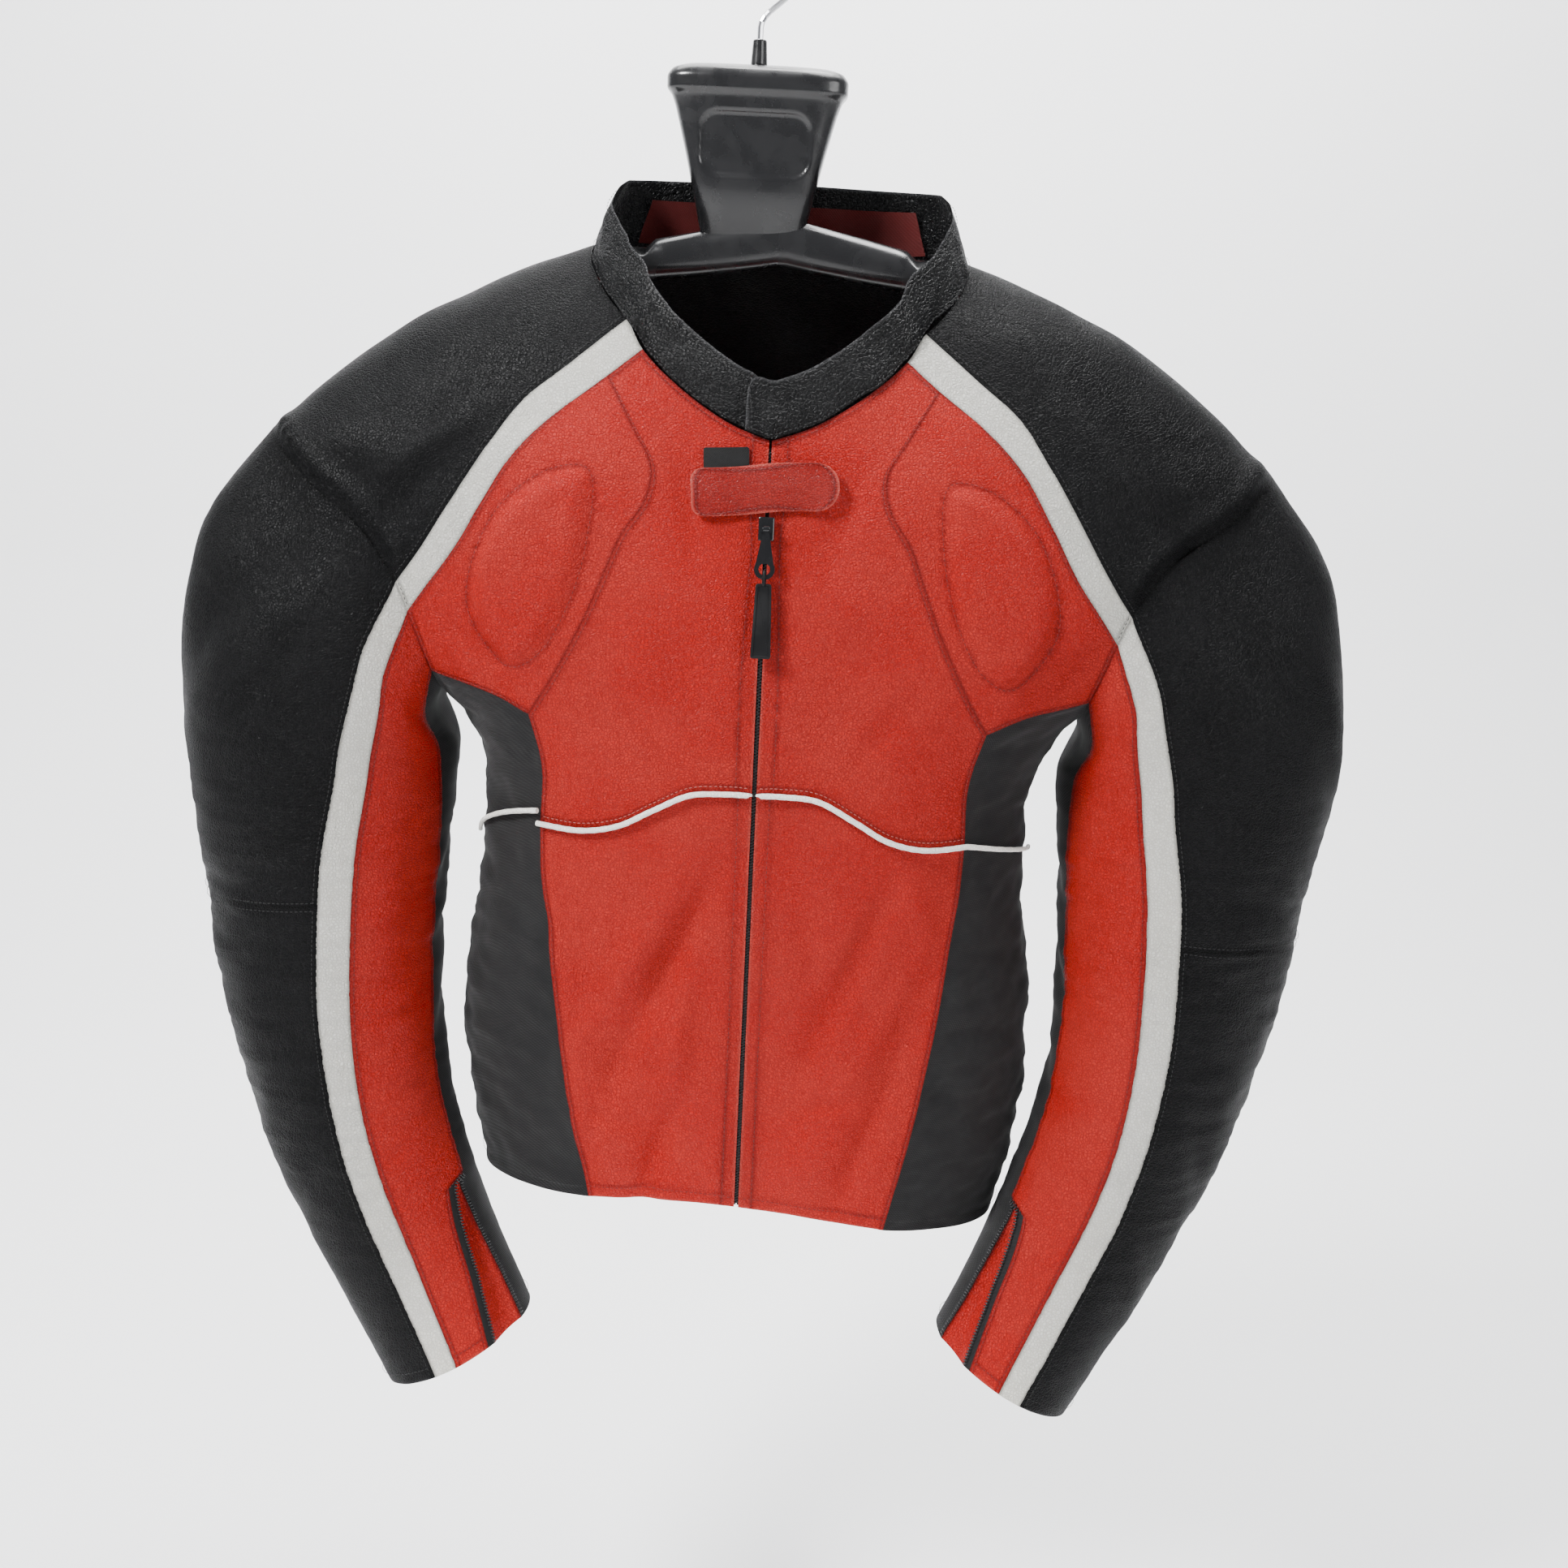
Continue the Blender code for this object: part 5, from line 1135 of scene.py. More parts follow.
def piece_from(name: str, bm: bmesh.types.BMesh, material: bpy.types.Material,
               sharp: float = 48.0) -> bpy.types.Object:
    """Object from a bmesh, shaded smooth except at real edges.

    Args:
        name: the piece's name.
        bm: its mesh, freed here.
        material: its finish.
        sharp: angle in degrees from which an edge stays sharp.

    Returns:
        The linked object.
    """
    mesh = bpy.data.meshes.new(name)
    bm.to_mesh(mesh)
    bm.free()
    mesh.shade_smooth()
    mesh.set_sharp_from_angle(angle=math.radians(sharp))
    mesh.materials.append(material)
    piece = bpy.data.objects.new(name, mesh)
    bpy.context.scene.collection.objects.link(piece)
    LOG.info("%s: %d faces", name, len(mesh.polygons))
    return piece


def settle(piece: bpy.types.Object, body: str, slot: str, *nodes: str) -> None:
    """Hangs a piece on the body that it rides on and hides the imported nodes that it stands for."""
    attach(piece, body)
    if nodes:
        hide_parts(*nodes)


def paint_packed(node: str, material: bpy.types.Material) -> bpy.types.Object:
    """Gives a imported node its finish."""
    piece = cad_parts[node]
    for slot in piece.material_slots:
        slot.material = material
    return piece


def face_out(bm: bmesh.types.BMesh) -> None:
    """Turns every face of a closed body outwards."""
    bmesh.ops.recalc_face_normals(bm, faces=bm.faces[:])
    if bm.calc_volume(signed=True) < 0:
        bmesh.ops.reverse_faces(bm, faces=bm.faces[:])


@dataclass
class Shell:
    """A panel's surface as a grid of points, rows up and columns across.

    Attributes:
        points: middle points before any relief.
        normals: outward normals.
        relief: large relief that goes through the cloth.
        borders: the four borders by name.
        surface: outer points, known once it is dressed.
        seam: how close each point is to a sunk seam or stitch line, 0 to 1, where painted shade goes, or to a
            stitched turned edge, 0 to -1, where a painted highlight goes.
        marks: the same for a line sewn inside the panel, or None.
    """

    points: Array
    normals: Array
    relief: Array
    borders: dict[str, Border]
    marks: Array | None = None
    surface: Array = field(default=None)
    seam: Array = field(default=None)

    SEAM_DEPTH = 0.0012
    SEAM_WIDTH = 0.0017
    # SEAM_MARK and GROOVE_MARK set how much painted shade the sunk seams and stitch grooves take.
    SEAM_MARK = 0.0015
    PUFF = 0.0006
    PUFF_AT = 0.0062
    PUFF_WIDTH = 0.0038
    PUCKER_PITCH = 0.0105
    PUCKER_REACH = 0.0065
    EDGE_ROUND = 0.0005
    EDGE_WIDTH = 0.0008
    GROOVE_DEPTH = 0.00075
    GROOVE_WIDTH = 0.0010
    GROOVE_MARK = 0.75
    # Width of the painted highlight along stitched turned edges.
    EDGE_HIGHLIGHT_WIDTH = 0.0011

    def __post_init__(self) -> None:
        self._lap_seams()
        self.from_left, self.from_low = grid_lengths(self.points)
        self.away = {"left": self.from_left, "right": self.from_left[:, -1:] - self.from_left,
                     "low": self.from_low, "high": self.from_low[-1:, :] - self.from_low}

    def _lap_seams(self) -> None:
        """Runs each sewn border a little past its seam, so that no light passes between two panels."""
        moved = self.points.copy()
        for side, edge, inner in (("low", np.s_[0], np.s_[1]), ("high", np.s_[-1], np.s_[-2]),
                                  ("left", np.s_[:, 0], np.s_[:, 1]), ("right", np.s_[:, -1], np.s_[:, -2])):
            if self.borders[side].kind is EdgeKind.SEAM:
                moved[edge] += unit(self.points[edge] - self.points[inner]) * SEAM_LAP
        self.points = moved

    def flat_size(self) -> tuple[float, float, float]:
        """Width, length and area of the cut, with no allowances."""
        a = self.points[1:, 1:] - self.points[:-1, :-1]
        b = self.points[1:, :-1] - self.points[:-1, 1:]
        area = float(np.linalg.norm(np.cross(a, b), axis=-1).sum() / 2)
        return float(self.from_left[:, -1].max()), float(self.from_low[-1].max()), area

    def dress(self, ripple: float) -> None:
        """Works out the outer surface with its sunk seams, puckers and stitch grooves."""
        rise = np.zeros(self.relief.shape)
        seam = np.zeros(self.relief.shape) if self.marks is None else self.marks.copy()
        wear_and_edge_highlight = np.zeros(self.relief.shape)
        sewn = [self.away[side] for side in SIDES if self.borders[side].kind is EdgeKind.SEAM]
        if sewn:
            near = np.minimum.reduce(sewn)
            puff = self.PUFF * np.exp(-((near - self.PUFF_AT) / self.PUFF_WIDTH) ** 2)
            rise += -self.SEAM_DEPTH * np.exp(-(near / self.SEAM_WIDTH) ** 2) + puff
            # Painted shade along the sunk seam, through the seam mask.
            seam = np.maximum(seam, np.exp(-(near / self.SEAM_MARK) ** 2))
        for side in SIDES:
            border, away = self.borders[side], self.away[side]
            along = self.from_low if side in ("left", "right") else self.from_left
            wave = np.sin(along * 2 * math.pi / self.PUCKER_PITCH + 2.6 * np.sin(along * 61.0 + len(side)))
            if border.kind is EdgeKind.SEAM:
                rise += ripple * np.exp(-away / self.PUCKER_REACH) * wave
            else:
                rise += -self.EDGE_ROUND * np.exp(-(away / self.EDGE_WIDTH) ** 2)
                if border.stitches:
                    half = border.stitches[0] / 2
                    rise += border.bead * np.exp(-((away - half) / (0.62 * half)) ** 2)
            for place in border.stitches:
                groove = np.exp(-((away - place) / self.GROOVE_WIDTH) ** 2)
                rise += -self.GROOVE_DEPTH * groove + 0.00018 * np.exp(-np.abs(away - place) / 0.004) * wave
                # Painted shade in the stitch groove, through the seam mask.
                seam = np.maximum(seam, self.GROOVE_MARK * groove)
            # Painted highlight: worn marks the lighter colour painted along stitched turned edges.
            if border.kind is EdgeKind.FREE and border.stitches:
                edge_highlight_falloff = np.exp(-(np.maximum(away - 0.0004, 0.0) / self.EDGE_HIGHLIGHT_WIDTH) ** 2)
                wear_and_edge_highlight = np.maximum(wear_and_edge_highlight, border.edge_highlight * edge_highlight_falloff)
        self.surface = self.points + self.normals * (self.relief + rise + SHELL_OUT)[..., None]
        # Positive seam values paint shade and negative ones paint the edge highlight.
        self.seam = np.where(wear_and_edge_highlight > seam, -wear_and_edge_highlight, seam)

    def line(self, side: str, place: float) -> tuple[Array, Array]:
        """Line on the outer surface at a distance from a border, with its normals."""
        away, points, normals = self.away[side], self.surface, self.normals
        if side in ("low", "high"):
            away, points, normals = away.T, points.transpose(1, 0, 2), normals.transpose(1, 0, 2)
        if side in ("right", "high"):
            away, points, normals = away[:, ::-1], points[:, ::-1], normals[:, ::-1]
        spots = []
        ups = []
        for distance, line, ups_here in zip(away, points, normals):
            if distance[-1] <= place * 1.5:
                continue
            spots.append(read_along(place, distance, line))
            ups.append(read_along(place, distance, ups_here))
        return np.array(spots).reshape(-1, 3), np.array(ups).reshape(-1, 3)


def declare_cloth(piece: bpy.types.Object, rests_on: Sequence[str], *shells: Shell) -> None:
    """Works out the flat size of the cut of each shell of a piece of cloth; narrow tapes are cut side by
    side.
    """
    sizes = [shell.flat_size() for shell in shells]


class PanelMaker:
    """Turns shells into dressed pieces with their stitches."""

    def __init__(self, wardrobe: Wardrobe, stitches: StitchWork) -> None:
        self.wardrobe = wardrobe
        self.stitches = stitches

    def make(self, node: str, shell: Shell, finish: Finish, thread: Thread, rests_on: Sequence[str],
             ripple: float = 0.00022, inner: float = SHELL_IN) -> bpy.types.Object:
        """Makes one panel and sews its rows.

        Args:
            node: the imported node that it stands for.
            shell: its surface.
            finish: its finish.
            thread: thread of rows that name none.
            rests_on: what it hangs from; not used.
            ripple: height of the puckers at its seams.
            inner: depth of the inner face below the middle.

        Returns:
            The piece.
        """
        shell.dress(ripple)
        inside = shell.points + shell.normals * (shell.relief - inner)[..., None]
        piece = self.closed(f"cloth_{node}", shell.surface, inside, shell.seam, finish)
        settle(piece, GARMENT, finish.slot, node)
        declare_cloth(piece, rests_on, shell)
        for side in SIDES:
            border = shell.borders[side]
            for place in border.stitches:
                self.stitches.row(*shell.line(side, place), border.thread or thread)
        return piece

    def make_pair(self, name: str, shells: Sequence[Shell], finish: Finish, rests_on: str,
                  nodes: Sequence[str]) -> bpy.types.Object:
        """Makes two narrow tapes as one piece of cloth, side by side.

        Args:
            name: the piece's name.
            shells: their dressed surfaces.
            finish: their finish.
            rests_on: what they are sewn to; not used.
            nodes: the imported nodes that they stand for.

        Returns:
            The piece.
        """
        bm = bmesh.new()
        for shell in shells:
            inside = shell.points + shell.normals * (shell.relief - SHELL_IN)[..., None]
            part = self.closed(f"{name}_part", shell.surface, inside, shell.seam, finish)
            bm.from_mesh(part.data)
            bpy.data.objects.remove(part)
        piece = piece_from(name, bm, self.wardrobe.material(finish))
        settle(piece, GARMENT, finish.slot, *nodes)
        declare_cloth(piece, [rests_on], *shells)
        return piece

    def closed(self, name: str, outer: Array, inside: Array, seam: Array, finish: Finish) -> bpy.types.Object:
        """Closed thin body between two grids of points.

        Args:
            name: the piece's name.
            outer: outer grid.
            inside: inner grid.
            seam: closeness to a seam for each place of the grid.
            finish: its finish.

        Returns:
            The linked object.
        """
        rows, columns = outer.shape[0] - 1, outer.shape[1] - 1
        bm = bmesh.new()
        bmesh.ops.create_grid(bm, x_segments=columns, y_segments=rows, size=1.0)
        grown = bmesh.ops.extrude_face_region(bm, geom=bm.faces[:], use_keep_orig=True)
        top = {v for v in grown["geom"] if isinstance(v, bmesh.types.BMVert)}
        layer = bm.verts.layers.float.new("seam")
        for v in bm.verts:
            i = round((v.co.x + 1) / 2 * columns)
            j = round((v.co.y + 1) / 2 * rows)
            v[layer] = float(seam[j, i])
            v.co = (outer if v in top else inside)[j, i]
        face_out(bm)
        return piece_from(name, bm, self.wardrobe.material(finish))


@dataclass
class Trunk:
    """Fronts, chest sides, stripes, shoulders, side panels and back.

    Attributes:
        form: the trunk's surface.
        maker: makes the panels.
        front_pitch: spacing of points on the front.
        back_pitch: spacing of points on the back and sides.
        placket: distances of the stitch rows from the zip above and below the piping.
        hem: distance of the hem's stitch row.
    """

    form: TrunkForm
    maker: PanelMaker
    front_pitch: float = 0.0030
    back_pitch: float = 0.0044
    placket: float = 0.0108
    hem: float = 0.0085

    def __post_init__(self) -> None:
        form = self.form
        self.zip_angle = float(form.angle_at(ZIP_HALF_SLIT, -0.5))
        neck_in = self._half_spot((NECK_STRIPE_IN, form.neck(NECK_STRIPE_IN)))
        neck_out = self._half_spot((NECK_STRIPE_OUT, form.neck(NECK_STRIPE_OUT)))
        stripe_in_end = self._half_spot(form.armhole(ARM_PHI["stripe_in"]))
        stripe_out_end = self._half_spot(form.armhole(ARM_PHI["stripe_out"]))
        chest_end = self._half_spot(form.armhole(ARM_PHI["red_in"]))
        hem_corner = Spot(FRONT_EDGE_HEM, float(form.hem(0.55)))
        lines = {
            "stripe_head": (neck_in, PRINCESS_TOP),
            "stripe_rest": (PRINCESS_TOP, *STRIPE_IN, stripe_in_end),
            "stripe_out": (neck_out, *STRIPE_OUT, stripe_out_end),
            "princess": (PRINCESS_TOP, *PRINCESS, CHEST_CORNER),
            "floor": (CHEST_CORNER, *CHEST_FLOOR, chest_end),
            "edge_high": (CHEST_CORNER, *FRONT_EDGE, PIPING[-1]),
            "edge_low": (PIPING[-1], *FRONT_EDGE_LOW, hem_corner),
            "piping": ((ZIP_HALF_SLIT, PIPING[0].z), *PIPING[1:]),
        }
        self.seams: dict[str, Run] = {}
        for name, spots in lines.items():
            self.seams[name] = form.on_front(smooth_line(spots))
        hem_angle = float(form.angle_at(*hem_corner))
        self.seams["hem_front"] = self._front_hem(hem_angle, hem_corner.z)
        self.seams["hem_side"] = form.level_run(form.hem, hem_angle, SIDE_SEAM_HEM)
        self.seams["back_seam"] = straight((NECK_BACK_SEAM, form.neck(NECK_BACK_SEAM)),
                                           form.armhole(ARM_PHI["back"]))
        self.seams["side"] = self._side_seam()

    def _half_spot(self, place: Sequence[float]) -> Spot:
        """Half width and height of a place."""
        point = self.form.bare(np.array(tuple(place), float))
        return Spot(float(point[0]), float(point[2]))

    def _front_hem(self, hem_angle: float, corner_z: float) -> Run:
        """Hem of a front panel, which drops towards the side."""
        middle_z = float(self.form.hem(0.0))

        def read(shares: Array) -> Array:
            shares = np.asarray(shares, float)
            return np.stack([self.zip_angle + (hem_angle - self.zip_angle) * shares,
                             middle_z + (corner_z - middle_z) * shares ** 1.5], axis=-1)
        return read

    def _side_seam(self) -> Run:
        """Side seam from the armhole down to the hem."""
        top = self.form.armhole(ARM_PHI["side"])
        end_z = float(self.form.hem(SIDE_SEAM_HEM))

        def read(shares: Array) -> Array:
            shares = np.asarray(shares, float)
            return np.stack([top[0] + (SIDE_SEAM_HEM - top[0]) * np.minimum(shares * 1.6, 1.0),
                             top[1] + (end_z - top[1]) * shares], axis=-1)
        return read

    def shell(self, runs: tuple[Run, Run, Run, Run], borders: dict[str, Border], side: int, pitch: float,
              breaks: tuple[Sequence[float], Sequence[float]] = ((), ()),
              extra: Callable[[Array], Array] | None = None) -> Shell:
        """Shell between four runs of places on the trunk.

        Args:
            runs: low, high, left and right.
            borders: the four borders.
            side: -1 mirrors it to the viewer's left.
            pitch: spacing of its points.
            breaks: shares across and up at which joined runs meet.
            extra: further relief at a grid of points.

        Returns:
            The shell.
        """
        low, high, left, right = runs
        steps = np.linspace(0.0, 1.0, 60)

        def length(run: Run) -> float:
            return float(np.linalg.norm(np.diff(self.form.bare(run(steps)), axis=0), axis=1).sum())

        across = graded_shares(max(length(low), length(high)), pitch, breaks[0])
        up = graded_shares(max(length(left), length(right)), pitch, breaks[1])
        places = coons(low, high, left, right, across, up)
        points, normals = self.form.mirrored(places, side)
        relief = self.form.relief(points)
        if extra:
            relief = relief + extra(points) * smoothstep(border_distance(points), 0.0, 0.011)
        return Shell(hung(points), normals, relief, {**dict.fromkeys(SIDES, PLAIN), **borders},
                     self.form.pad.mark(points))

    def build(self) -> None:
        """Builds both halves and the back."""
        for side, tag in ((-1, "left"), (1, "right")):
            self.fronts(side, tag)
            self.chest_and_stripe(side, tag)
            self.shoulder(side, tag)
            self.side_panel(side, tag)
        self.back()

    def fronts(self, side: int, tag: str) -> None:
        """Lower and upper front panel of one half."""
        runs, form = self.seams, self.form
        low_z, piping_z = float(form.hem(0.0)), PIPING[0].z
        centre_low = straight((self.zip_angle, low_z), (self.zip_angle, piping_z))
        shell = self.shell((runs["hem_front"], runs["piping"], centre_low, backwards(runs["edge_low"])),
                           {"low": turned(self.hem), "left": turned(self.placket - 0.002),
                            "right": seamed(0.0030)}, side, self.front_pitch)
        self.maker.make(f"front_lower_{tag}", shell, RED, RED_THREAD, [f"cloth_front_upper_{tag}"])
        right = joined((backwards(runs["edge_high"]), 3), (backwards(runs["princess"]), 10),
                       (backwards(runs["stripe_head"]), 2))
        centre_high = straight((self.zip_angle, piping_z), (self.zip_angle, float(form.neck(self.zip_angle))))
        top = form.level_run(form.neck, self.zip_angle, NECK_STRIPE_IN)
        shell = self.shell((runs["piping"], top, centre_high, right),
                           {"low": seamed(0.0048, thread=PALE_THREAD), "left": turned(self.placket),
                            "right": seamed(0.0030), "high": seamed(0.0032)}, side, self.front_pitch,
                           ((), breaks_of(3, 10, 2)))
        self.maker.make(f"front_upper_{tag}", shell, RED, RED_THREAD, ["cloth_collar"])

    def chest_and_stripe(self, side: int, tag: str) -> None:
        """Chest side panel and shoulder stripe of one half."""
        runs, form = self.seams, self.form
        first = runs["stripe_rest"](np.array((0.0, 1 / 7)))
        outer = joined((form.arm_run(ARM_PHI["red_in"], ARM_PHI["stripe_in"]), 4),
                       (backwards(stretch_of(runs["stripe_rest"], 1 / 7, 1.0)), 6))
        shell = self.shell((runs["floor"], straight(*first), backwards(runs["princess"]), outer),
                           {"low": seamed(0.0030), "right": seamed(0.0032)}, side,
                           self.front_pitch, ((), breaks_of(4, 6)))
        self.maker.make(f"chest_side_{tag}", shell, RED, RED_THREAD, [f"cloth_stripe_shoulder_{tag}"])
        self.pad_stitches(side)
        stripe_in = joined((runs["stripe_head"], 2), (runs["stripe_rest"], 7))
        neck = form.level_run(form.neck, NECK_STRIPE_IN, NECK_STRIPE_OUT)
        shell = self.shell((stripe_in, runs["stripe_out"], neck,
                            form.arm_run(ARM_PHI["stripe_in"], ARM_PHI["stripe_out"])),
                           {"right": seamed(0.0036, thread=BLACK_THREAD)}, side, 0.0026,
                           (breaks_of(2, 7), ()))
        self.maker.make(f"stripe_shoulder_{tag}", shell, WHITE, BLACK_THREAD, [f"cloth_shoulder_{tag}"],
                        0.00012)

    def pad_stitches(self, side: int) -> None:
        """Row of stitches along the outline of a chest pad."""
        spots = self.form.pad.run(np.linspace(0.0, 1.0, 160))
        points, normals = self.form.mirrored(self.form.front_places(*spots.T), side)
        points = hung(points + normals * (self.form.relief(points) + SHELL_OUT)[:, None])
        self.maker.stitches.row(points, normals, RED_THREAD, 0.0)

    def shoulder(self, side: int, tag: str) -> None:
        """Black shoulder of one half, gathered at the viewer's left armhole and rolled at the right."""
        runs, form = self.seams, self.form
        top = form.level_run(form.neck, NECK_STRIPE_OUT, NECK_BACK_SEAM)
        arm = form.arm_run(ARM_PHI["stripe_out"], ARM_PHI["back"] - 360.0)

        def gathers(points: Array) -> Array:
            columns = np.linalg.norm(np.diff(points, axis=1), axis=-1)
            from_arm = np.pad(np.cumsum(columns[:, ::-1], axis=1)[:, ::-1], ((0, 0), (0, 1)))
            along = grid_lengths(points)[1]
            shown = smoothstep(-points[..., 1], 0.0, 0.03)
            roll = 0.0036 * np.exp(-((from_arm - 0.013) / 0.0085) ** 2) * shown
            ribs = np.cos(along * 2 * math.pi / 0.0040) * smoothstep(from_arm, 0.002, 0.005)
            ribs = ribs * (1 - smoothstep(from_arm, 0.013, 0.020)) * shown * smoothstep(along, 0.004, 0.012)
            return roll + (0.00075 * ribs if side < 0 else 0.0)

        shell = self.shell((runs["stripe_out"], runs["back_seam"], top, arm),
                           {"low": seamed(0.0030), "high": seamed(0.0030)}, side,
                           0.0034 if side > 0 else 0.0026, extra=gathers)
        self.maker.make(f"shoulder_{tag}", shell, BLACK, BLACK_THREAD, ["hanger_body"])

    def side_panel(self, side: int, tag: str) -> None:
        """Stretch side panel of one half."""
        runs, form = self.seams, self.form
        under = joined((runs["floor"], 4), (form.arm_run(ARM_PHI["red_in"], ARM_PHI["side"]), 6))
        front = joined((backwards(runs["edge_low"]), 9), (backwards(runs["edge_high"]), 3))

        def slack(points: Array) -> Array:
            return (0.0026 * noise_field(points, (30.0, 30.0, 62.0), 8.4 * side)
                    + 0.0012 * noise_field(points, (60.0, 60.0, 150.0), 2.3 * side))

        shell = self.shell((runs["hem_side"], under, front, backwards(runs["side"])),
                           {"low": turned(self.hem)}, side, 0.0038, (breaks_of(4, 6), breaks_of(9, 3)),
                           extra=slack)
        self.maker.make(f"side_panel_{tag}", shell, STRETCH, BLACK_THREAD, [f"cloth_front_upper_{tag}"])

    def back(self) -> None:
        """Back in one piece between the side seams."""
        runs, form = self.seams, self.form
        full = 2 * math.pi

        def other(run: Run) -> Run:
            def read(shares: Array) -> Array:
                places = run(shares)
                return np.stack([full - places[..., 0], places[..., 1]], axis=-1)
            return read

        arm_low = form.arm_run(ARM_PHI["side"], ARM_PHI["under"])
        arm_high = form.arm_run(ARM_PHI["under"], ARM_PHI["back"])
        side_up = joined((backwards(runs["side"]), 12), (arm_low, 3), (arm_high, 3),
                         (backwards(runs["back_seam"]), 9))

        def turning(height: Callable[[Array], Array], start: float) -> Run:
            def read(shares: Array) -> Array:
                angle = start + (full - 2 * start) * np.asarray(shares, float)
                return np.stack([angle, height(np.minimum(angle, full - angle))], axis=-1)
            return read

        shell = self.shell((turning(form.hem, SIDE_SEAM_HEM), turning(form.neck, NECK_BACK_SEAM), side_up,
                            other(side_up)),
                           {"low": turned(self.hem), "high": seamed(0.0032)}, 1, self.back_pitch,
                           ((), breaks_of(12, 3, 3, 9)))
        self.maker.make("back", shell, BLACK, BLACK_THREAD, ["hanger_body"])


@dataclass
class Sleeve:
    """All cut pieces of one sleeve.

    Attributes:
        form: the sleeve's surface.
        maker: makes the panels.
        side: -1 for the viewer's left.
        tag: left or right.
        pitch: spacing of points.
    """

    form: SleeveForm
    maker: PanelMaker
    side: int
    tag: str
    pitch: float = 0.0040

    def shell(self, span: tuple[float, float], start: str, end: str, borders: dict[str, Border], pitch: float,
              middle: Sequence[float] = (), extra: Callable[[Array, Array], Array] | None = None) -> Shell:
        """Shell between two seams of the sleeve.

        Args:
            span: shares of the length at which it starts and ends.
            start: seam of its first column.
            end: seam of its last column.
            borders: the four borders.
            pitch: spacing of its points.
            middle: shares of the length that have to be rows.
            extra: further relief by shares of the length and of the width.

        Returns:
            The shell.
        """
        s0, s1 = span
        breaks = [(s - s0) / (s1 - s0) for s in middle if s0 < s < s1]
        up = s0 + (s1 - s0) * graded_shares((s1 - s0) * SLEEVE_LENGTH, pitch, breaks)
        first, last = self.form.seam_angle(start, up), self.form.seam_angle(end, up)
        width = float(np.abs(last - first).max()) * math.pi / 180 * SLEEVE_RADIUS
        across = graded_shares(width, pitch)
        s = np.repeat(up[:, None], len(across), axis=1)
        phi = first[:, None] + (last - first)[:, None] * across[None]
        points, normals = self.form.point(s, phi), self.form.normals(s, phi)
        points[..., 0] *= self.side
        normals[..., 0] *= self.side
        relief = self.form.relief(s, phi, points, self.side)
        if extra:
            relief = relief + extra(s, np.repeat(across[None], len(up), axis=0))
        points[..., 0] += HANG_SHIFT - self.side * CUFF_DRAW * smoothstep(s, 0.60, 1.0)
        return Shell(points, normals, relief, {**dict.fromkeys(SIDES, PLAIN), **borders})

    def build(self) -> None:
        """Builds the pieces from the stripe round to the cuff zip."""
        tag, make = self.tag, self.maker.make
        cuff = (CUFF_TOP, CUFF_OPEN)
        shoulder = [f"cloth_shoulder_{tag}"]
        upper = self.shell((0.0, ELBOW_SEAM), "stripe_out", "back_round",
                           {"left": seamed(0.0030), "high": seamed(0.0030)}, self.pitch)
        make(f"sleeve_upper_{tag}", upper, BLACK, BLACK_THREAD, shoulder)
        fore = self.shell((ELBOW_SEAM, 1.0), "stripe_out", "back_round",
                          {"left": seamed(0.0030), "low": seamed(0.0030), "high": turned(0.0080)}, self.pitch)
        make(f"forearm_{tag}", fore, BLACK, BLACK_THREAD, [f"cloth_sleeve_upper_{tag}"])
        stripe = self.shell((0.0, 1.0), "stripe_in", "stripe_out", {"high": TURNED}, 0.0030, cuff)
        make(f"sleeve_stripe_{tag}", stripe, WHITE, BLACK_THREAD, shoulder, 0.00018)
        front = self.shell((0.0, 1.0), "red_in", "stripe_in",
                           {"right": seamed(0.0032), "high": turned(0.0080), "left": seamed(0.0030)},
                           0.0030, cuff)
        make(f"sleeve_front_{tag}", front, RED, RED_THREAD, [f"cloth_chest_side_{tag}"], 0.00030)
        under = self.shell((0.0, 1.0), "under", "back", {"high": turned(0.0080)}, self.pitch, cuff)
        make(f"sleeve_under_{tag}", under, STRETCH, BLACK_THREAD, [f"cloth_side_panel_{tag}"])
        self.cuff_zip()

    def cuff_zip(self) -> None:
        """Tapes, leaf gusset and teeth of the open cuff zip."""
        tag, make = self.tag, self.maker.make
        span = (CUFF_POINT, 1.0)

        def leaf(s: Array, across: Array) -> Array:
            depth = smoothstep(s, CUFF_OPEN, CUFF_OPEN + 0.05)
            return -0.0048 * np.sin(math.pi * across) ** 0.8 * depth

        gusset = self.shell(span, "gusset_back", "gusset_front", {"high": TURNED}, 0.0022, (CUFF_OPEN,), leaf)
        make(f"cuff_gusset_{tag}", gusset, RED, RED_THREAD, [f"cloth_sleeve_front_{tag}"])
        tapes = []
        for name, start, end, seam_side in (("cuff_tape_front", "gusset_front", "red_in", "left"),
                                            ("cuff_tape_back", "under", "gusset_back", "right")):
            tape = self.shell(span, start, end, {"high": TURNED, "left": TURNED, "right": TURNED}, 0.0020,
                              (CUFF_OPEN,))
            tape.dress(0.0)
            tapes.append(tape)
            ZipTeeth(self.maker.wardrobe, f"{name}_teeth_{tag}").along(*tape.line(seam_side, 0.0006))
        self.maker.make_pair(f"cuff_tapes_{tag}", tapes, TAPE, f"cloth_cuff_gusset_{tag}",
                             (f"cuff_tape_front_{tag}", f"cuff_tape_back_{tag}"))


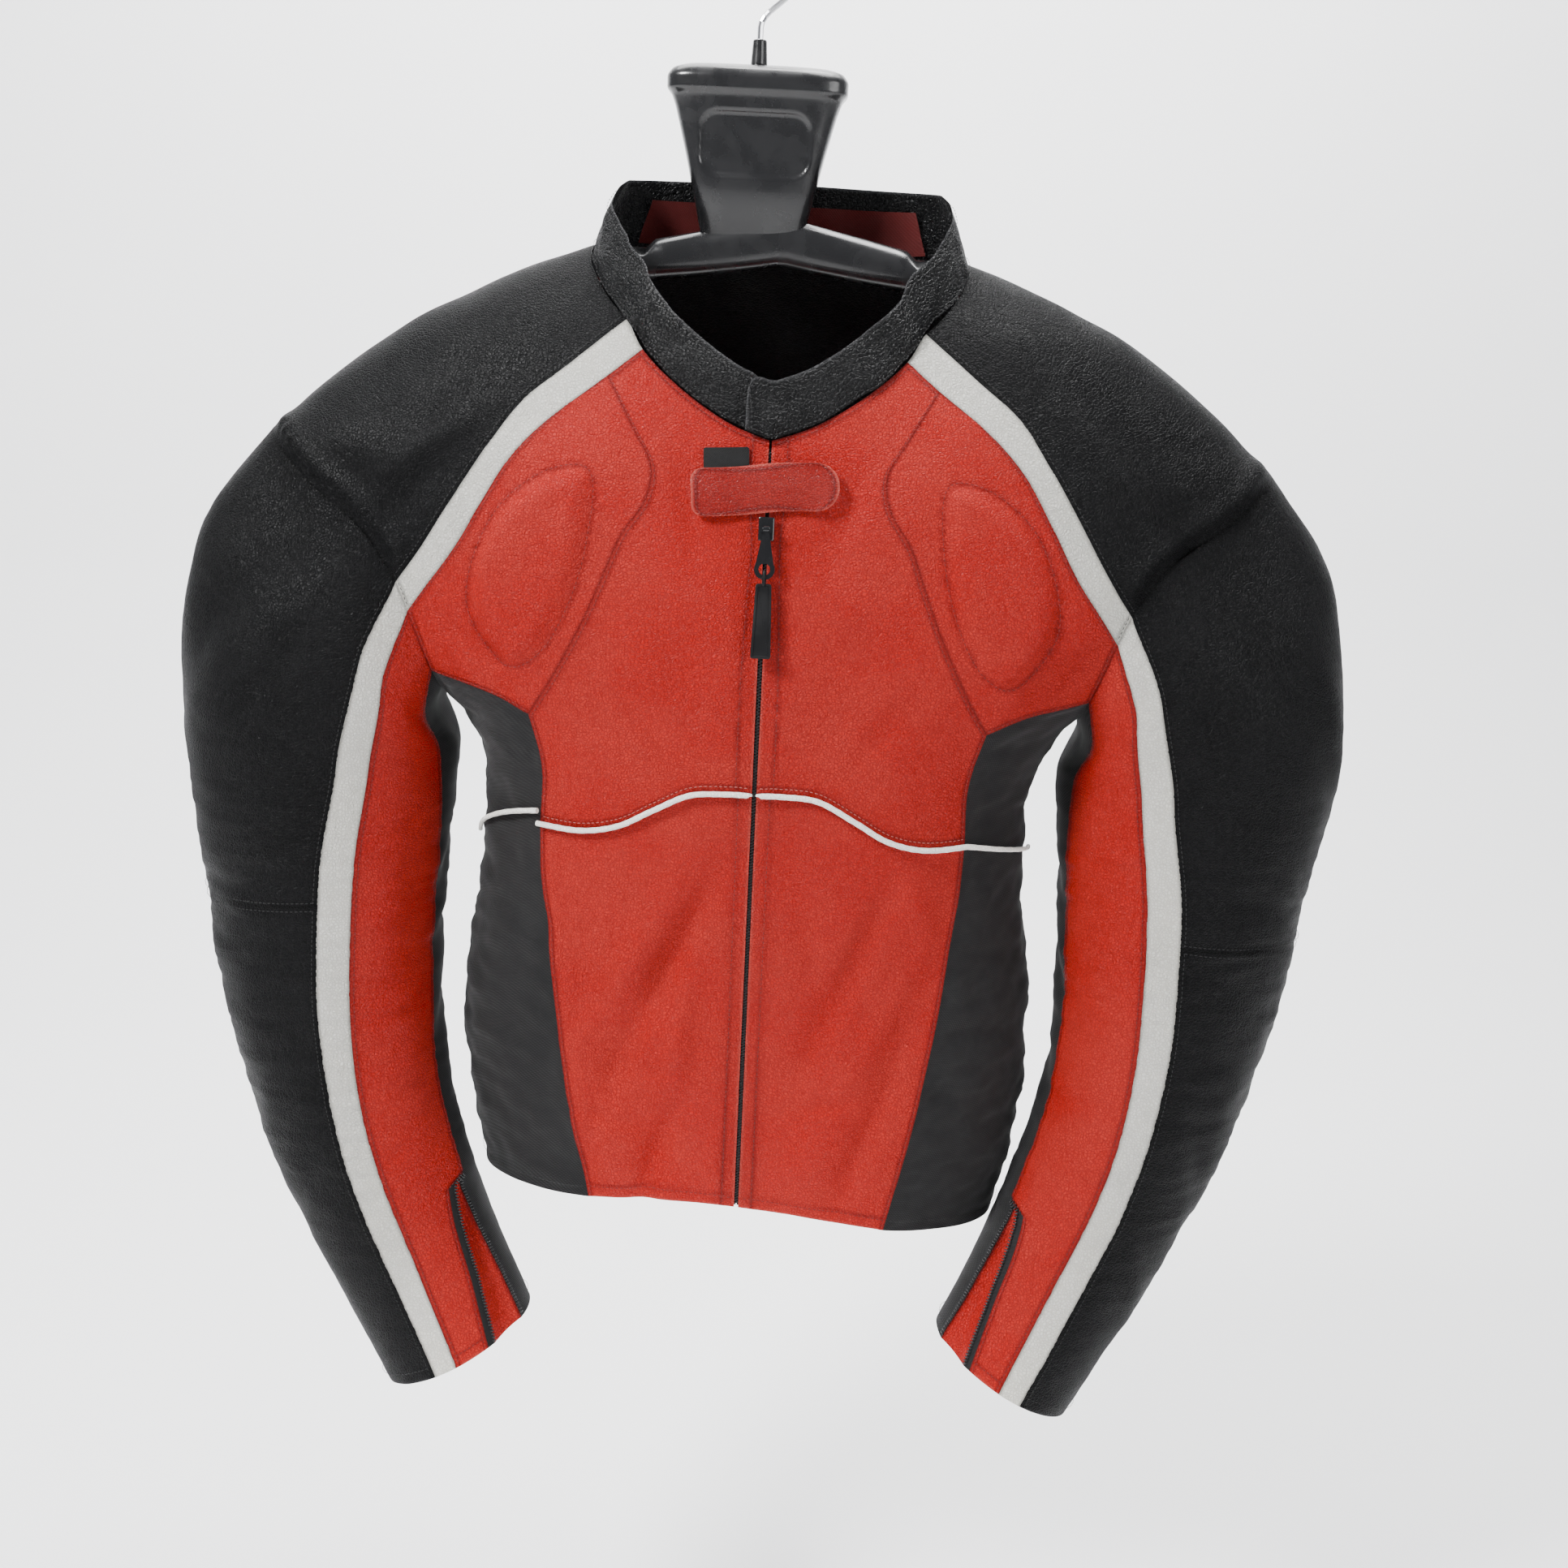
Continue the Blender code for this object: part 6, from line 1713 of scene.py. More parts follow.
@dataclass
class ZipTeeth:
    """A row of moulded zip teeth along a line.

    Attributes:
        wardrobe: gives the finish.
        name: the piece's name.
        pitch: distance from tooth to tooth.
        size: length across, length along and height of a tooth.
        first: distance of the first tooth from the line's start.
        rounding: width of its broken edges.
    """

    wardrobe: Wardrobe
    name: str
    pitch: float = 0.0022
    size: Triple = (0.0026, 0.00098, 0.0014)
    first: float = 0.0022
    rounding: float = 0.0003

    def along(self, points: Array, normals: Array) -> bpy.types.Object:
        """Makes the teeth along a line with its surface normals."""
        lengths = run_lengths(points)
        bm = bmesh.new()
        for at in np.arange(self.first, lengths[-1] - self.pitch, self.pitch):
            here = Vector(read_along(at, lengths, points))
            ahead = Vector(read_along(at + 0.0005, lengths, points))
            up = Vector(read_along(at, lengths, normals)).normalized()
            forward = (ahead - here).normalized()
            across = forward.cross(up).normalized()
            place = carried(here, across, forward, across.cross(forward))
            tooth = bmesh.ops.create_cube(bm, size=1.0, matrix=place @ Matrix.Diagonal((*self.size, 1.0)))
            edges = list({e for v in tooth["verts"] for e in v.link_edges})
            bmesh.ops.bevel(bm, geom=edges, offset=self.rounding, segments=1, profile=0.5, affect="EDGES",
                            material=-1)
        piece = piece_from(self.name, bm, self.wardrobe.material(TEETH))
        settle(piece, GARMENT, TEETH.slot)
        return piece


@dataclass
class Collar:
    """Stand collar, its topstitching and the dark red band inside the back of the neck.

    Attributes:
        form: the trunk's surface.
        maker: makes the panels.
        front_height: height at the front.
        back_height: height at the back.
        overlap: how far the viewer's right end laps over, in radians.
        end_gap: angle left at the other end.
        lift: how far the upper lap stands off.
        lean_ends: lean inwards at the front and back for each unit of rise.
        lean_sides: the same at the sides.
        corner: radius of the rounded top corners.
        base_lift: height of its lower edge above the neck seam.
        band: first and last angle in degrees, lower and upper share of the height of the inside band.
    """

    form: TrunkForm
    maker: PanelMaker
    front_height: float = 0.036
    back_height: float = 0.050
    overlap: float = math.radians(2.6)
    end_gap: float = math.radians(0.8)
    lift: float = 0.0052
    lean_ends: float = 0.12
    lean_sides: float = 0.42
    corner: float = 0.011
    base_lift: float = 0.0014
    band: tuple[float, float, float, float] = (128.0, 232.0, 0.10, 0.72)

    def frame_at(self, angle: Array) -> tuple[Array, Array, Array]:
        """Lower points, rises and outward directions at angles around the neck."""
        wrapped = np.where(angle <= math.pi, angle, angle - 2 * math.pi)
        places = np.stack([np.abs(wrapped), self.form.neck(wrapped)], axis=-1)
        spot = self.form.bare(places)
        spot[..., 0] *= np.where(wrapped < 0, -1.0, 1.0)
        outward = unit(np.stack([spot[..., 0], spot[..., 1] + 0.025, 0 * angle], axis=-1))
        height = self.front_height + (self.back_height - self.front_height) * (0.5 - 0.5 * np.cos(wrapped))
        lap = np.clip(1 - np.maximum(angle + self.overlap, 0.0) / math.radians(7.0), 0.0, 1.0)
        lean = self.lean_ends + (self.lean_sides - self.lean_ends) * np.abs(np.sin(wrapped))
        rise = unit(np.array((0.0, 0.0, 1.0)) - outward * lean[..., None])
        base = spot + outward * (self.lift * lap)[..., None] + np.array((HANG_SHIFT, 0.0, self.base_lift))
        return base, rise * height[..., None], outward

    def build(self) -> None:
        """Makes the collar and its band."""
        start, end = -self.overlap, 2 * math.pi - self.end_gap
        steps = np.linspace(start, end, 200)
        base = self.frame_at(steps)[0]
        length = float(np.linalg.norm(np.diff(base, axis=0), axis=1).sum())
        angle = start + (end - start) * graded_shares(length, 0.0030)
        up = graded_shares(self.back_height, 0.0026)
        base, rise, outward = self.frame_at(angle)
        along = run_lengths(base)
        from_end = np.minimum(along, along[-1] - along)
        short = np.clip((self.corner - from_end) / self.corner, 0.0, 1.0)
        height = np.linalg.norm(rise, axis=-1)
        trim = 1 - self.corner * (1 - np.sqrt(np.clip(1 - short ** 2, 0.0, 1.0))) / height
        points = base[None] + rise[None] * (up[:, None] * trim[None])[..., None]
        normals = np.repeat(outward[None], len(up), axis=0)
        grid_up = np.repeat(up[:, None], len(angle), axis=1)
        wrinkles = 0.0024 * noise_field(points, (48.0, 48.0, 30.0), 4.4)
        wrinkles += 0.0014 * noise_field(points, (120.0, 120.0, 70.0), 7.9)
        pleats = 0.0016 * noise_field(points, (105.0, 105.0, 24.0), 1.7) * (1 - grid_up)
        roll = 0.0011 * np.sin(math.pi * grid_up)
        # The collar's turned edges get a painted highlight, strongest at the lapping end.
        shell = Shell(points, normals, wrinkles + pleats + roll,
                      {"low": seamed(0.0026), "high": turned(0.0042, bead=0.0015, edge_highlight=0.7),
                       "left": turned(0.0048, bead=0.0020, edge_highlight=1.0),
                       "right": turned(0.0042, bead=0.0014, edge_highlight=0.7)})
        neck = ["cloth_back", "cloth_front_upper_left", "cloth_front_upper_right"]
        self.maker.make("collar", shell, COLLAR_BLACK, BLACK_THREAD, neck, 0.0003, 0.0010)
        self.inside_band()

    def inside_band(self) -> None:
        """Dark red band on the inner face at the back of the neck."""
        first, last, low, high = self.band
        angle = np.radians(np.linspace(first, last, 70))
        base, rise, outward = self.frame_at(angle)
        up = np.linspace(low, high, 12)
        points = base[None] + rise[None] * up[:, None, None] - outward[None] * 0.0040
        normals = np.repeat(outward[None], len(up), axis=0)
        wrinkles = 0.0010 * noise_field(points, (60.0, 60.0, 40.0), 2.2)
        shell = Shell(points, -normals, wrinkles, dict.fromkeys(SIDES, TURNED))
        shell.dress(0.0)
        inner = shell.points + shell.normals * (shell.relief - 0.0001)[..., None]
        piece = self.maker.closed("neck_band", shell.surface, inner, shell.seam, LINING)
        settle(piece, GARMENT, LINING.slot)
        declare_cloth(piece, ["cloth_collar"], shell)


@dataclass
class FrontPatch:
    """Flat strap or patch that lies on the fronts, with its own corner radii.

    Attributes:
        form: the trunk's surface.
        x: middle, across.
        z: middle, height.
        half_length: half its length.
        half_height: half its height.
        lean: lean in degrees.
        lift: height of its middle surface off the fronts.
        radii: corner radii at the viewer's left and right end.
        bow: how far its edges wave up and down.
    """

    form: TrunkForm
    x: float
    z: float
    half_length: float
    half_height: float
    lean: float
    lift: float
    radii: tuple[float, float]
    bow: float = 0.0

    def shell(self, relief: Callable[[Array, Array], Array], borders: dict[str, Border]) -> Shell:
        """Its surface, with relief by its own coordinates from -1 to 1."""
        u = 2 * graded_shares(2 * self.half_length, 0.0020) - 1
        v = 2 * graded_shares(2 * self.half_height, 0.0016) - 1
        grid_u, grid_v = np.meshgrid(u, v)
        radius = np.where(grid_u < 0, self.radii[0], self.radii[1])
        over = np.clip((np.abs(grid_v) * self.half_height - (self.half_height - radius)) / radius, 0.0, 1.0)
        cut = radius * (1 - np.sqrt(1 - over ** 2))
        across = grid_u * (self.half_length - cut)
        up = grid_v * self.half_height + self.bow * np.sin(grid_u * 2.6 + 0.5)
        lean = math.radians(self.lean)
        x = self.x + across * math.cos(lean) - up * math.sin(lean)
        z = self.z + across * math.sin(lean) + up * math.cos(lean)
        points, normals = self.form.mirrored(self.form.front_places(x, z), np.sign(x))
        rise = self.form.relief(points) + relief(grid_u, grid_v)
        return Shell(hung(points + normals * self.lift), normals, rise, borders)


@dataclass
class NeckTab:
    """Tab strap across the top of the zip, with the hook-and-loop patch behind it.

    Attributes:
        form: the trunk's surface.
        maker: makes the panels.
        stitch: distance of the strap's stitch row from its edge.
    """

    form: TrunkForm
    maker: PanelMaker
    stitch: float = 0.0034

    def build(self) -> None:
        """Makes the patch and the strap."""
        patch = FrontPatch(self.form, -0.027, -0.3390, 0.0145, 0.0165, 3.0, 0.0019, (0.001, 0.001))
        fuzz = patch.shell(lambda u, v: 0.0002 * np.sin(u * 37) * np.sin(v * 41),
                           dict.fromkeys(SIDES, TURNED))
        self.maker.make("tab_patch", fuzz, HOOKS, BLACK_THREAD, ["cloth_front_upper_left"], 0.0, 0.0005)
        strap = FrontPatch(self.form, -0.002, -0.3475, 0.047, 0.0150, 4.3, 0.0042, (0.0075, 0.0145),
                           0.0009)

        def crown(u: Array, v: Array) -> Array:
            ends = 0.0016 * smoothstep(np.abs(u), 0.72, 1.0) * np.where(u < 0, 1.0, 0.6)
            return 0.0012 * (1 - v ** 2) + 0.0007 * np.sin(u * 7.0 + 0.6) + ends

        # The strap's stitched edges get a painted highlight.
        row = turned(self.stitch, thread=RED_THREAD, bead=0.0007, edge_highlight=0.9)
        shell = strap.shell(crown, dict.fromkeys(SIDES, row))
        self.maker.make("tab_strap", shell, STRAP_RED, RED_THREAD, ["cloth_front_upper_right"], 0.0, 0.0009)


@dataclass
class FrontZip:
    """Tapes and teeth of the front zip.

    Attributes:
        form: the trunk's surface.
        maker: makes the panels.
        tape_width: width of each tape.
        depth: depth of the tapes behind the fronts.
        top_drop: how far below the neck seam they start.
        hem_rise: how far above the hem they end.
    """

    form: TrunkForm
    maker: PanelMaker
    tape_width: float = 0.015
    depth: float = 0.0024
    top_drop: float = 0.004
    hem_rise: float = 0.0004

    def build(self) -> None:
        """Makes both tapes with their teeth."""
        top = float(self.form.neck(0.0)) - self.top_drop
        low = float(self.form.hem(0.0)) + self.hem_rise
        z = np.linspace(low, top, 170)
        x = self.tape_width * np.array((0.0, 0.06, 0.12, 0.2, 0.35, 0.6, 0.85, 1.0)) + 0.0003
        for side, tag in ((-1, "left"), (1, "right")):
            points, normals = self.form.mirrored(self.form.front_places(*np.meshgrid(x, z)), side)
            relief = self.form.relief(points) - SHELL_OUT
            shell = Shell(hung(points - normals * self.depth), normals, relief, dict.fromkeys(SIDES, TURNED))
            self.maker.make(f"zip_tape_{tag}", shell, TAPE, BLACK_THREAD, [f"cloth_front_lower_{tag}"], 0.0,
                            -0.0002)
            first = 0.0021 if side < 0 else 0.00315
            ZipTeeth(self.maker.wardrobe, f"zip_teeth_{tag}", 0.0021, (0.0032, 0.00098, 0.0014), first).along(
                *shell.line("left", 0.0006))


@dataclass
class Piping:
    """White piping cord in the seam across the fronts and on over the side panels.

    Attributes:
        form: the trunk's surface.
        wardrobe: gives the finish.
        radius: radius of the cord.
        end_angle: angle at which it ends.
        end_z: height of its end.
        stand_off: height of its middle above the trunk's surface.
        left_step: how much higher it goes on over the side panel on the viewer's left.
    """

    form: TrunkForm
    wardrobe: Wardrobe
    radius: float = 0.0019
    end_angle: float = math.radians(84)
    end_z: float = -0.592
    stand_off: float = 0.0028
    left_step: float = 0.0090

    def build(self) -> None:
        """Makes the cord of both halves."""
        for side, tag in ((-1, "left"), (1, "right")):
            spots = smooth_line(PIPING)(np.linspace(0.0, 1.0, 64))
            spots[:, 0] = np.maximum(spots[:, 0], ZIP_HALF_SLIT + self.radius * 0.6)
            front = self.form.front_places(*spots.T)
            t = np.linspace(0.0, 1.0, 25)[:, None]
            tail = front[-1] + (np.array((self.end_angle, self.end_z)) - front[-1]) * t
            if side < 0:
                tail[:, 1] += self.left_step * (1 - 2.2 * t[:, 0] ** 2)
            curve = bpy.data.curves.new(f"piping_cord_{tag}", "CURVE")
            curve.dimensions = "3D"
            curve.bevel_depth = self.radius
            curve.bevel_resolution = 4
            curve.use_fill_caps = True
            for places, thinning in ((front, 0.0), (tail, 0.25)):
                points, normals = self.form.mirrored(places, side)
                points = hung(points + normals * (self.form.relief(points) + self.stand_off)[:, None])
                spline = curve.splines.new("POLY")
                spline.points.add(len(points) - 1)
                for k, (knot, place) in enumerate(zip(spline.points, points)):
                    knot.co = (*place, 1.0)
                    knot.radius = 1.0 - thinning * k / len(points) + 0.05 * math.sin(k * 1.9)
            curve.materials.append(self.wardrobe.material(WHITE))
            piece = bpy.data.objects.new(f"piping_cord_{tag}", curve)
            bpy.context.scene.collection.objects.link(piece)
            settle(piece, GARMENT, WHITE.slot, f"piping_{tag}")
            LOG.info("piping_cord_%s: %d knots", tag, len(front) + len(tail))


Arm = row_type("Arm", "x half_depth half_height")
Head = row_type("Head", "z half_width half_depth")


@dataclass
class Hanger:
    """Broad plastic hanger with its boxy head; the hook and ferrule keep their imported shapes.

    Attributes:
        form: the trunk's surface, which lies on the arms.
        wardrobe: gives the finishes.
        arm_neck: half width of the part inside the collar.
        arm_root: height of the arms' top in the middle.
        clear: distance left under the shoulders.
        recess: middle height, half width, half height, corner and depth of the panel in the face.
    """

    form: TrunkForm
    wardrobe: Wardrobe
    arm_neck: float = 0.110
    arm_root: float = -0.1760
    clear: float = 0.0028
    recess: tuple[float, float, float, float, float] = (-0.1330, 0.0360, 0.0200, 0.012, 0.0022)

    ARMS = (Arm(-0.290, 0.012, 0.004), Arm(-0.280, 0.024, 0.009), Arm(-0.255, 0.029, 0.012),
            Arm(-0.215, 0.026, 0.012), Arm(-0.160, 0.021, 0.012), Arm(-0.100, 0.016, 0.013),
            Arm(-0.045, 0.012, 0.015), Arm(0.000, 0.011, 0.016), Arm(0.045, 0.012, 0.015),
            Arm(0.100, 0.016, 0.013), Arm(0.160, 0.021, 0.012), Arm(0.215, 0.026, 0.012),
            Arm(0.255, 0.029, 0.012), Arm(0.280, 0.024, 0.009), Arm(0.290, 0.012, 0.004))
    HEAD = (Head(-0.190, 0.034, 0.010), Head(-0.159, 0.041, 0.019), Head(-0.130, 0.048, 0.022),
            Head(-0.104, 0.0555, 0.025), Head(-0.0985, 0.0590, 0.0275), Head(-0.0930, 0.0590, 0.0275),
            Head(-0.0875, 0.0560, 0.0250), Head(-0.0845, 0.0480, 0.0200), Head(-0.0830, 0.0300, 0.0110))

    @staticmethod
    def loft(bm: bmesh.types.BMesh, rings: Array) -> None:
        """Adds a closed body through rings of points."""
        rows, columns = rings.shape[0] - 1, rings.shape[1]
        made = bmesh.ops.create_grid(bm, x_segments=columns, y_segments=rows, size=1.0)["verts"]
        for v in made:
            i = round((v.co.x + 1) / 2 * columns)
            j = round((v.co.y + 1) / 2 * rows)
            v.co = rings[j, i % columns]
        bmesh.ops.remove_doubles(bm, verts=made, dist=0.000001)
        rims = [e for e in bm.edges if e.is_boundary]
        bmesh.ops.holes_fill(bm, edges=rims, sides=0)

    def roof(self, x: Array, y: Array) -> Array:
        """Height of the trunk's surface above a place under the shoulders."""
        widest = max(TRUNK, key=lambda ring: ring.half_width)
        return last_inside(np.full(x.shape, widest.z), np.full(x.shape, TRUNK[-1].z),
                           lambda z: self.form.holds(x, y, z))

    def build(self) -> None:
        """Makes the hanger body and gives the hook and ferrule their finishes."""
        bm = bmesh.new()
        x = np.linspace(-0.290, 0.290, 88)[:, None]
        half_depth, half_height = np.moveaxis(SmoothTable(self.ARMS)(x), -1, 0)
        turn = np.linspace(0.0, 2 * math.pi, 28, endpoint=False)[None]
        reach = np.maximum(np.abs(x), self.arm_neck)
        top = self.roof(reach, 0 * reach) - 0.001 - self.clear
        top = top + (self.arm_root - top) * np.maximum(0.0, 1 - np.abs(x) / self.arm_neck)
        y = half_depth * power(np.cos(turn), 0.8)
        z = top - half_height + half_height * power(np.sin(turn), 0.8)
        ceiling = self.roof(np.repeat(reach, turn.shape[1], axis=1), y) - 0.001 - self.clear
        z = np.where(np.abs(x) > 0.8 * self.arm_neck, np.minimum(z, ceiling), z)
        rings = np.stack([np.repeat(x, turn.shape[1], axis=1) + HANG_SHIFT, y, z], axis=-1)
        self.loft(bm, rings)
        self.loft(bm, self.head_rings())
        face_out(bm)
        piece = piece_from("hanger_body", bm, self.wardrobe.material(PLASTIC), 60.0)
        settle(piece, GARMENT, PLASTIC.slot, "hanger")
        for node, finish in (("hook_ferrule", PLASTIC), ("hook", CHROME)):
            paint_packed(node, self.wardrobe.material(finish))

    def head_rings(self) -> Array:
        """Rings of the head, with the shallow panel sunk in its front face."""
        table = SmoothTable(self.HEAD)
        z = np.concatenate([np.linspace(-0.190, -0.104, 56), np.linspace(-0.103, -0.0845, 22),
                            np.linspace(-0.0842, -0.0830, 5)])[:, None]
        half_width, half_depth = np.moveaxis(table(z), -1, 0)
        turn = np.linspace(0.0, 2 * math.pi, 120, endpoint=False)[None]
        x = half_width * power(np.cos(turn), 0.5)
        y = -half_depth * power(np.sin(turn), 0.5)
        middle, wide, tall, corner, depth = self.recess
        out_x = np.maximum(np.abs(x) - (wide - corner), 0.0)
        out_z = np.maximum(np.abs(z - middle) - (tall - corner), 0.0)
        away = corner - np.hypot(out_x, out_z)
        y = y + np.where(y < -0.6 * half_depth, depth * smoothstep(away, -0.0006, 0.0014), 0.0)
        return np.stack([x, y, np.repeat(z, turn.shape[1], axis=1)], axis=-1)


@dataclass
class ZipPull:
    """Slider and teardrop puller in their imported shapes, and the rubber pull with its loop in the eye.

    Attributes:
        wardrobe: gives the finishes.
        edge: radius of the rounded edges.
        pivot: the puller's pivot.
        lean: how far the puller leans with the chest, in degrees.
        eye: drop from the pivot to the middle of the eye.
        grip_top: drop to the top of the grip.
        grip_bottom: drop to its bottom.
        grip_width: its width at the top and the bottom.
        grip_depth: its thickness.
        cord: radius of the loop.
    """

    wardrobe: Wardrobe
    edge: float = 0.00035
    pivot: Triple = (HANG_SHIFT, -0.11095, -0.371)
    lean: float = 7.2
    eye: float = 0.0255
    grip_top: float = 0.0345
    grip_bottom: float = 0.0819
    grip_width: tuple[float, float] = (0.0100, 0.0130)
    grip_depth: float = 0.0034
    cord: float = 0.00095

    def build(self) -> None:
        """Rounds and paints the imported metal, and makes the rubber pull."""
        for node in ("zip_slider", "puller"):
            piece = paint_packed(node, self.wardrobe.material(METAL))
            rounding = piece.modifiers.new("rounded_edges", "BEVEL")
            rounding.width = self.edge
            rounding.segments = 2
            rounding.limit_method = "ANGLE"
            rounding.angle_limit = math.radians(40)
            LOG.info("%s: edges rounded to %.2f mm", node, self.edge * 1000)
        bm = bmesh.new()
        self.grip(bm)
        self.loop(bm)
        leaning = Matrix.Translation(self.pivot) @ Matrix.Rotation(-math.radians(self.lean), 4, "X")
        bmesh.ops.transform(bm, matrix=leaning, verts=bm.verts[:])
        piece = piece_from("rubber_pull", bm, self.wardrobe.material(RUBBER), 40.0)
        settle(piece, PULL_TAB, RUBBER.slot, "pull_tab")

    def grip(self, bm: bmesh.types.BMesh) -> None:
        """Flat grip, wider at its squared end, with a rim around a sunk panel on both faces."""
        middle, tall = -(self.grip_top + self.grip_bottom) / 2, self.grip_bottom - self.grip_top
        size = Matrix.Diagonal((self.grip_width[1], self.grip_depth, tall, 1.0))
        bmesh.ops.create_cube(bm, size=1.0, matrix=Matrix.Translation((0.0, 0.0, middle)) @ size)
        for v in bm.verts:
            if v.co.z > middle:
                v.co.x *= self.grip_width[0] / self.grip_width[1]
        upright = [e for e in bm.edges if abs(e.verts[0].co.y - e.verts[1].co.y) > self.grip_depth / 2]
        bmesh.ops.bevel(bm, geom=upright, offset=0.0016, segments=4, profile=0.5, affect="EDGES", material=-1)
        flats = [f for f in bm.faces if abs(f.normal.y) > 0.9 and f.calc_area() > 0.0001]
        bmesh.ops.bevel(bm, geom=list({e for f in flats for e in f.edges}), offset=0.0005, segments=2,
                        profile=0.5, affect="EDGES", material=-1)
        bm.normal_update()
        flats = [f for f in bm.faces if abs(f.normal.y) > 0.9 and f.calc_area() > 0.0001]
        bmesh.ops.inset_individual(bm, faces=flats, thickness=0.0011, depth=0.0)
        bmesh.ops.inset_individual(bm, faces=flats, thickness=0.0003, depth=-0.0004)

    def loop(self, bm: bmesh.types.BMesh) -> None:
        """Loop of the pull, through the eye and around its lower rim."""
        top, bottom, half = -self.eye - 0.0012, -self.grip_top - 0.0012, 0.0020
        ring = []
        for k in range(28):
            turn = 2 * math.pi * k / 28
            y, z = half * math.cos(turn), half * math.sin(turn)
            ring.append(Vector((0.0, y, (top - half if z > 0 else bottom + half) + z)))
        sections = []
        for k, here in enumerate(ring):
            along = (ring[(k + 1) % len(ring)] - ring[k - 1]).normalized()
            across = Vector((1.0, 0.0, 0.0))
            made = bmesh.ops.create_circle(bm, cap_ends=False, segments=12, radius=self.cord,
                                           matrix=carried(here, across, along.cross(across), along))["verts"]
            sections.append(list({e for v in made for e in v.link_edges}))
        for first, second in zip(sections, sections[1:] + sections[:1]):
            bmesh.ops.bridge_loops(bm, edges=first + second)
        bmesh.ops.recalc_face_normals(bm, faces=bm.faces[:])


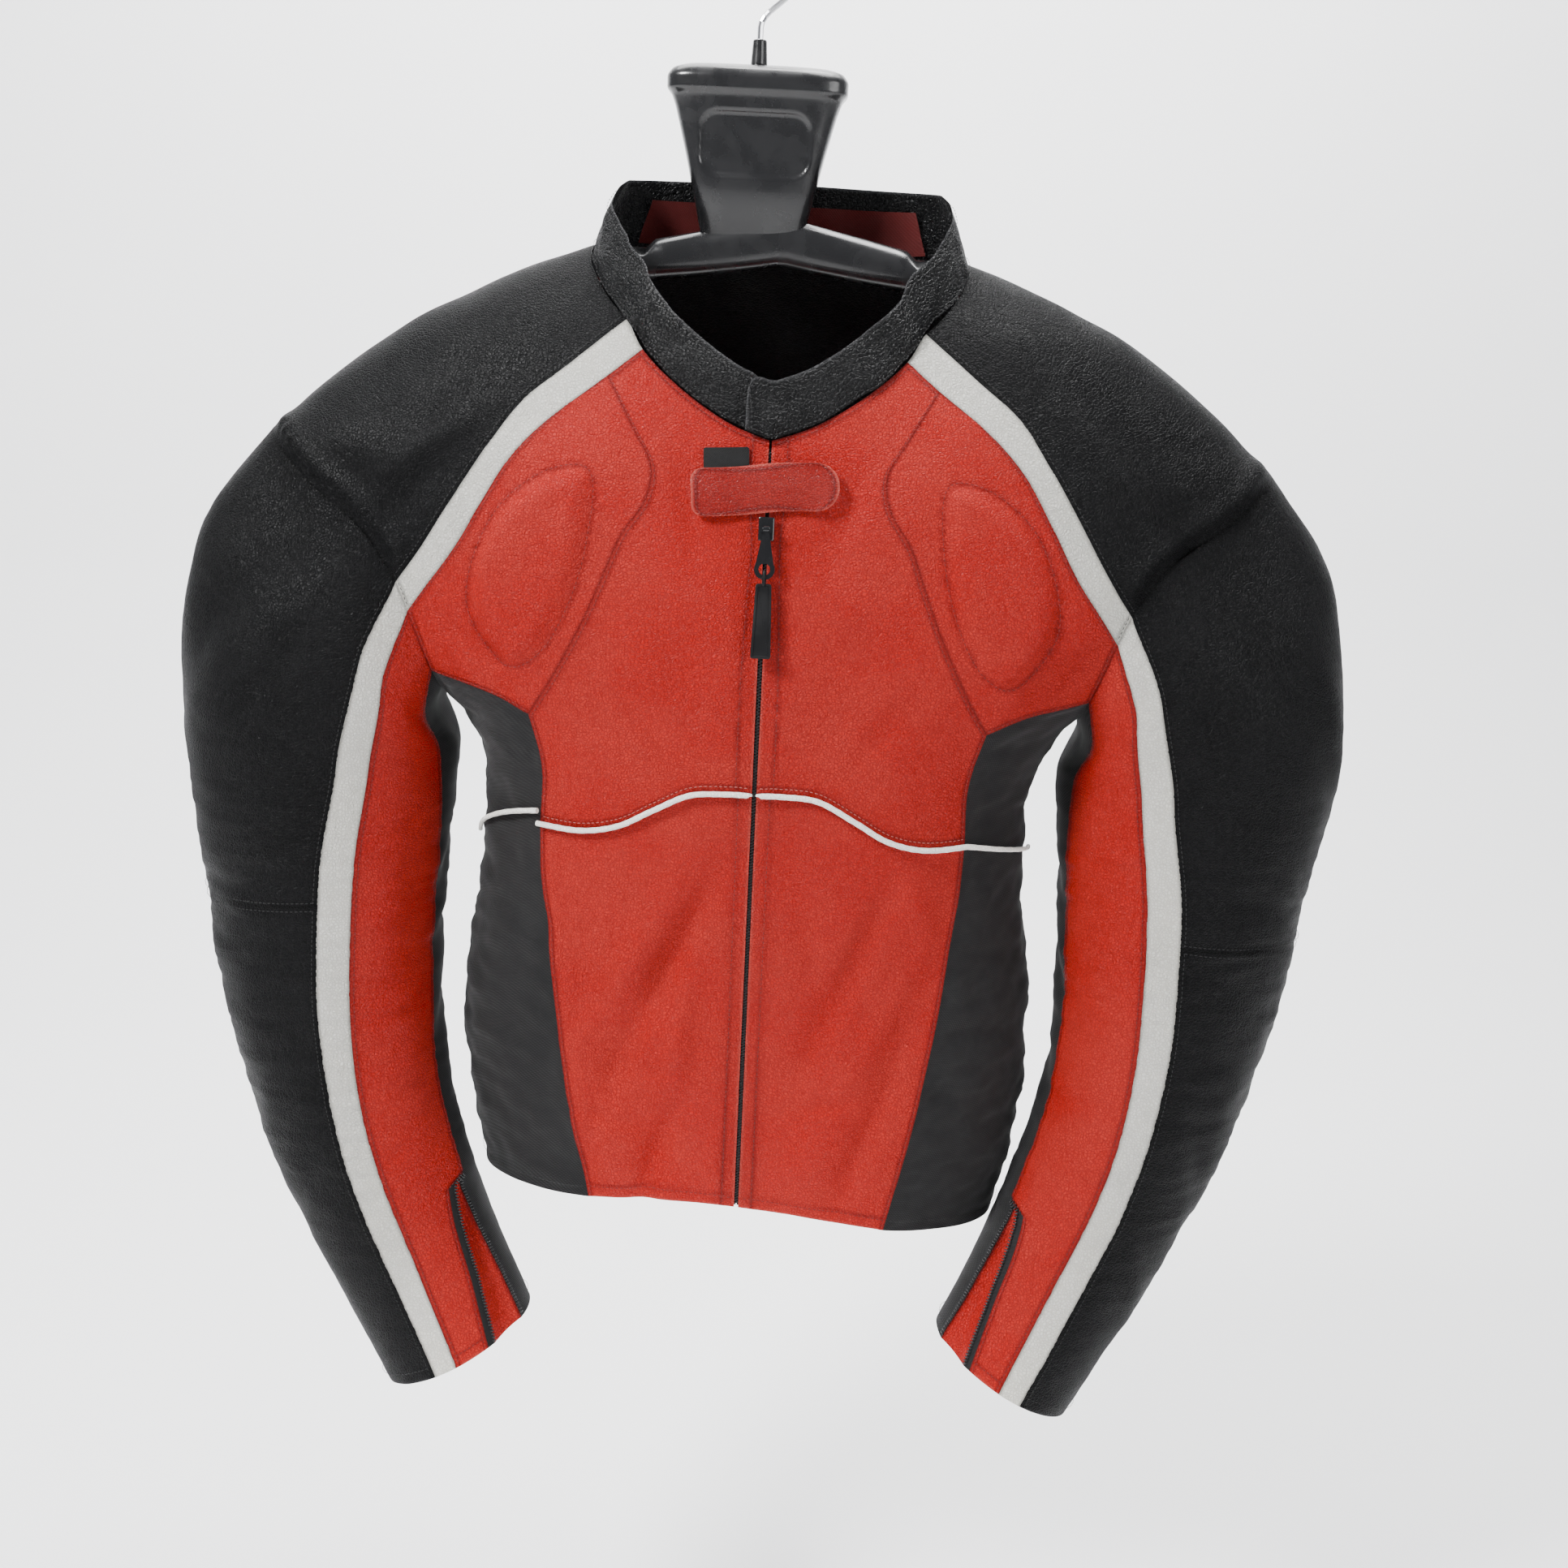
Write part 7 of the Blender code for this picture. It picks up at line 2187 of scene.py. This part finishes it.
@dataclass(frozen=True)
class Studio:
    """Pale floor and backdrop, soft lights and the photograph's camera.

    Attributes:
        distance: camera to the jacket's middle plane.
        pitch: how far it looks down, in degrees.
        aim_z: height that it looks at.
        aside: how far it stands to the right.
        roll: turn about its own axis, in degrees.
        focal_px: focal length in pixels of the 1932 pixel picture.
        picture_px: the picture's side in pixels.
        floor_z: height of the floor.
    """

    distance: float = 1.38
    pitch: float = 13.4
    aim_z: float = -0.562
    aside: float = 0.039
    roll: float = 2.79
    focal_px: float = 2400.0
    picture_px: float = 1932.0
    floor_z: float = -1.30

    def camera(self) -> None:
        """Puts the camera where the photograph was taken."""
        data = bpy.data.cameras.new("photo_camera")
        data.sensor_width = 36.0
        data.sensor_height = 36.0
        data.lens = 36.0 * self.focal_px / self.picture_px
        data.clip_start = 0.05
        pitch = math.radians(self.pitch)
        camera = bpy.data.objects.new("photo_camera", data)
        camera.location = (self.aside, -self.distance * math.cos(pitch),
                           self.aim_z + self.distance * math.sin(pitch))
        look = Matrix.Rotation(math.pi / 2 - pitch, 3, "X") @ Matrix.Rotation(math.radians(self.roll), 3, "Z")
        camera.rotation_euler = look.to_euler()
        bpy.context.scene.collection.objects.link(camera)
        bpy.context.scene.camera = camera

    @staticmethod
    def lights() -> None:
        """Large soft lights in front and above, and a pale sky."""
        setup = (
            ("key_light", (-1.9, -1.5, 1.5), (0.0, 0.0, -0.5), 0.8, 190.0),
            ("fill_light", (2.2, -1.7, 0.2), (0.0, 0.0, -0.55), 1.5, 34.0),
            ("top_light", (0.4, 0.1, 1.9), (0.0, 0.0, -0.4), 1.2, 66.0),
            ("backdrop_light", (0.0, 0.9, 1.4), (0.0, 2.1, -0.6), 2.2, 120.0),
        )
        for name, place, target, size, watts in setup:
            light = bpy.data.lights.new(name, "AREA")
            light.shape = "DISK"
            light.size = size
            light.energy = watts
            lamp = bpy.data.objects.new(name, light)
            lamp.location = place
            lamp.rotation_euler = (Vector(target) - Vector(place)).to_track_quat("-Z", "Y").to_euler()
            bpy.context.scene.collection.objects.link(lamp)
        world = bpy.data.worlds.new("pale_studio")
        world.use_nodes = True
        sky = world.node_tree.nodes["Background"]
        sky.inputs["Color"].default_value = (0.93, 0.95, 1.0, 1.0)
        sky.inputs["Strength"].default_value = 0.44
        bpy.context.scene.world = world

    def sweep(self) -> None:
        """One pale sheet that is the floor and curves up behind."""
        bend, back, front, half = 0.7, 1.9, -3.2, 4.5
        profile = [(front, self.floor_z), (back - bend, self.floor_z)]
        for k in range(1, 17):
            turn = math.radians(90 * k / 16)
            profile.append((back - bend + bend * math.sin(turn), self.floor_z + bend * (1 - math.cos(turn))))
        profile.append((back, 3.2))
        bm = bmesh.new()
        bmesh.ops.create_grid(bm, x_segments=6, y_segments=len(profile) - 1, size=1.0)
        for v in bm.verts:
            j = round((v.co.y + 1) / 2 * (len(profile) - 1))
            v.co = (v.co.x * half, profile[j][0], profile[j][1])
        material = bpy.data.materials.new("pale_backdrop")
        material.use_nodes = True
        graph = Graph(material.node_tree)
        shader = material.node_tree.nodes["Principled BSDF"]
        place = graph.add("ShaderNodeTexCoord").outputs["Object"]
        paper = graph.mix(graph.noise(place, 3.0, 3.0), (0.86, 0.86, 0.87), (0.90, 0.90, 0.90))
        graph.link(paper, shader.inputs["Base Color"])
        shader.inputs["Roughness"].default_value = 0.9
        sheet = piece_from("studio_sweep", bm, material, 180.0)


class Jacket:
    """The whole dressed model."""

    def __init__(self) -> None:
        self.wardrobe = Wardrobe()
        self.stitches = StitchWork(self.wardrobe)
        self.maker = PanelMaker(self.wardrobe, self.stitches)
        self.form = TrunkForm()

    def build(self) -> None:
        """Builds every sub-assembly."""
        Hanger(self.form, self.wardrobe).build()
        Trunk(self.form, self.maker).build()
        for side, tag in ((-1, "left"), (1, "right")):
            Sleeve(SleeveForm(self.form), self.maker, side, tag).build()
        Collar(self.form, self.maker).build()
        FrontZip(self.form, self.maker).build()
        NeckTab(self.form, self.maker).build()
        Piping(self.form, self.wardrobe).build()
        ZipPull(self.wardrobe).build()
        self.stitches.finish()


def main() -> None:
    logging.basicConfig(level=logging.INFO, format="%(name)s: %(message)s")
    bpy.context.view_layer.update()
    Jacket().build()
    studio = Studio()
    studio.camera()
    studio.lights()
    studio.sweep()


if __name__ == "__main__":
    main()
